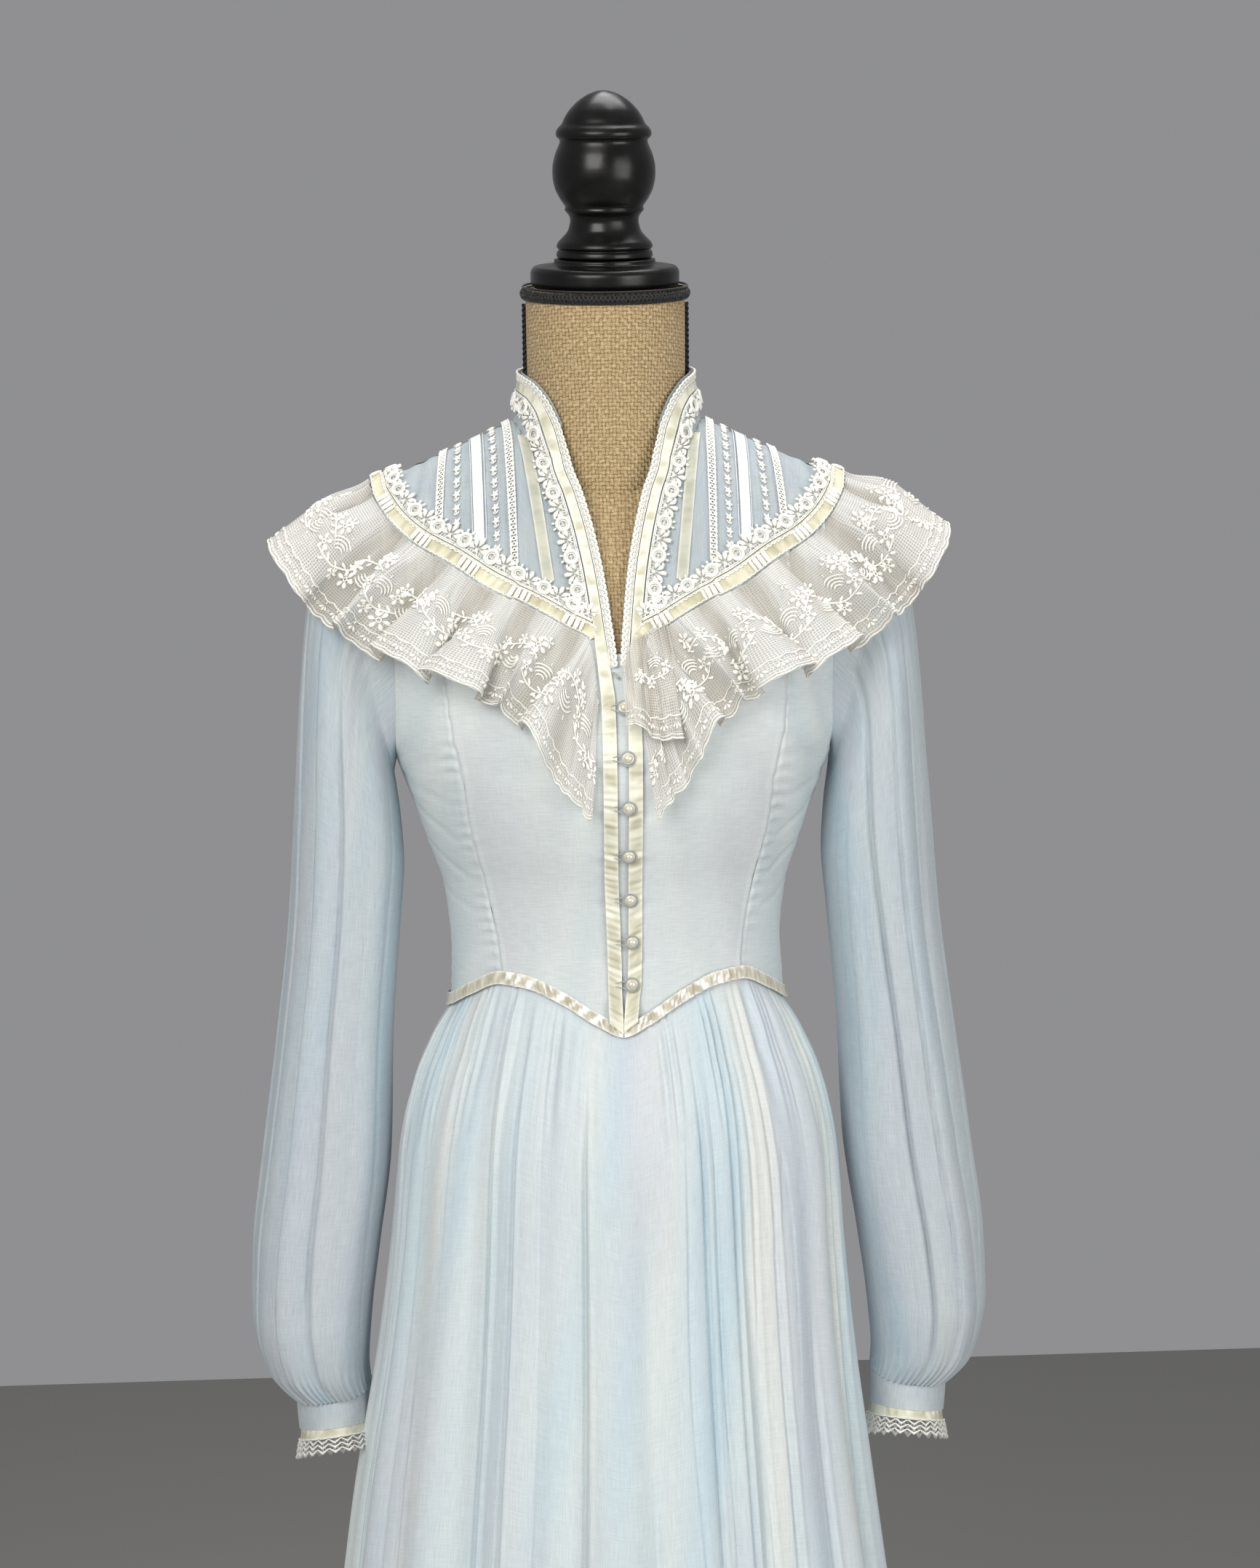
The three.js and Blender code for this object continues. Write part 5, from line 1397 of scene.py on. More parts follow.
def rounded(profile: Sequence[tuple[float, float]], steps: int = 6) -> list[tuple[float, float]]:
    """A profile with each straight cut into steps and its corners eased by two averagings.

    Args:
        profile: radius and height, from the underside up.
        steps: cuts of each straight.

    Returns:
        The new profile.
    """
    p = np.array(profile, float)
    cuts = [mix(a, b, np.linspace(0, 1, steps, endpoint=False)[:, None]) for a, b in zip(p, p[1:])]
    fine = np.vstack([*cuts, p[-1:]])
    for _ in range(2):
        fine[1:-1] = (fine[:-2] + 2 * fine[1:-1] + fine[2:]) / 4
    return [tuple(row) for row in fine]


@dataclass
class DressForm:
    """Burlap-covered torso and neck, with a turned cap and finial, gimp at the neck, a pole and a base."""

    plate: float = 3.2  # the flat arm ends lie this far inside the armholes

    def build(self) -> None:
        """Makes the form and its stand."""
        self.torso()
        self.gimp()
        cap = lathe("turned_neck_cap",
                    rounded([(0.1, 0.3), (45, 0.3), (48.5, 4), (48.5, 12), (46, 15), (33, 16.5),
                                                (33, 20), (0.1, 20)]), lift=0)
        dress_piece(cap, Goods.WOOD, "form_neck_cap")
        knob = [(0.1, 0), (31, 0), (31.4, 1.5), (31, 4), (29.6, 5), (31.6, 7), (30.4, 10), (27.6, 12.6),
                (23.6, 17),
                (22, 23.5), (22.8, 27), (26, 30.5), (25, 32.5), (28.4, 37), (31.8, 43.5), (33.4, 51),
                (33.3, 59),
                (31.4, 66.5), (28.6, 72.5), (28.3, 75), (30.8, 77), (31, 80), (29.6, 82.5), (26.8, 85),
                (25.2, 89),
                (22, 94), (17, 99), (10.5, 103.4), (4, 105.7), (0.1, 106)]
        dress_piece(lathe("turned_finial", rounded(knob, 4), lift=20.3), Goods.WOOD, "form_finial")
        pole = lathe("steel_pole", [(0.1, 22.3), (12.5, 22.3), (12.5, 849.7), (0.1, 849.7)], 48)
        dress_piece(pole, Goods.STEEL, "form_pole")
        plate = rounded([(0.1, 0), (172, 0), (175, 3), (175, 17), (170, 22), (30, 22), (0.1, 22)])
        base = lathe("steel_base", plate, 128)
        collar = lathe("pole_collar",
                       rounded([(12.6, 22.1), (24, 22.1), (24, 30), (19, 34), (16, 52), (12.6, 54)]), 64)
        dress_piece(base, Goods.STEEL, "form_base")
        dress_piece(collar, Goods.STEEL)

    def depth(self, x: Sizes, z: Sizes, side: Sizes, roll: Sizes) -> Array:
        """The chest alone, with the neck left to its column.

        Args:
            x: place along X.
            z: height.
            side: -1 in front, 1 behind.
            roll: the shoulder's roll, 0 at its ridge and 1 below it.

        Returns:
            Y of the surface.
        """
        table = np.where(side < 0, BODY.at(z, "front"), BODY.at(z, "back"))
        full = table * np.sqrt(np.maximum(0, 1 - (x / BODY.at(z, "half")) ** 2))
        return Figure.middle(z) + side * np.maximum(0, full * roll + FORM)

    def torso(self) -> None:
        """The covered torso and neck."""
        share = np.sin(np.radians(np.linspace(-90, 90, 49)))[None, :]
        z = np.linspace(850, 1335, 62)[:, None]
        run = np.linspace(0.58, 0, 12)[:, None] * Figure.roll * 1.28
        top_x = share * (BODY.at(1388, "arm") - self.plate) + 0 * run
        drop = Figure.roll * (1 - np.cos(run / Figure.roll))
        top_z = Figure.ridge(top_x) - drop + FORM
        halves = []
        for side in (-1, 1):
            x = share * (BODY.at(z, "arm") - self.plate)
            roll = Figure.roll_at(np.maximum(0, Figure.ridge(x) - z))
            low = point(x, self.depth(x, z, side, roll), z + 0 * x)
            high = point(top_x, self.depth(top_x, top_z, side, np.sin(run / Figure.roll)), top_z)
            halves.append(np.concatenate([low, high]))
        rows, columns = halves[0].shape[:2]
        count = rows * columns
        front = grid_faces(rows, columns)
        back = front[:, ::-1] + count
        i = np.arange(rows - 1) * columns
        left = np.stack([i, i + columns, i + columns + count, i + count], -1)
        right = left[:, ::-1] + columns - 1
        j = np.arange(columns - 1)
        under = np.stack([j, j + count, j + 1 + count, j + 1], -1)
        ring = np.arange(120) * 2 * np.pi / 120
        neck_z = np.linspace(1352, 1513, 60)[:, None]
        radius = np.interp(neck_z, [1352, 1385, 1430, 1470, 1513], [46, 51.6, 51.6, 51.8, 52])
        tilt = np.radians(10) * np.interp(neck_z, [1352, 1430, 1470, 1513], [0, 0.1, 0.55, 1])
        dy = -radius * np.cos(ring)
        neck = point(radius * np.sin(ring), 6 - 6 * ease(neck_z, 1430, 1510) + dy * np.cos(tilt),
                     neck_z + dy * np.sin(tilt))
        corners = np.concatenate([half.reshape(-1, 3) for half in halves] + [neck.reshape(-1, 3)])
        faces = np.concatenate([front, back, left, right, under, grid_faces(60, 120, True) + 2 * count])
        chest = np.arange(len(corners)) < 2 * count
        turn = np.degrees(np.arctan2(corners[:, 0], np.where(chest, 40, -corners[:, 1] + 6)))
        flat = np.stack([np.where(chest, corners[:, 0], turn), corners[:, 2]],
                        -1)[faces]
        spin = flat[..., 0]
        spin[-60 * 120:] = np.where(np.ptp(spin[-60 * 120:], axis=1, keepdims=True) > 180,
                                    np.where(spin[-60 * 120:] < 0, spin[-60 * 120:] + 360, spin[-60 * 120:]),
                                    spin[-60 * 120:]) * 0.907
        made = make_mesh("burlap_torso", corners, faces, flat.reshape(-1, 2))
        dress_piece(made, Goods.BURLAP, "form_torso")

    def gimp(self) -> None:
        """Braided gimp round the neck's top, and a cord down each side of the neck."""
        turn = np.linspace(0, 2 * np.pi, 400, endpoint=False)
        parts = []
        for k in range(3):
            phase = 40 * turn + k * 2 * np.pi / 3
            r = 54.3 + 0.6 * np.cos(2 * phase)
            path = point(r * np.cos(turn), r * np.sin(turn), -2.6 + 2.5 * np.sin(phase))
            parts.append(Motif(*tube(to_neck_top(path, 0), 0.95, 5, True)))
        for height, radius in ((2.0, 0.8), (-5.4, 0.8)):
            path = point(53.6 * np.cos(turn), 53.6 * np.sin(turn), height + 0 * turn)
            parts.append(Motif(*tube(to_neck_top(path, 0), radius, 6, True)))
        braid = Motif.joined(parts)
        dress_piece(make_mesh("neck_gimp", braid.corners, braid.faces), Goods.BRAID, "form_neck_braid")
        for side in Side:
            z = np.linspace(1441, 1504, 80)
            strands = []
            for k in range(2):
                twist = 2 * np.pi * z / 7 + k * np.pi
                y = 6 - 6 * ease(z, 1430, 1510) + 0.8 * np.cos(twist)
                path = point(52.9 + 0.8 * np.sin(twist), y, z)
                strands.append(Motif(*tube(mirrored(path, side), 1.0, 6)))
            cord = Motif.joined(strands)
            made = make_mesh(f"side_gimp_{side.word}", cord.corners, cord.faces)
            dress_piece(made, Goods.BRAID, f"form_side_cord_{side.word}")


# ------------ bodice


def settled(edge_in: Callable, edge_out: Callable, top: Callable, place: Callable, u: Array,
            v: Array) -> tuple[Array, Array]:
    """Angle and height of a panel's points, which depend on each other.

    Args:
        edge_in: the inner edge's angle by height.
        edge_out: the outer edge's angle by height.
        top: the top edge's height by share across.
        place: the angle from the front middle for an angle from the panel's own middle.
        u: share across.
        v: share up.

    Returns:
        The angle from the front middle, and the height.
    """
    z = np.full(np.broadcast(u, v).shape, 1200.0)
    for _ in range(8):
        angle = mix(edge_in(z), edge_out(z), u)
        z = mix(WAIST.at(place(angle), "z") + 1.5, top(u), v)
    return place(mix(edge_in(z), edge_out(z), u)), z


@dataclass
class Bodice:
    """Lined bodice panels between princess seams, and the underlap behind the front opening."""

    tuck: float = -1.2  # the panels run this far up under the yoke
    top: float = 1345.0  # where the princess seam ends
    rows: int = 150

    @staticmethod
    def princess(z: Sizes) -> Array:
        """Angle of the princess seam by height."""
        return PRINCESS.at(z, "angle")

    @staticmethod
    def seam(z: Sizes) -> Array:
        """How far a panel runs past its seam line into the seam allowance, as an angle."""
        return -np.degrees(0.35 / BODY.at(z, "half"))

    def build(self) -> None:
        """Makes the panels."""
        for side in Side:
            self.front_centre(side)
            self.side_panel(side, False)
            self.side_panel(side, True)
        self.back_centre()
        z = np.linspace(1041, 1277, 60)[:, None]
        ends = [FRONT_RIBBON.at(z, name) for name in ("left", "right")]
        ends = [x - np.sign(x) * 2.6 for x in ends]
        chart = Chart(Figure.on_side(mix(ends[0], ends[1], np.linspace(0, 1, 7)[None, :]), z, -1)).lifted(0.9)
        self.sheet(chart, "placket_underlap", "front_underlap", 0.5 * np.ones((60, 7)))

    def sheet(self, chart: Chart, name: str, stands_for: str, tone: Array) -> None:
        """Makes one panel's cloth."""
        made = dress_piece(chart.sheet(name, tone, chart.points[..., 2]), Goods.LAWN, stands_for)
        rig.sheet(made, held="stretched", rests_on=["form_torso"], **chart.cut())

    def front_centre(self, side: Side) -> None:
        """Front panel, from under the front ribbon to the princess seam.

        Args:
            side: the side of the body.
        """
        name = side.word

        def edge(z: Sizes) -> Array:
            """Angle of the edge under the ribbon, by height."""
            return Figure.degrees(np.abs(FRONT_RIBBON.at(z, name)) - 3, z)

        def top(share: Sizes) -> Array:
            """Height of the panel's top under the ruffle."""
            return RuffleLine.height(mix(16, far, share), -1) - self.tuck

        far = BODY.at(self.top, "half") * np.sin(np.radians(self.princess(self.top)))
        u, v = np.linspace(0, 1, 54)[None, :], np.linspace(0, 1, self.rows)[:, None]
        angle, z = settled(edge, lambda z: self.princess(z) - self.seam(z), top, lambda a: a, u, v)
        chart = Chart(mirrored(Figure.by_angle(angle, z), side))
        width = chart.across[-1]
        x = chart.across[None, :]
        ridge = 0.55 * bell(width - 3.2, x, 1.8) - 0.7 * bell(width, x, 1.0)
        near = np.exp(-(width - x) / 9)
        pull = 0.3 * near * ripple(z / 13 + x / 40, 21 + side.value)
        beside_ribbon = bell(x, 8, 11)
        soft = sum(-0.8 * bell(z - at, slope * x, 3.2)
                   for at, slope in ((1175, 0.15), (1148, -0.1), (1203, 0.12), (1118, 0.1), (1086, -0.12)))
        gathers = 0.5 * ease(z, 1262, 1310) * ripple(x / 11 + z / 190, 5 + side.value)
        heave = 0.5 * ripple(x / 70 + z / 120, 31 + side.value)
        # lighter on the raised edge beside the seam and darker in its groove: painted light and shade, over random
        # unevenness
        tone = 0.62 + 0.16 * ripple(z / 150 + x / 60, 40 + side.value) + 0.3 * ridge
        self.sheet(chart.lifted(PANEL + ridge + pull + beside_ribbon * soft + gathers + heave),
                   f"bodice_front_panel_{side.word}", f"bodice_front_centre_{side.word}", np.clip(tone, 0, 1))

    def side_panel(self, side: Side, back: bool) -> None:
        """Side panel, from the princess seam to the side seam and the armhole.

        Args:
            side: the side of the body.
            back: whether it is the back one.
        """
        place = (lambda a: 180 - a) if back else (lambda a: a)
        hand = 1 if back else -1

        def outer(z: Sizes) -> Array:
            """Angle of the side seam, and of the armhole above it, by height.

            Args:
                z: height.

            Returns:
                ?
            """
            share = np.minimum(1, BODY.at(z, "arm") / BODY.at(z, "half"))
            free = np.where(z <= 1212, 90.0, np.degrees(np.arcsin(share)))
            return free - np.where(z > 1212, -0.4, self.seam(z))

        def top(share: Sizes) -> Array:
            """Height of the panel's top under the ruffle."""
            return np.minimum(RuffleLine.height(mix(far, 147.5, share), hand) - self.tuck, 1378)

        far = BODY.at(self.top, "half") * np.sin(np.radians(self.princess(self.top)))
        u, v = np.linspace(0, 1, 36 if back else 54)[None, :], np.linspace(0, 1, self.rows)[:, None]
        angle, z = settled(lambda z: self.princess(z) + self.seam(z), outer, top, place, u, v)
        chart = Chart(mirrored(Figure.by_angle(angle, z), side))
        x = chart.across[None, :]
        seed = 50 + 2 * side.value + back
        groove = -0.7 * bell(x, 0, 1.1) + 0.25 * bell(x, 2.6, 1.4)
        pucker = 0.62 * bell(x, 3, 8) * ripple(z / 9.5 + x / 60, seed)
        pucker = pucker + 0.35 * bell(chart.across[-1], x, 7) * ripple(z / 10, seed + 7)
        drag = sum(deep * bell(z - at, slope * x, wide) * ease(x, 4, 22)
                   for at, slope, wide, deep in ((1128, 0.55, 2.6, -1.3), (1152, 0.6, 2.8, -1.1),
                                                 (1108, 0.35, 2.4, -0.8),
                                                 (1180, 0.35, 3.2, -0.8), (1220, -0.4, 4, -0.7)))
        heave = 0.6 * ripple(x / 60 + z / 90, seed + 3)
        gathers = 0.55 * ease(z, 1255, 1320) * ripple(x / 10 + z / 160, seed + 5)
        tone = 0.5 + 0.2 * ripple(z / 120 + x / 50, seed + 9)
        amount = 1.0 if side is Side.RIGHT else 0.6
        closing = ease(chart.across[-1] - x, 0, 7)
        height = groove + pucker * ease(x, 0, 2) + amount * drag + heave + gathers
        self.sheet(chart.lifted(PANEL + height * closing),
                   f"bodice_{'back' if back else 'front'}_side_panel_{side.word}",
                   f"bodice_{'back' if back else 'front'}_side_{side.word}", np.clip(tone, 0, 1))

    def back_centre(self) -> None:
        """Back panel between the princess seams."""
        u, v = np.linspace(-1, 1, 50)[None, :], np.linspace(0, 1, self.rows)[:, None]
        far = BODY.at(self.top, "half") * np.sin(np.radians(self.princess(self.top)))
        z = np.full((self.rows, 50), 1200.0)
        for _ in range(8):
            angle = np.abs(u) * (self.princess(z) - self.seam(z))
            z = mix(WAIST.at(180 - angle, "z") + 1.5, RuffleLine.height(np.abs(u) * far, 1) - self.tuck, v)
        chart = Chart(Figure.by_angle(180 - u * (self.princess(z) - self.seam(z)), z))
        x = chart.across[None, :]
        edge = np.minimum(x, chart.across[-1] - x)
        height = 0.5 * bell(edge, 3.2, 1.8) - 0.7 * bell(edge, 0, 1.0)
        height = height + 0.35 * np.exp(-edge / 9) * ripple(z / 9, 71) + 0.6 * ripple(x / 75 + z / 110, 72)
        tone = 0.55 + 0.2 * ripple(z / 140 + x / 60, 73)
        self.sheet(chart.lifted(PANEL + height), "bodice_back_panel", "bodice_back_centre",
                   np.clip(tone, 0, 1))


# ------------ laces and ribbons


class Lace:
    """Repeats of the trims, drawn flat: along from 0 to the repeat's length, across from its foot."""

    @staticmethod
    def daisy() -> Motif:
        """One repeat of daisy lace: a ringed eyelet and a fan of five plump petals, joined by cords.

        Returns:
            The repeat.
        """
        r = DAISY_REPEAT
        parts = [Motif.ring(4.1, 1.25, 18).put(0.75 * r, 5.8), Motif.ring(2.5, 0.5, 14).put(0.75 * r, 5.8)]
        for turn in (-78, -40, 0, 40, 78):
            length = 7.4 - abs(turn) / 40
            parts.append(Motif.petal(length, 4.4, 1.4, 1.9).put(0.25 * r, 4.4, turn))
        parts.append(Motif.petal(3.6, 3.2, 1.5).put(0.25 * r, 2.2))
        for turn in (-52, -18, 18, 52):
            parts.append(Motif.petal(3.4, 2.4, 1.0, 4.6).put(0.75 * r, 5.8, turn))
        x = np.linspace(0, r, 13)
        parts.append(Motif.cord(np.column_stack([x, 0.5 + 0 * x]), 0.5))
        parts.append(Motif.cord(np.column_stack([x, 1.5 + 0.35 * np.sin(x * 2 * np.pi / 3.6)]), 0.4))
        parts.append(Motif.cord([(0.43 * r, 6.6), (0.5 * r, 7.4), (0.57 * r, 6.6)], 0.55))
        parts.append(Motif.cord([(0.93 * r, 6.6), (1.0 * r, 7.4), (1.07 * r, 6.6)], 0.55))
        parts.append(Motif.cord([(0.12 * r, 0.6), (0.2 * r, 3.4), (0.25 * r, 4.4)], 0.5))
        parts.append(Motif.cord([(0.38 * r, 0.6), (0.3 * r, 3.4), (0.25 * r, 4.4)], 0.5))
        parts.append(Motif.cord([(0.5 * r, 0.6), (0.5 * r, 7.2)], 0.45))
        parts.append(Motif.cord([(0.02 * r, 0.6), (0.02 * r, 7.2)], 0.45))
        return Motif.joined(parts)

    @staticmethod
    def eyelet(pitch: float, width: float) -> Motif:
        """One repeat of narrow eyelet insertion: a ringed hole between two corded edges.

        Args:
            pitch: length of a repeat.
            width: its width.

        Returns:
            The repeat.
        """
        x = np.linspace(0, pitch, 5)
        parts = [Motif.ring(pitch * 0.32, 0.55, 10).put(pitch / 2, 0)]
        for side in (-1, 1):
            parts.append(Motif.cord(np.column_stack([x, side * (width / 2 - 0.5) + 0 * x]), 0.75, 4))
            parts.append(Motif.cord([(0, side * width * 0.32), (pitch / 2, side * width * 0.26),
                                     (pitch, side * width * 0.32)], 0.45, 4))
        return Motif.joined(parts)

    @staticmethod
    def star(pitch: float) -> Motif:
        """One repeat of star braid: a five-pointed star and a sprig between stars.

        Args:
            pitch: length of a repeat.

        Returns:
            The motif.
        """
        parts = [Motif.star(4.3, 1.1).put(pitch / 2, 0)]
        for turn in (-40, 0, 40):
            parts.append(Motif.petal(3.2, 1.5, 0.7).put(pitch * 1.02, 0, 90 + turn))
        return Motif.joined(parts)

    @staticmethod
    def picot() -> Motif:
        """One repeat of the picot edging: a scalloped loop on a corded tape.

        Returns:
            The repeat.
        """
        turn = np.linspace(-0.1, math.pi + 0.1, 7)
        arch = np.column_stack([2.2 - 2.0 * np.cos(turn), 2.3 - 1.9 * np.sin(turn)])
        x = np.linspace(0, 4.4, 5)
        return Motif.joined([
            Motif.cord(arch, 0.75, 5),
            Motif.ring(0.8, 0.42, 8).put(2.2, 1.9),
            Motif.cord(np.column_stack([x, 2.9 + 0 * x]), 0.6, 4),
            Motif.cord(np.column_stack([x, 3.9 + 0.5 * np.cos(x * 2 * np.pi / 2.2)]), 0.45, 4),
            Motif.cord(np.column_stack([x, 5.0 + 0 * x]), 0.6, 4),
        ])

    @staticmethod
    def run(chart: Chart, repeat: Motif, pitch: float, middle: float = 0.0, name: str = "",
            lift: float = 0.3) -> Piece:
        """Lays whole repeats along a chart and makes them one piece.

        Args:
            chart: the surface it lies on.
            repeat: one repeat.
            pitch: length of a repeat.
            middle: how far across it lies.
            name: the object's name.
            lift: height above the surface.

        Returns:
            The object.
        """
        relief = Relief(chart)
        total = chart.along[-1]
        count = max(1, round(total / pitch))
        stretch = total / (count * pitch)
        for k in range(count):
            moved = repeat.put(0, 0)
            moved.corners[:, 0] = (moved.corners[:, 0] + k * pitch) * stretch
            moved.corners[:, 1] += middle
            relief.add(moved)
        return relief.make(name, lift)


@dataclass(frozen=True)
class Ribbon:
    """A satin ribbon laid along a chart, crinkled where its stitching draws it up."""

    crinkle: float = 0.35
    pitch: float = 5.0
    seed: int = 1
    goods: Goods = Goods.SATIN

    def make(self, chart: Chart, name: str, amount: Array | float = 1.0, *stands_for: str,
             bright: float = 0.0) -> Piece:
        """Makes the ribbon.

        Args:
            chart: its middle surface.
            name: the object's name.
            amount: how strongly it crinkles along its length.
            stands_for: the solids it replaces.
            bright: how strong the highlights painted on its crinkles are.

        Returns:
            The object.
        """
        x, y = chart.along[:, None], chart.across[None, :]
        middle = np.maximum(0, np.sin(np.pi * y / chart.across[-1])) ** 0.6
        folds = ripple(x / self.pitch + y / 30, self.seed,
                       6) + 0.6 * ripple(x / (self.pitch * 2.7) - y / 18, self.seed + 1)
        amount = np.broadcast_to(np.asarray(amount, float), (len(chart.along),))[:, None]
        height = self.crinkle * amount * folds * (0.55 + 0.45 * middle) + 0.15 * middle
        selvage = 0.75 * np.abs(2 * y / chart.across[-1] - 1) ** 5
        # painted highlights on the crinkles, which the tone adds to the pale selvages
        gleam = ripple(x / 11 + y / 12, self.seed + 2, 7) + 0.6 * ripple(x / 4.3 - y / 9, self.seed + 5, 7)
        flash = bright * amount * ease(gleam, -0.1, 0.7)
        return dress_piece(chart.lifted(height).sheet(name, np.clip(selvage + flash, 0, 1)), self.goods,
                           *stands_for)


# ------------ neck, collar and yoke


@dataclass
class Yoke:
    """Sheer yoke and stand collar with their insertions, and the trims beside the neck edge."""

    def build(self) -> None:
        """Makes the yoke."""
        self.back()
        self.collar()
        for side in Side:
            front = self.front(side)
            strips = self.strips(side)
            edge = self.neck_trims(side)
            made = dress_piece(front.sheet(f"yoke_sheer_{side.word}", self.tone(front, 3)), Goods.YOKE,
                               f"yoke_front_{side.word}")
            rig.sheet(made, held="draped", rests_on=["form_torso"], with_pieces=strips + edge, **front.cut())

    @staticmethod
    def tone(chart: Chart, seed: int) -> Array:
        """Uneven depth of colour over a sheer piece."""
        x, y = chart.across[None, :], chart.along[:, None]
        return np.clip(0.55 + 0.2 * ripple(x / 60 + y / 45, seed), 0, 1)

    @staticmethod
    def heave(chart: Chart, seed: int) -> Array:
        """Soft vertical unevenness of a sheer piece."""
        x, y = chart.across[None, :], chart.along[:, None]
        return 0.3 * ripple(x / 16 + y / 120, seed) + 0.3 * ripple(y / 40 + x / 70, seed + 1)

    def front(self, side: Side) -> Chart:
        """Yoke front, from the V to the armhole.

        Args:
            side: the side of the body.

        Returns:
            Its surface.
        """
        knots = np.concatenate([np.linspace(0, 0.3, 4), np.linspace(0.4, 1, 6)])
        v = np.linspace(0, 1, 76)
        places = []
        for u in knots:
            if u < 0.31:
                angle = mix(30, 88, u / 0.3)
                z = COLLAR.at(angle, "foot") - 1.6
                x = (NeckBand.radius(angle, z) + 0.8) * np.sin(np.radians(angle))
            else:
                x = mix(61.5, 149.4, (u - 0.3) / 0.7)
                z = Figure.ridge(x)
            foot_x = mix(14, 146.5, u ** 0.86)
            foot_z = RuffleLine.height(foot_x, -1) + 0.3
            if u == 0:
                height = mix(foot_z, z, v)
                x_at = NECK_EDGE.at(height, "x") + 0.2
                places.append(np.stack([x_at, -np.maximum(Figure.length(x_at, height), 0.25)], -1))
            else:
                top, foot = np.maximum(Figure.length(x, z), 0.35), Figure.length(foot_x, foot_z)
                places.append(np.stack([mix(foot_x, x, v), -mix(foot, top, v)], -1))
        places = np.array(places, float)
        u = np.linspace(0, 1, 72)
        j = np.interp(u, knots, np.arange(len(knots)))
        a = np.clip(j.astype(int), 0, len(knots) - 2)
        flat = mix(places[a], places[a + 1], (j - a)[:, None, None]).transpose(1, 0, 2)
        chart = Chart(Figure.over(flat[..., 0], flat[..., 1]))
        return Chart(mirrored(chart.lifted(1.3 + self.heave(chart, 90 + side.value)).points, side))

    def back(self) -> None:
        """Yoke back."""
        half = np.array([0, 18.67, 37.33, 56, 63, 91.8, 120.6, 149.4])
        near = np.where(half > 60, 0.35, Figure.length(half, 1425.5))
        foot = np.minimum(half, 146.5)
        far = Figure.length(foot, RuffleLine.height(foot, 1) + 0.3)
        x = np.linspace(-149.4, 149.4, 120)[None, :]
        share = np.linspace(0, 1, 36)[:, None]
        length = mix(np.interp(np.abs(x), half, near), np.interp(np.abs(x), half, far), share)
        chart = Chart(Figure.over(x + 0 * length, length))
        chart = chart.lifted(1.3 + self.heave(chart, 95))
        made = dress_piece(chart.sheet("yoke_sheer_back", self.tone(chart, 5)), Goods.YOKE, "yoke_back")
        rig.sheet(made, held="draped", rests_on=["form_torso"], **chart.cut())

    def collar(self) -> None:
        """Stand collar, folded at its foot."""
        angle = np.linspace(34, 326, 240)[None, :]
        fold = np.minimum(angle, 360 - angle)
        v = np.linspace(0, 1, 20)[:, None]
        z = mix(COLLAR.at(fold, "top"), COLLAR.at(fold, "foot") - 3.5 * ease(fold, 72, 92), v)
        points = NeckBand.collar(fold, z)
        points[..., 0] *= np.where(angle > 180, -1, 1)
        chart = Chart(points, (0, 6, 1440))
        bulge = 0.9 * bell(1, v, 0.18) + 0.2 * ripple(chart.across[None, :] / 14, 8) * v
        chart = chart.lifted(1.2 + bulge)
        made = dress_piece(chart.sheet("stand_collar", self.tone(chart, 6)), Goods.YOKE, "collar")
        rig.sheet(made, held="stretched", rests_on=["form_torso"], **chart.cut())

    def strip(self, side: Side, top: float, foot: float, width: float, lift: float) -> Chart:
        """The chart of a strip down the yoke front.

        Args:
            side: the side of the body.
            top: X of its top, on the shoulder.
            foot: X of its foot, at the ruffle.
            width: the strip's width.
            lift: height above the surface.

        Returns:
            The strip.
        """
        foot_length = Figure.length(foot, RuffleLine.height(foot, -1) + DAISY_WIDTH + 5)
        start = (55.5, Figure.length(55.5, COLLAR.at(60, "foot") - 1)) if top < 60 else (top, 1.2)
        v, share = np.linspace(0, 1, 90)[:, None], np.linspace(-0.5, 0.5, 7)[None, :]
        chart = Chart(Figure.over(mix(start[0], foot, v) + share * width,
                                  -mix(start[1], foot_length, v) + 0 * share))
        return Chart(mirrored(chart.lifted(lift).points, side))

    def strips(self, side: Side) -> list:
        """The insertions of one side.

        Args:
            side: the side of the body.

        Returns:
            The pieces.
        """
        made = []
        for name, (top, foot, width) in YOKE_STRIPS.items():
            solid = f"yoke_{name}_{side.word}"
            if name == "cream_ribbon":
                chart = self.strip(side, top, foot, width, 2.6)
                made.append(Ribbon(0.12, 9, 3,
                                   Goods.SHEER_RIBBON).make(chart, f"insert_{name}_{side.word}", 1.0, solid))
            elif name == "white_band":
                chart = self.strip(side, top, foot, 6.0, 2.6)
                made.append(dress_piece(chart.sheet(f"insert_{name}_{side.word}"), Goods.STITCH, solid))
                lines = Relief(self.strip(side, top, foot, width, 2.3))
                x = np.linspace(0, lines.chart.along[-1], 60)
                for y in (0.4, width - 0.4, width / 2 - 3, width / 2 + 3):
                    lines.add(Motif.cord(np.column_stack([x, y + 0 * x]), 0.3, 4))
                made.append(dress_piece(lines.make(f"insert_band_lines_{side.word}"), Goods.STITCH))
            else:
                chart = self.strip(side, top, foot, width, 2.2)
                lace = Lace.run(chart, Lace.eyelet(3.8, width), 3.8, width / 2, f"insert_{name}_{side.word}")
                made.append(dress_piece(lace, Goods.LACE, solid))
        for k, (top, foot) in enumerate(STAR_STRIPS):
            chart = self.strip(side, top, foot, 6, 2.0)
            lace = Lace.run(chart, Lace.star(9.8), 9.8, 3, f"star_braid_{k + 1}_{side.word}")
            made.append(dress_piece(lace, Goods.LACE))
        return made

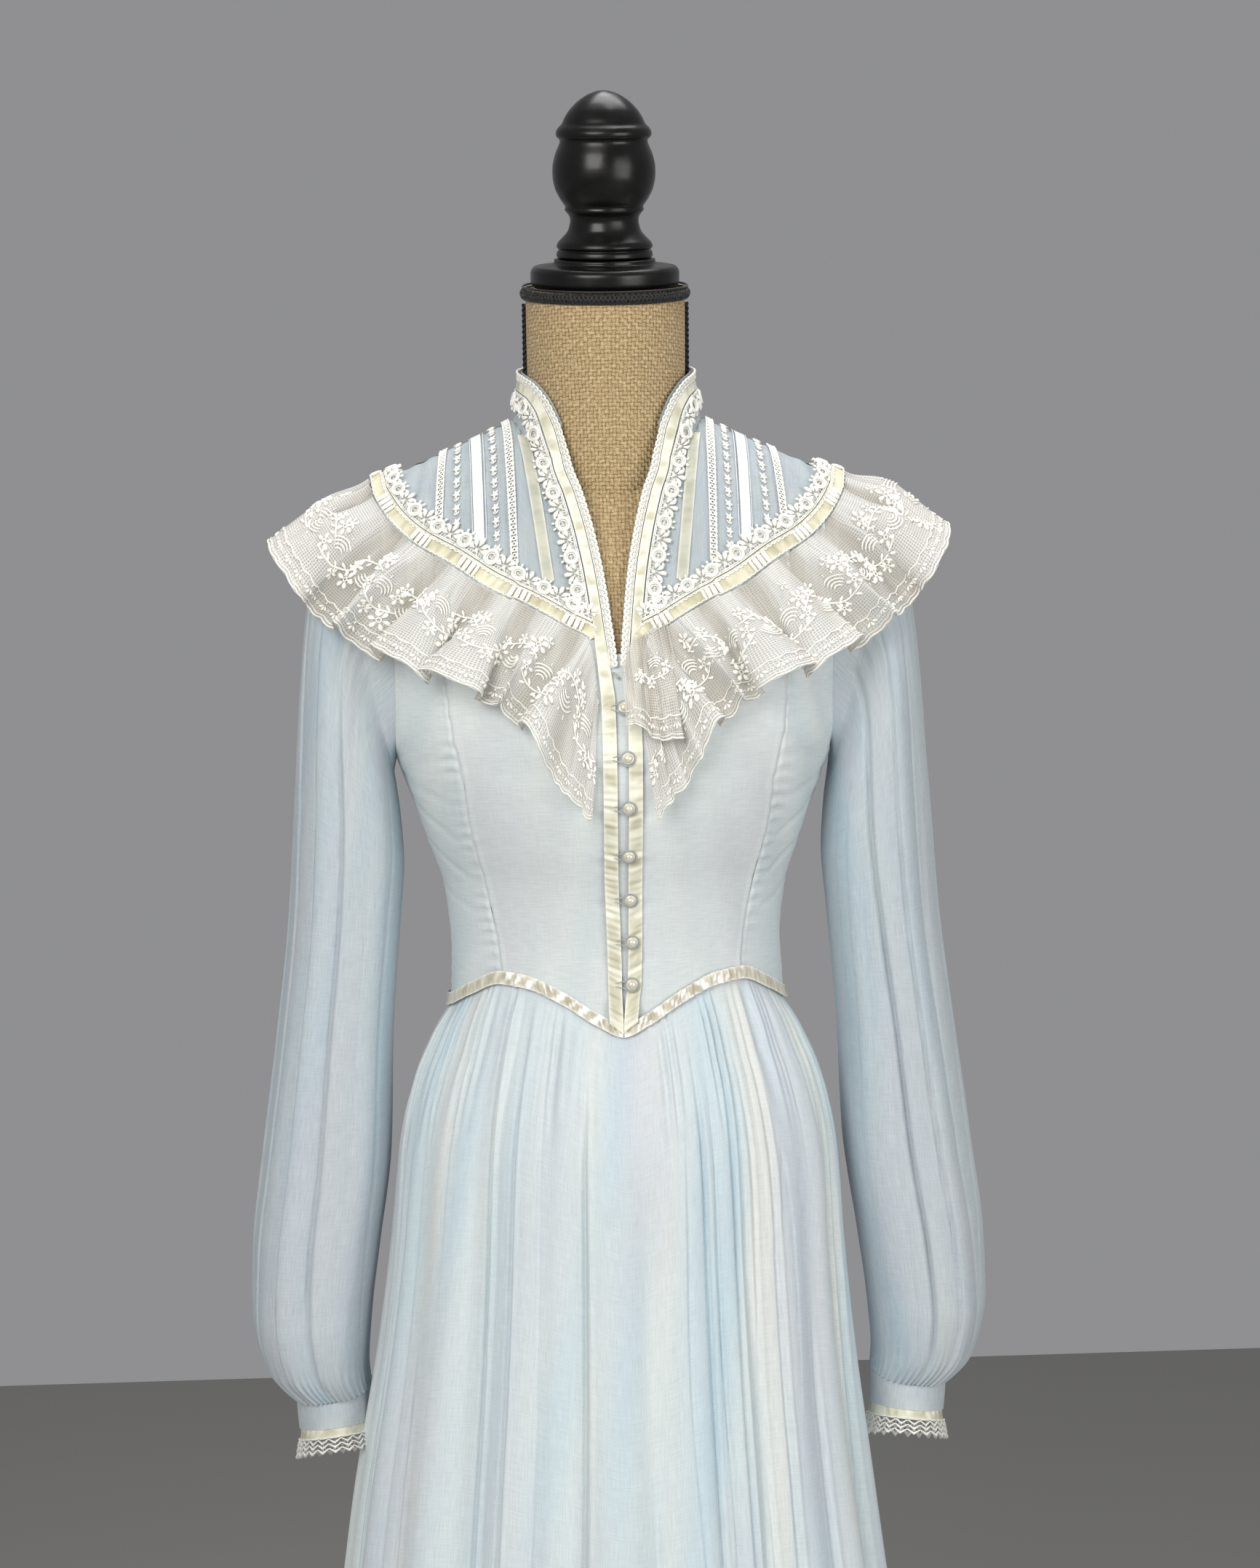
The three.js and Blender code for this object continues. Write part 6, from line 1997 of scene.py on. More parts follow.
    def neck_trims(self, side: Side) -> list:
        """Picot edging, satin ribbon and daisy lace beside the neck edge, with the ribbon down the front.

        Args:
            side: the side of the body.

        Returns:
            The pieces.
        """
        word = side.word
        end = 1.997
        edging = NeckBand.chart(side, 0.0, end, 0.2, PICOT, TRIM, 330, 7)
        picot = dress_piece(Lace.run(edging, Lace.picot(), 4.4, 0.0, f"picot_edging_{word}"), Goods.LACE,
                            f"neck_picot_{word}")
        tape = NeckBand.chart(side, 0.0, end, 2.2, PICOT, TRIM - 0.5, 330, 4)
        tape = dress_piece(tape.sheet(f"picot_tape_{word}"), Goods.LACE)
        share = np.linspace(-0.5, 0.5, 9)[None, :]
        foot = 1035.5 + 0.85 * np.abs(np.abs(FRONT_RIBBON.at(1045, word)) + share * RIBBON)
        z = mix(foot, 1250, np.linspace(0, 1, 200)[:, None])
        middle = np.abs(FRONT_RIBBON.at(z, word))
        middle = middle + (RIBBON / 2 + 0.1 - middle) * (1 - ease(z, 1040, 1066))
        low = Chart(Figure.on_side(middle + share * RIBBON, z,
                                   -1)).lifted(3.5 + 2.9 * (1 - ease(z, 1050, 1060))).points
        high = mirrored(NeckBand.chart(Side.RIGHT, 0.22, end, 6, 12, 3.5, 330, 9).points, Side.RIGHT)
        bridge = mix(low[-1], high[0], np.linspace(0, 1, 45)[1:-1, None, None])
        chart = Chart(mirrored(np.concatenate([low, bridge, high]), side))
        amount = 1.0 - 0.75 * ease(chart.along, 190, 290)
        satin = Ribbon(0.42, 6.5, 11 + side.value)
        ribbon = satin.make(chart, f"satin_ribbon_front_{word}", amount, f"front_ribbon_{word}")
        start = PICOT + RIBBON - 1.2
        band = NeckBand.chart(side, 0.26, end, start, start + DAISY_WIDTH, 3.1, 320, 9)
        lace = Lace.run(band, Lace.daisy(), DAISY_REPEAT, 0, f"daisy_edging_neck_{word}")
        mesh = NeckBand.chart(side, 0.26, end, start, start + 8.6, 2.7, 320, 6)
        mesh = dress_piece(mesh.sheet(f"daisy_mesh_neck_{word}"), Goods.MESH)
        return [picot, tape, ribbon, mesh, dress_piece(lace, Goods.LACE, f"neck_daisy_lace_{word}")]


# ------------ ruffle


@dataclass
class Ruffle:
    """Embroidered net ruffle over the shoulders, with its ribbon and the daisy lace above."""

    def build(self) -> None:
        """Makes both sides."""
        for side in Side:
            chart, tone = self.net(side)
            trims = [self.embroidery(chart, side), self.border(chart, f"net_border_{side.word}"),
                     *self.ribbon(side),
                     *self.lace(side)]
            if side is Side.RIGHT:
                trims += self.flap()
            made = dress_piece(chart.sheet(f"net_ruffle_{side.word}", tone), Goods.NET, f"ruffle_{side.word}")
            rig.sheet(made, held="gathered", rests_on=["form_torso"], with_pieces=trims, **chart.cut())

    @staticmethod
    def wave(at: Array) -> tuple[Array, Array]:
        """Wave height and phase along the ruffle, crests from the table and troughs half way between them.

        Args:
            at: share along the ruffle.

        Returns:
            The height and the phase.
        """
        keys = RUFFLE_WAVES.keys
        i = np.clip(np.searchsorted(keys, at, side="right") - 1, 0, len(keys) - 2)
        phase = np.where(at >= keys[-1], 0, (at - keys[i]) / (keys[i + 1] - keys[i]))
        return np.cos(2 * np.pi * phase) * RUFFLE_WAVES.at(at, "high"), 2 * np.pi * phase

    def net(self, side: Side) -> tuple[Chart, Array]:
        """The ruffle's surface, and its tone, with painted shade in the troughs of its folds.

        Args:
            side: the side of the body.

        Returns:
            The surface and its tone.
        """
        at = np.linspace(0.004, 1.992, 490)[:, None]
        v = np.linspace(0, 1, 32)[None, :]
        flat = Chart(RuffleLine.beside(at, np.array([[-RUFFLE_FALLS_FROM, 0.0]])))
        start, normal = flat.points[:, :1], flat.normals[:, :1]
        tip = RuffleLine.tip(at)
        spread = 10 * ease(at, 0.02, 0.1) * (1 - ease(at, 0.2, 0.3))
        drop = RUFFLE_FALL.at(at, "down")
        sag, draw_in = (28, 17) if side is Side.LEFT else (21, 13)
        fall = point(RUFFLE_FALL.at(at, "out") + spread - draw_in * tip, -RUFFLE_FALL.at(at, "forward"),
                     -drop - sag * tip)
        ahead = unit(RuffleLine.beside(np.minimum(2, at + 0.01), 0 * at)
                     - RuffleLine.beside(np.maximum(0, at - 0.01), 0 * at))
        across = unit(np.cross(ahead, fall))
        across = across * np.where(np.sum(across * normal, -1, keepdims=True) < 0, -1, 1)
        stand = 3.6 + 2.4 * (1 - ease(at, 0.12, 0.3)) + (4.5 + 6 * tip) * ease(v, 0, 0.5)
        wave, phase = self.wave(at)
        calm = 0.2 + 0.8 * ease(at, 0.12, 0.24)
        wave = wave * calm
        steps = np.linalg.norm(np.diff(start[:, 0], axis=0), axis=-1)
        length = np.concatenate([[0], np.cumsum(steps)])[:, None]
        seed = 200 + side.value
        fine = np.maximum(-0.5, 0.9 * ripple(length / 5.2, seed, 6)) * (1 - ease(v, 0.05, 0.6))
        mid = 1.9 * ripple(length / 13 + 0.3 * v, seed + 1) * ease(v, 0.02, 0.3)
        out = (wave + 2) * (0.08 + 0.92 * v ** 0.9) + fine + mid
        lean = calm * ease(v, 0.05, 1.1) * (RUFFLE_WAVES.at(at, "lean") * np.sin(phase)
                                            + 3.5 * np.sin(2 * phase))
        scallop = 1 + 0.018 * np.abs(np.sin(np.pi * length / 8.2)) * ease(v, 0.9, 1)
        points = (start + normal * stand[..., None] + fall * (v * scallop)[..., None]
                  + across * out[..., None] + ahead * lean[..., None])
        chart = Chart(mirrored(points, side), (side.value * 60, 6, 1250))
        # lower tone in the troughs of the waves and ripples: painted shade, where the net also lies double, with
        # random unevenness on top
        tone = np.clip(0.6 + 0.055 * (wave + 2 * mid) + 0.15 * ripple(length / 30 + v, seed + 2), 0, 1)
        return chart, tone

    def flap(self) -> list:
        """The right ruffle's front end, folded back over itself and the front ribbon.

        Returns:
            The pieces.
        """
        u, v = np.linspace(0, 1, 90)[:, None], np.linspace(0, 1, 34)[None, :]
        x = mix(1.4 + 0.6 * v, mix(30, 39, v ** 0.8), u)
        top = RuffleLine.height(np.maximum(14, mix(8, 33, u)), -1) - 3 - 16 * (1 - ease(u, 0, 0.3))
        z = mix(top, 1229 - 11 * u + 2 * np.sin(9 * u), v)
        wave = 2.6 * np.sin(2 * np.pi * (1.7 * u ** 1.2 + 0.1)) + 0.9 * ripple(u * 5, 66)
        lift = 5 + 12.5 * ease(v, 0, 0.75) + wave * ease(v, 0.1, 0.8) - 6 * ease(u, 0.86, 1) * ease(v, 0.2, 1)
        lift = lift + 0.9 * ripple(u * 11 + 0.4 * v, 61) * (1 - 0.6 * ease(v, 0.1, 0.7))
        chart = Chart(Figure.on_side(x, z + 0 * u, -1)).lifted(lift)
        # the tone follows the waves: painted shade in their troughs, with random unevenness on top
        tone = np.clip(0.45 + 0.08 * wave + 0.15 * ripple(u * 4 + v, 62), 0, 1) + 0 * v
        net = dress_piece(chart.sheet("net_flap_right", tone), Goods.NET)
        relief = Relief(chart)
        draw = np.random.default_rng(5)
        relief.add(self.sprig(draw).put(chart.along[-1] * 0.52, chart.across[-1] * 0.42, 14, 0.95))
        sprays = dress_piece(relief.make("net_flap_sprays", 0.25), Goods.SPRIG)
        return [net, sprays, self.border(chart, "net_flap_border")]

    @staticmethod
    def flower(petals: int = 6, size: float = 1.0) -> Motif:
        """An embroidered flower with an eye.

        Args:
            petals: how many petals.
            size: its scale.

        Returns:
            The motif.
        """
        parts = [Motif.petal(3.8, 2.9, 0.8, 0.9).put(0, 0, 360 * k / petals) for k in range(petals)]
        parts.append(Motif.ring(0.95, 0.35, 9))
        return Motif.joined(parts).put(0, 0, 0, size)

    @classmethod
    def sprig(cls, draw: np.random.Generator) -> Motif:
        """A spray: two flowers, a leafy stem and a nest of feather arcs.

        Args:
            draw: the random draws.

        Returns:
            The motif.
        """
        t = np.linspace(0, 1, 14)
        stem = np.column_stack([-15 + 30 * t, 5 * np.sin(3.0 * t) - 2])
        parts = [Motif.cord(stem, 0.6, 4), cls.flower(6, 1.35).put(-11, 6, draw.uniform(0, 60)),
                 cls.flower(5, 1.15).put(13, -5, draw.uniform(0, 60)), cls.flower(5, 0.9).put(0, 7, 20)]
        for k in range(9):
            i = 1 + k * 12 // 9
            ahead = math.degrees(math.atan2(*(stem[i + 1] - stem[i - 1])[::-1]))
            turn = ahead - 90 + (48 if k % 2 else -48)
            parts.append(Motif.petal(5.0, 2.3, 0.7).put(*stem[i], turn))
        for k in range(4):
            reach = 3.2 + 2.0 * k
            turn = np.radians(np.linspace(200 + 4 * k, 330 - 5 * k, 7))
            parts.append(Motif.cord(np.column_stack([3 + reach * np.cos(turn), -3.5 + reach * np.sin(turn)]),
                                    0.55, 4))
        for k in range(5):
            parts.append(Motif.petal(2.6, 1.1, 0.4, 10.6).put(3, -3.5, 115 + 30 * k + 45))
        return Motif.joined(parts)

    def embroidery(self, chart: Chart, side: Side) -> Piece:
        """Sprays over the ruffle's net.

        Args:
            chart: the surface it lies on.
            side: the side of the body.

        Returns:
            The object.
        """
        draw = np.random.default_rng(31 + side.value)
        relief = Relief(chart)
        depth = chart.across[-1]
        along = 16.0
        flip = False
        while along < chart.along[-1] - 14:
            low = draw.uniform(0.34, 0.5) if flip else draw.uniform(0.5, 0.62)
            relief.add(self.sprig(draw).put(along, depth * low, draw.uniform(-18, 18) + (180 if flip else 0),
                                            1.18, flip))
            relief.add(self.flower(5, 1.1).put(along + 15, depth * (0.78 - low * 0.9), draw.uniform(0, 70)))
            along += draw.uniform(27, 33)
            flip = not flip
        return dress_piece(relief.make(f"net_sprays_{side.word}", 0.25), Goods.SPRIG)

    @staticmethod
    def border(chart: Chart, name: str) -> Piece:
        """Two wavy cords with trefoils between, and the scalloped edge.

        Args:
            chart: the surface it lies on.
            name: the object's name.

        Returns:
            The object.
        """
        relief = Relief(chart)
        total, depth = chart.along[-1], chart.across[-1]
        pitch = 9.4
        count = int(total / pitch)
        x = np.linspace(0, count * pitch, count * 6 + 1)
        lobe = np.abs(np.sin(np.pi * x / pitch))
        relief.add(Motif.cord(np.column_stack([x, depth - 1.3 + 0.9 * lobe]), 0.62, 5))
        relief.add(Motif.cord(np.column_stack([x, depth - 3.4 + 0.9 * lobe]), 0.4, 4))
        relief.add(Motif.cord(np.column_stack([x, depth - 13.8 + 1.3 * lobe]), 0.5, 5))
        for k in range(count):
            for turn in (-42, 0, 42):
                relief.add(Motif.petal(4.0, 2.3, 0.6, 0.6).put((k + 0.5) * pitch, depth - 9.6, turn))
            relief.add(Motif.petal(2.4, 1.4, 0.45, 0.5).put((k + 0.5) * pitch, depth - 9.4, 180))
            relief.add(Motif.ring(0.8, 0.28, 7).put(k * pitch, depth - 7.4))
        return dress_piece(relief.make(name, 0.2), Goods.LACE)

    def ribbon(self, side: Side) -> list:
        """Satin ribbon threaded along the gathered edge, with the white bars it runs under.

        Args:
            side: the side of the body.

        Returns:
            The pieces.
        """
        chart = RuffleLine.chart(side, 0.175, 1.998, -RIBBON / 2, RIBBON / 2, 3.3, 460, 9)
        # the threaded ribbon takes the cream satin's copy in painted shade
        ribbon = Ribbon(0.3, 7, 301 + side.value,
                        Goods.THREADED).make(chart, f"threaded_ribbon_{side.word}", 1.0,
                                                       f"ruffle_ribbon_{side.word}")
        bars = Relief(chart)
        x = 12.0
        while x < chart.along[-1] - 10:
            for k in range(7):
                path = [(x + k * 2.0 + (0.8 if k % 2 else -0.2), y) for y in (-0.4, 2.2, 4.3, 6.4, 8.9)]
                bars.add(Motif.cord(path, 1.2, 6))
            x += 39.5
        x = np.linspace(2, chart.along[-1] - 2, int(chart.along[-1] * 0.9))
        for y, thick in ((0.5, 0.55), (RIBBON - 0.5, 0.5)):
            bars.add(Motif.cord(np.column_stack([x, y + 0.55 * np.sin(x * 2 * np.pi / 3.7)]), thick, 4))
        return [ribbon, dress_piece(bars.make(f"threading_bars_{side.word}", 0.5), Goods.LACE)]

    def lace(self, side: Side) -> list:
        """Daisy lace that stands above the ribbon, on its mesh.

        Args:
            side: the side of the body.

        Returns:
            The pieces.
        """
        start = RIBBON / 2 + 0.4
        chart = RuffleLine.chart(side, 0.205, 1.998, start, start + DAISY_WIDTH, 3.2, 430, 9)
        lace = Lace.run(chart, Lace.daisy(), DAISY_REPEAT, 0, f"daisy_edging_ruffle_{side.word}")
        mesh = RuffleLine.chart(side, 0.205, 1.998, start, start + 8.6, 2.8, 430, 6)
        return [dress_piece(lace, Goods.LACE, f"ruffle_daisy_lace_{side.word}"),
                dress_piece(mesh.sheet(f"daisy_mesh_ruffle_{side.word}"), Goods.MESH)]


# ------------ sleeves


@dataclass
class Sleeves:
    """Full sheer sleeves in long folds, bloused over cuffs with ribbon and lace."""

    def build(self) -> None:
        """Makes both sides."""
        for side in Side:
            chart, tone = self.sleeve(side)
            cuff = self.cuff(side)
            trims = self.cuff_trims(side)
            made = dress_piece(chart.sheet(f"full_sleeve_{side.word}", tone), Goods.SHEER,
                               f"sleeve_{side.word}")
            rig.sheet(made, held="gathered", rests_on=["form_torso"], with_pieces=[*cuff, *trims],
                     **chart.cut())

    @staticmethod
    def armhole(turn: Array) -> Array:
        """Armhole points of the bodice round the sleeve.

        Args:
            turn: angle round the sleeve.

        Returns:
            The points.
        """
        z = mix(1211, 1386.5, (1 + np.cos(turn)) / 2)
        edge = BODY.at(z, "arm")
        side = np.where(np.sin(turn) >= 0, -1, 1)
        middle = Figure.middle(z)
        roll = Figure.roll_at(np.maximum(0, Figure.ridge(edge) - z))
        depth = np.abs(Figure.y(edge, z, side, roll) - middle)
        around = np.abs(np.sin(turn))
        return point(edge + 0.6, middle + side * (np.maximum(depth * np.minimum(1, around * 3), 28 * around)
                                                  + 0.6), z)

    @staticmethod
    def surface(row: Array, turn: Array, folds: Array) -> Array:
        """Sleeve points by row of the table and angle from the outside over the front.

        Args:
            row: row of the sleeve's table.
            turn: angle from the outside over the front.
            folds: height of its folds.

        Returns:
            The points.
        """
        far_x, near_x, far_z, near_z, mid_y, deep = (SLEEVE.at(row, key) for key in
                                                     ("outX", "inX", "outZ", "inZ", "midY", "deep"))
        middle = point((far_x + near_x) / 2, mid_y, (far_z + near_z) / 2)
        arm = point((far_x - near_x) / 2, 0 * row, (far_z - near_z) / 2)
        fore = point(0 * row, -deep, 0 * row)
        squarer = 1 + 0.05 * np.sin(2 * turn) ** 2
        out = arm * (np.cos(turn) * squarer)[..., None] + fore * (np.sin(turn) * squarer)[..., None]
        guard = 1 - 0.75 * ease(-np.cos(turn), 0.55, 1)
        return middle + out + unit(out) * (folds * guard)[..., None]

    def sleeve(self, side: Side) -> tuple[Chart, Array]:
        """The sleeve's cloth and its tone.

        Args:
            side: the side of the body.

        Returns:
            The surface and its tone.
        """
        rows = np.concatenate([np.linspace(0, 1, 12, endpoint=False), np.linspace(1, 9, 56, endpoint=False),
                               np.linspace(9, 11, 34)])[:, None]
        turn = np.linspace(0, 2 * np.pi, 249)[None, :]
        seed = 400 + side.value
        draw = np.random.default_rng(seed)
        bend = 0.30 * np.sin(2 * turn + draw.uniform(0, 6)) + 0.16 * np.sin(3 * turn + draw.uniform(0, 6))
        slant = 0.035 * rows * np.sin(turn + draw.uniform(0, 6)) + 0.05 * np.sin(rows * 0.8 + turn)
        fold = SLEEVE.at(rows, "fold")
        height, panel, _ = pleats((turn + bend + slant) * 8 / (2 * np.pi), seed, 0.11)
        shallow, tint, reach = pleats((turn - 0.6 * bend - 1.6 * slant) * 15 / (2 * np.pi), seed + 3, 0.2)
        swell = np.sin(5 * turn + 1 + rows * 0.2)
        folds = fold * (0.95 * (height - 0.5) + 0.3 * swell)
        folds = folds + 0.16 * fold * (shallow - 0.4) * (0.3 + 0.7 * np.sin(rows * 0.55 + 6 * reach) ** 2)
        gathered = 1.5 * bell(rows, 11.0, 0.9) * (np.sin(46 * turn + 2.5 * np.sin(4 * turn)) - 0.2)
        head = 0.9 * ease(rows, 0, 0.5) * bell(rows, 0.8, 1.3) * np.sin(34 * turn + np.sin(3 * turn))
        folds = folds + gathered + head * np.clip(0.4 + np.cos(turn), 0, 1)
        low = np.broadcast_to(np.maximum(rows, 1), np.broadcast(rows, turn).shape)
        points = self.surface(low, turn + 0 * rows, folds)
        share = np.minimum(1, rows)[..., None]
        points = mix(self.armhole(turn + 0 * rows), points, share)
        chart = Chart(mirrored(points, side), (side.value * 190, 10, 1080), True)
        tone = 0.68 + 0.3 * (panel - 0.5) + 0.1 * (tint - 0.5) + 0.1 * ripple(rows / 4 + turn, seed + 1)
        # darker on the inner side, towards the body: painted shade
        inside = 0.32 * ease(-np.cos(turn), 0.1, 0.8)
        return chart, np.clip(tone - inside, 0, 1)

    @staticmethod
    def ring(down: Array, turn: Array, grow: Array | float = 0.0) -> Array:
        """Cuff points by distance down and angle round it.

        Args:
            down: distance down the cuff.
            turn: angle round it.
            grow: how much wider than the cuff.

        Returns:
            The points.
        """
        dx, dy = np.cos(turn), -np.sin(turn)
        slant = -3 * dx - down * 0.28 * dy
        return point(193.5 - down * 0.06 + (24.4 + grow) * dx, 17 + (37.6 + grow) * dy, 785 - down + slant)

    def band(self, side: Side, top: float, foot: float, grow: float, rows: int, columns: int = 220) -> Chart:
        """A band of the cuff as a chart with rows round it.

        Args:
            side: the side of the body.
            top: distance down the cuff to its top.
            foot: distance down the cuff to its foot.
            grow: how much wider than the cuff.
            rows: corners down it.
            columns: corners round it.

        Returns:
            The strip.
        """
        turn = np.linspace(0, 2 * np.pi, columns)[:, None]
        down = np.linspace(top, foot, rows)[None, :]
        flare = grow * (down - 28) / 9.5 if foot > 30 else grow
        return Chart(mirrored(self.ring(down + 0 * turn, turn + 0 * down, flare), side),
                     (side.value * 193, 17, 765))

    def cuff(self, side: Side) -> list:
        """The cuff's cloth, drawn into fine gathers.

        Args:
            side: the side of the body.

        Returns:
            The pieces.
        """
        turn = np.linspace(0, 2 * np.pi, 181)[None, :]
        down = np.linspace(-0.5, 22.5, 18)[:, None]
        fine = 0.2 * np.sin(52 * turn + 1.4 * np.sin(5 * turn)) * np.exp(-down / 5)
        gather = fine + 0.4 * np.sin(3 * turn + down / 9)
        points = self.ring(down + 0 * turn, turn + 0 * down, 0.5 + gather)
        chart = Chart(mirrored(points, side), (side.value * 193, 17, 770), True)
        # lighter on the gathers' crests and darker in their hollows: painted light and shade
        tone = np.clip(0.75 + 0.3 * gather, 0, 1)
        return [dress_piece(chart.sheet(f"gathered_cuff_{side.word}", tone), Goods.SHEER,
                            f"cuff_{side.word}")]

    def cuff_trims(self, side: Side) -> list:
        """The cuff's ribbon and its zigzag lace.

        Args:
            side: the side of the body.

        Returns:
            The pieces.
        """
        chart = self.band(side, 22.3, 30.3, 0.9, 9)
        ribbon = Ribbon(0.2, 8, 501 + side.value).make(chart, f"satin_ribbon_cuff_{side.word}", 1.0,
                                                       f"cuff_ribbon_{side.word}")
        chart = self.band(side, 30.0, 45.5, 1.6, 9, 300)
        pitch = chart.along[-1] / 26
        x = np.linspace(0, pitch, 5)
        parts = [Motif.cord(np.column_stack([x, 0.5 + 0 * x]), 0.9, 4)]
        for y, thick in ((1.6, 1.1), (5.6, 1.25), (9.8, 1.35)):
            parts.append(Motif.cord([(0, y), (pitch / 2, y + 3.7), (pitch, y)], thick, 6))
        parts += [Motif.cord([(pitch / 2, y), (pitch / 2, y + 4.0)], 0.4, 4) for y in (5.3, 9.4)]
        lace = Lace.run(chart, Motif.joined(parts), pitch, 0, f"zigzag_lace_{side.word}")
        return [ribbon, dress_piece(lace, Goods.LACE, f"cuff_lace_{side.word}")]


# ------------ skirt


@dataclass
class Skirt:
    """Gathered skirt in two widths with side seams, hemmed, under a waist ribbon."""

    front_columns: int = 410
    back_columns: int = 220

    def build(self) -> None:
        """Makes the skirt and the ribbon."""
        front, tone_front = self.width(-90, 90, 600, self.front_columns)
        back, tone_back = self.width(90, 270, 640, self.back_columns)
        made = dress_piece(front.sheet("skirt_front_width", tone_front), Goods.SKIRT, "skirt_front")
        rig.sheet(made, held="gathered", rests_on=["form_torso"],
                 with_pieces=[self.ribbon(side) for side in Side],
                 **front.cut())
        made = dress_piece(back.sheet("skirt_back_width", tone_back), Goods.SKIRT, "skirt_back")
        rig.sheet(made, held="gathered", rests_on=["form_torso"], **back.cut())

    @staticmethod
    def bend(away: Array) -> Array:
        """The shorter way round between two angles."""
        return (away + 180) % 360 - 180

    def width(self, start: float, end: float, seed: int, columns: int) -> tuple[Chart, Array]:
        """One width of the skirt and its tone.

        Args:
            start: angle at which it begins.
            end: angle at which it ends.
            seed: the number its draws start from.
            columns: corners across it.

        Returns:
            The surface and its tone.
        """
        degrees = np.linspace(start, end, columns)[None, :]
        top = WAIST.at(np.abs(self.bend(degrees)), "z") - 0.3
        drop = np.concatenate([np.linspace(0, 60, 34, endpoint=False),
                               np.linspace(60, 300, 40, endpoint=False),
                               np.linspace(300, 1000, 38, endpoint=False),
                               np.linspace(1000, 1020, 8)])[:, None]
        z = np.maximum(HEM, top - drop * (top - HEM) / 1020)
        down = top - z
        turn = np.radians(degrees) + 0 * z
        name = "front" if start < 0 else "back"
        loose = 1 - np.exp(-np.maximum(0, down - 4) / 17)
        half = mix(BODY.at(z, "half") + 1.1, SKIRT.at(z, "half"), loose)
        deep = mix(BODY.at(z, name) + 1.1, SKIRT.at(z, name), loose)
        arc = degrees * 1.95  # millimetres along the waist
        sway = 0.06 * ripple(down / 420 + arc / 120, seed + 9)
        fine = np.cos(2 * np.pi * (arc / 7.6 + 0.42 * ripple(arc / 34, seed) + 0.3 * sway))
        wide = np.cos(2 * np.pi * (arc / 47 + 0.35 * ripple(arc / 150, seed + 2) + sway))
        life = 0.75 + 0.45 * ripple(arc / 23, seed + 3)
        height, panel, reach = pleats(arc / 21 + 0.55 * ripple(arc / 62, seed + 1) + 0.5 * sway, seed + 1,
                                      0.15)
        span = 60 + 420 * reach ** 3
        calm = 1 - 0.85 * bell(degrees, 0, 8)
        out = (0.25 + 1.3 * ease(down, 2, 24)) * (1 - 0.97 * ease(down, 30, 110)) * fine * life * calm
        fade = 1 - ease(down, 0.35 * span, span)
        out = out + calm * (0.3 + 1.3 * ease(down, 4, 45)) * (height - 0.45) * fade
        swell = 14 * ease(down, 100, 360) * (1 - 0.6 * ease(down, 450, 900))
        half = half + swell * np.maximum(0, -np.sin(turn))
        long, plane, _ = pleats(arc / 43 + 0.5 * ripple(arc / 130, seed + 2) + 0.7 * sway, seed + 2, 0.09)
        out = out + 3.0 * ease(down, 25, 160) * (long - 0.45)
        small = 0.4 * ripple(arc / 30 + down / 900, seed + 4) * ease(down, 20, 100)
        out = out + 1.2 * ease(down, 30, 170) * wide + small
        out = out * (1 - bell(np.minimum(degrees - start, end - degrees), 0, 2.5))
        grow = ease(down, 20, 190) + np.maximum(0, down - 190) / 330
        for angle, size, depth in SKIRT_FOLDS:
            out = out - grow * depth * bell(self.bend(degrees - angle), 0, size)
        for angle, size, depth, begins in KNIFE_FOLDS:
            away = self.bend(degrees - angle - 0.7 * np.sin(down / 260 + angle))
            crease = np.exp(-np.abs(away / size) ** 1.6) - 0.35 * bell(away, 2.1 * size, 1.6 * size)
            out = out - depth * ease(down, begins, begins + 110) * crease
        draw = np.random.default_rng(seed + 5)
        for _ in range(14):
            at, height = draw.uniform(start, end), draw.uniform(60, 900)
            tilt, size, long = draw.uniform(-0.35, 0.35), draw.uniform(4, 9), draw.uniform(3.5, 9)
            x, y = self.bend(degrees - at), down - height
            out = out - draw.uniform(0.25, 0.55) * np.exp(-((y - tilt * 3 * x) / size) ** 2 - (x / long) ** 2)
        hem = 0.5 * bell(z - HEM, 21, 1.1)
        out = out - hem
        chart = Chart(point((half + out) * np.sin(turn), -(deep + out) * np.cos(turn), z + 0 * turn),
                      (0, 0, 600))
        strip = 0.54 + 0.09 * (plane - 0.5) + 0.05 * (panel - 0.5) * fade
        strip = strip + 0.22 * ripple(degrees / 21 + down / 2500, seed + 6)
        # darker where the folds sink in and lighter where they stand out: painted shade and light, over random strips
        tone = strip + 0.014 * np.clip(out, -8, 4) + 0.1 * ripple(degrees / 20 + down / 300, seed + 8)
        return chart, np.clip(tone, 0, 1)

    def ribbon(self, side: Side) -> Piece:
        """Half of the waist ribbon: strongly drawn up in front and smooth at the side and back.

        Args:
            side: the side of the body.

        Returns:
            The object.
        """
        angle = np.linspace(0.15, 179.95, 460)[:, None]
        share = np.linspace(-0.5, 0.5, 10)[None, :]
        level = WAIST.at(angle, "z") - 1.8 * bell(angle, 103, 13)
        flat = Chart(Figure.by_angle(angle + 0 * share, level + share * RIBBON))
        chart = Chart(mirrored(flat.lifted(4.8 - 0.9 * ease(angle, 34, 60) - 0.5 * share).points, side))
        amount = 1.0 - 0.85 * ease(angle[:, 0], 34, 50)
        ribbon = Ribbon(0.95, 6.4, 701 + side.value, Goods.WHITE_SATIN)
        # bright paints highlights on the crinkles in front
        return ribbon.make(chart, f"waist_satin_{side.word}", amount, f"waist_ribbon_{side.word}", bright=1.0)


# ------------ fastenings


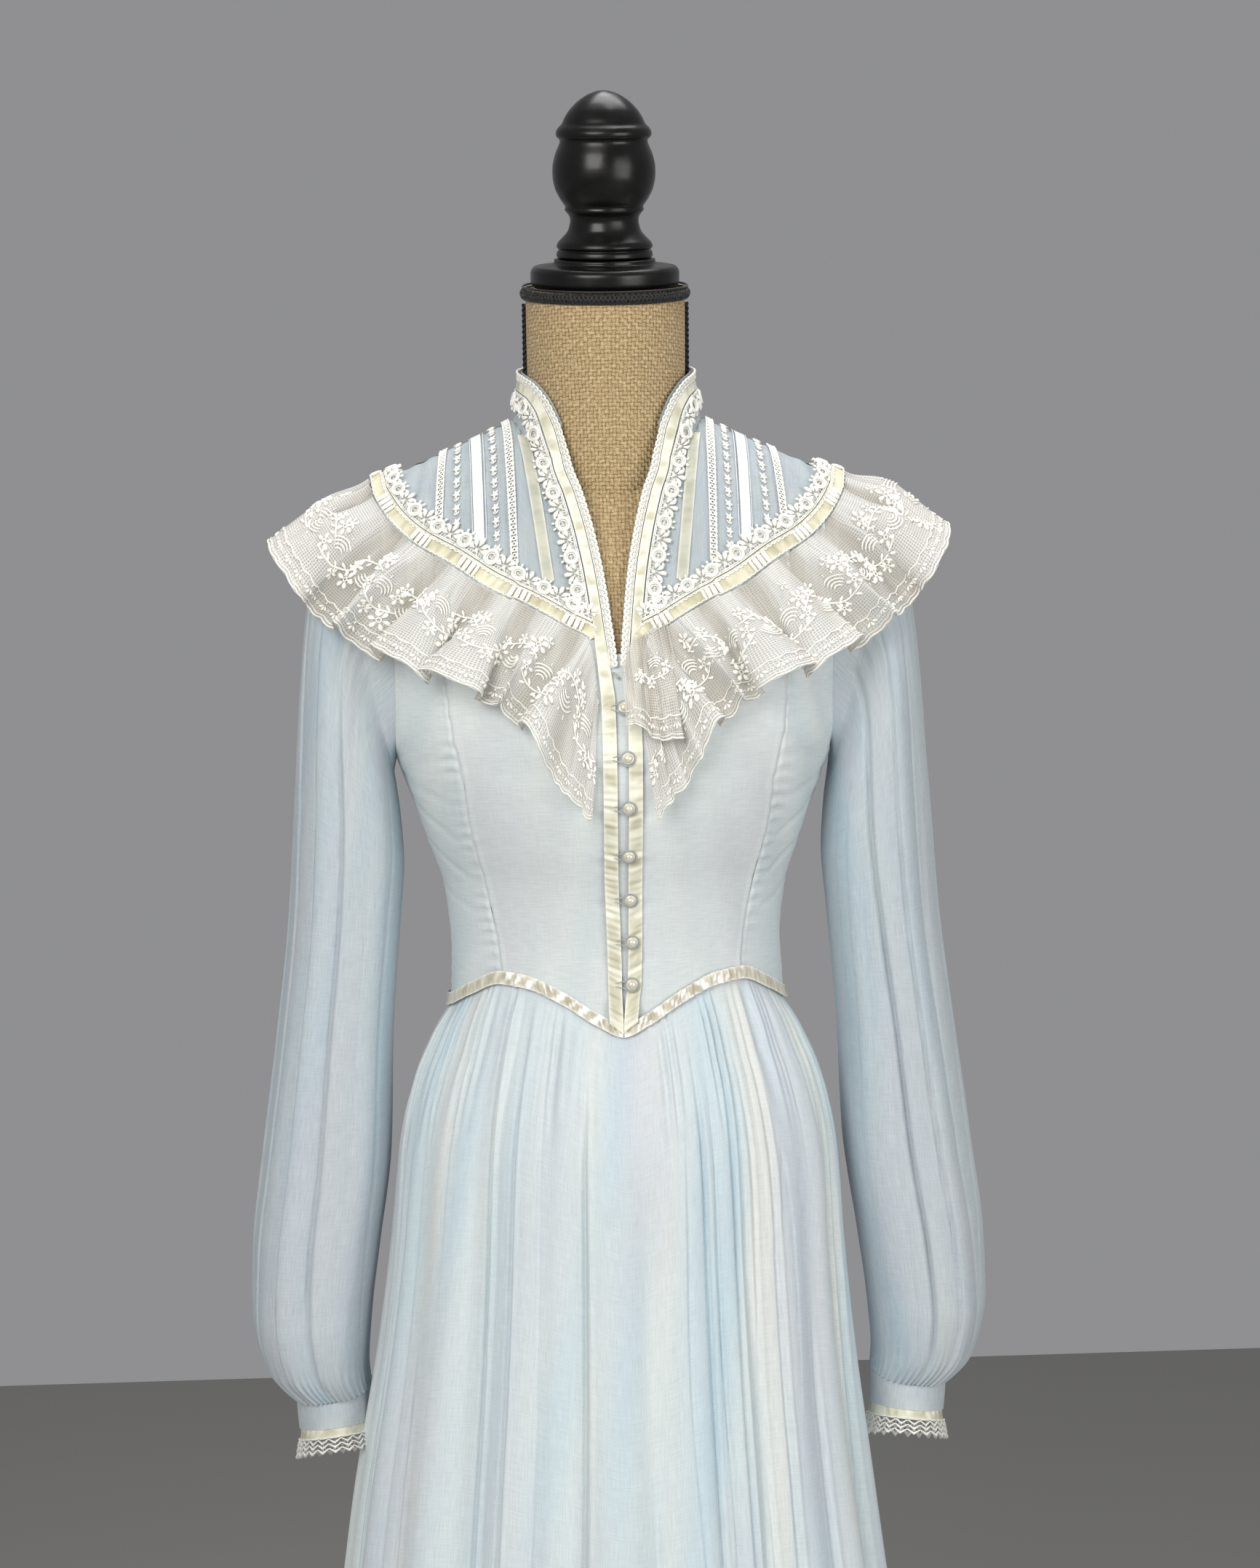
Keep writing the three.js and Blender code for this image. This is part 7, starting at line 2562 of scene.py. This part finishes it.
@dataclass
class Buttons:
    """Pearl buttons in ringed cups with double thread loops, and the hook and eye above them."""

    radius: float = 3.8

    def frame_at(self, x: float, z: float) -> tuple[Array, Array, Array, Array]:
        """Place on the figure with its directions along X, up and out.

        Args:
            x: place along X.
            z: height.

        Returns:
            The place and the three directions.
        """
        here, right, above = Figure.on_side(np.array([x, x + 0.5, x]), np.array([z, z, z + 0.5]), -1)
        along, up = unit(right - here), unit(above - here)
        return here, along, up, unit(np.cross(along, up))

    def build(self) -> None:
        """Makes the buttons, their loops and the hook."""
        profile = np.array([(0.05, 0.0), (2.6, 0), (3.5, 0.4), (3.8, 1.2), (3.7, 2.0), (3.3, 2.35),
                            (2.95, 2.15),
                            (2.85, 2.4), (2.6, 3.2), (2.0, 3.85), (1.1, 4.25), (0.05, 4.4)])
        profile = np.array(rounded([tuple(row) for row in profile], 3))
        turn = np.arange(48) * 2 * np.pi / 48
        loops = []
        for k, (z, x, seat) in enumerate(BUTTONS):
            here, along, up, out = self.frame_at(x, z)
            middle = here + out * (3.7 + seat)
            ring = np.cos(turn)[None, :, None] * along + np.sin(turn)[None, :, None] * up
            corners = middle + ring * profile[:, :1, None] + out * profile[:, 1:, None]
            pearl = make_mesh(f"pearl_{k + 1}", corners.reshape(-1, 3), grid_faces(len(profile), 48, True))
            dress_piece(pearl, Goods.PEARL, f"pearl_button_{k + 1}")
            for spread in (0.0, 0.75):
                bend = np.linspace(-2.5, 2.5, 26)
                reach = self.radius + 0.45 + spread * 0.5
                flat = np.stack([reach * np.cos(bend), reach * np.sin(bend)], -1)
                tail = np.array([(-7.2 - x * 0.6, 0.7 + spread * 0.4)])
                path = np.concatenate([tail * [1, -1], flat, tail])
                lift = np.interp(np.arange(len(path)), [0, 4, len(path) - 5, len(path) - 1],
                                 [0.6, 0.9, 0.9, 0.6])
                place = middle + path[:, :1] * along + path[:, 1:] * up + lift[:, None] * out
                loops.append(Motif(*tube(place, 0.33, 6)))
        here, along, up, out = self.frame_at(1.0, 1263)
        for side in (-1, 1):
            t = np.linspace(0, 1, 14)
            path = here + (2.9 + 1.2 * np.sin(np.pi * t))[:, None] * out
            aside, rise = side * (1.0 + 4.5 * t), 2.2 * np.sin(2 * np.pi * t) * side
            path = path + aside[:, None] * along + rise[:, None] * up
            loops.append(Motif(*tube(path, 0.45, 6)))
        threads = Motif.joined(loops)
        dress_piece(make_mesh("thread_loops", threads.corners, threads.faces), Goods.LOOP)


# ------------ lights, camera and floor


@dataclass
class Studio:
    """A grey backdrop room with a large soft window at the dress's left, a fill and a top light."""

    aim: tuple[float, float, float] = (0.011, 0.0, 1.189)
    azimuth: float = -3.0
    elevation: float = 4.0
    roll: float = -0.95
    distance: float = 2.0
    lens: float = 69.6

    def build(self) -> None:
        """Makes the floor, the light and the camera."""
        bpy.ops.mesh.primitive_plane_add(size=6, location=(0, 0, 0))
        floor = bpy.context.object
        floor.name = "studio_floor"
        floor.data.materials.append(Finish("painted studio floor", "#8E8D8B", 0.7).make())
        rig.stage(floor)
        self.light("window", (-1.2, -2.6, 2.3), 1.7, 66, "#FFFDF8")
        self.light("fill", (1.9, -2.3, 1.5), 1.8, 38, "#FFFEFA")
        self.light("top", (0.2, 0.3, 3.1), 1.2, 26, "#FFFFFF")
        world = bpy.data.worlds.new("studio")
        bpy.context.scene.world = world
        world.use_nodes = True
        background = world.node_tree.nodes["Background"]
        background.inputs["Color"].default_value = linear("#A9A9AB")
        background.inputs["Strength"].default_value = 0.7
        self.camera()

    @staticmethod
    def light(name: str, place: tuple[float, float, float], size: float, power: float, colour: str) -> None:
        """A square soft light that faces the dress.

        Args:
            name: the object's name.
            place: where it hangs, in metres.
            size: its width in metres.
            power: its watts.
            colour: its sRGB hex colour.
        """
        data = bpy.data.lights.new(name, "AREA")
        data.shape, data.size, data.energy, data.color = "SQUARE", size, power, linear(colour)[:3]
        lamp = bpy.data.objects.new(name, data)
        bpy.context.scene.collection.objects.link(lamp)
        lamp.location = place
        lamp.rotation_euler = (Vector((0, 0, 1.1)) - Vector(place)).to_track_quat("-Z", "Y").to_euler()

    def camera(self) -> None:
        """The camera, turned a little about its own axis."""
        data = bpy.data.cameras.new("camera")
        data.sensor_fit, data.sensor_height, data.lens = "VERTICAL", 36, self.lens
        camera = bpy.data.objects.new("camera", data)
        bpy.context.scene.collection.objects.link(camera)
        azimuth, elevation = math.radians(self.azimuth), math.radians(self.elevation)
        back = Vector((math.sin(azimuth) * math.cos(elevation), -math.cos(azimuth) * math.cos(elevation),
                       math.sin(elevation)))
        camera.location = Vector(self.aim) + back * self.distance
        turn = (-back).to_track_quat("-Z", "Y")
        spin = Matrix.Rotation(math.radians(self.roll), 4, "Z")
        camera.rotation_euler = (turn.to_matrix().to_4x4() @ spin).to_euler()
        bpy.context.scene.camera = camera


def main() -> None:
    """Builds the dress, its form and the studio."""
    logging.basicConfig(level=logging.INFO, format="%(message)s")
    for part in (DressForm(), Bodice(), Yoke(), Ruffle(), Sleeves(), Skirt(), Buttons(), Studio()):
        LOG.info("%s", type(part).__name__)
        part.build()
    bpy.context.scene.view_settings.view_transform = "Standard"
    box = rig.bounds()
    with open("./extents.json", "w") as file:
        json.dump({"cad": [list(corner) for corner in CAD_BOX], "visual": [list(corner) for corner in box]},
                  file)


if __name__ == "__main__":
    main()
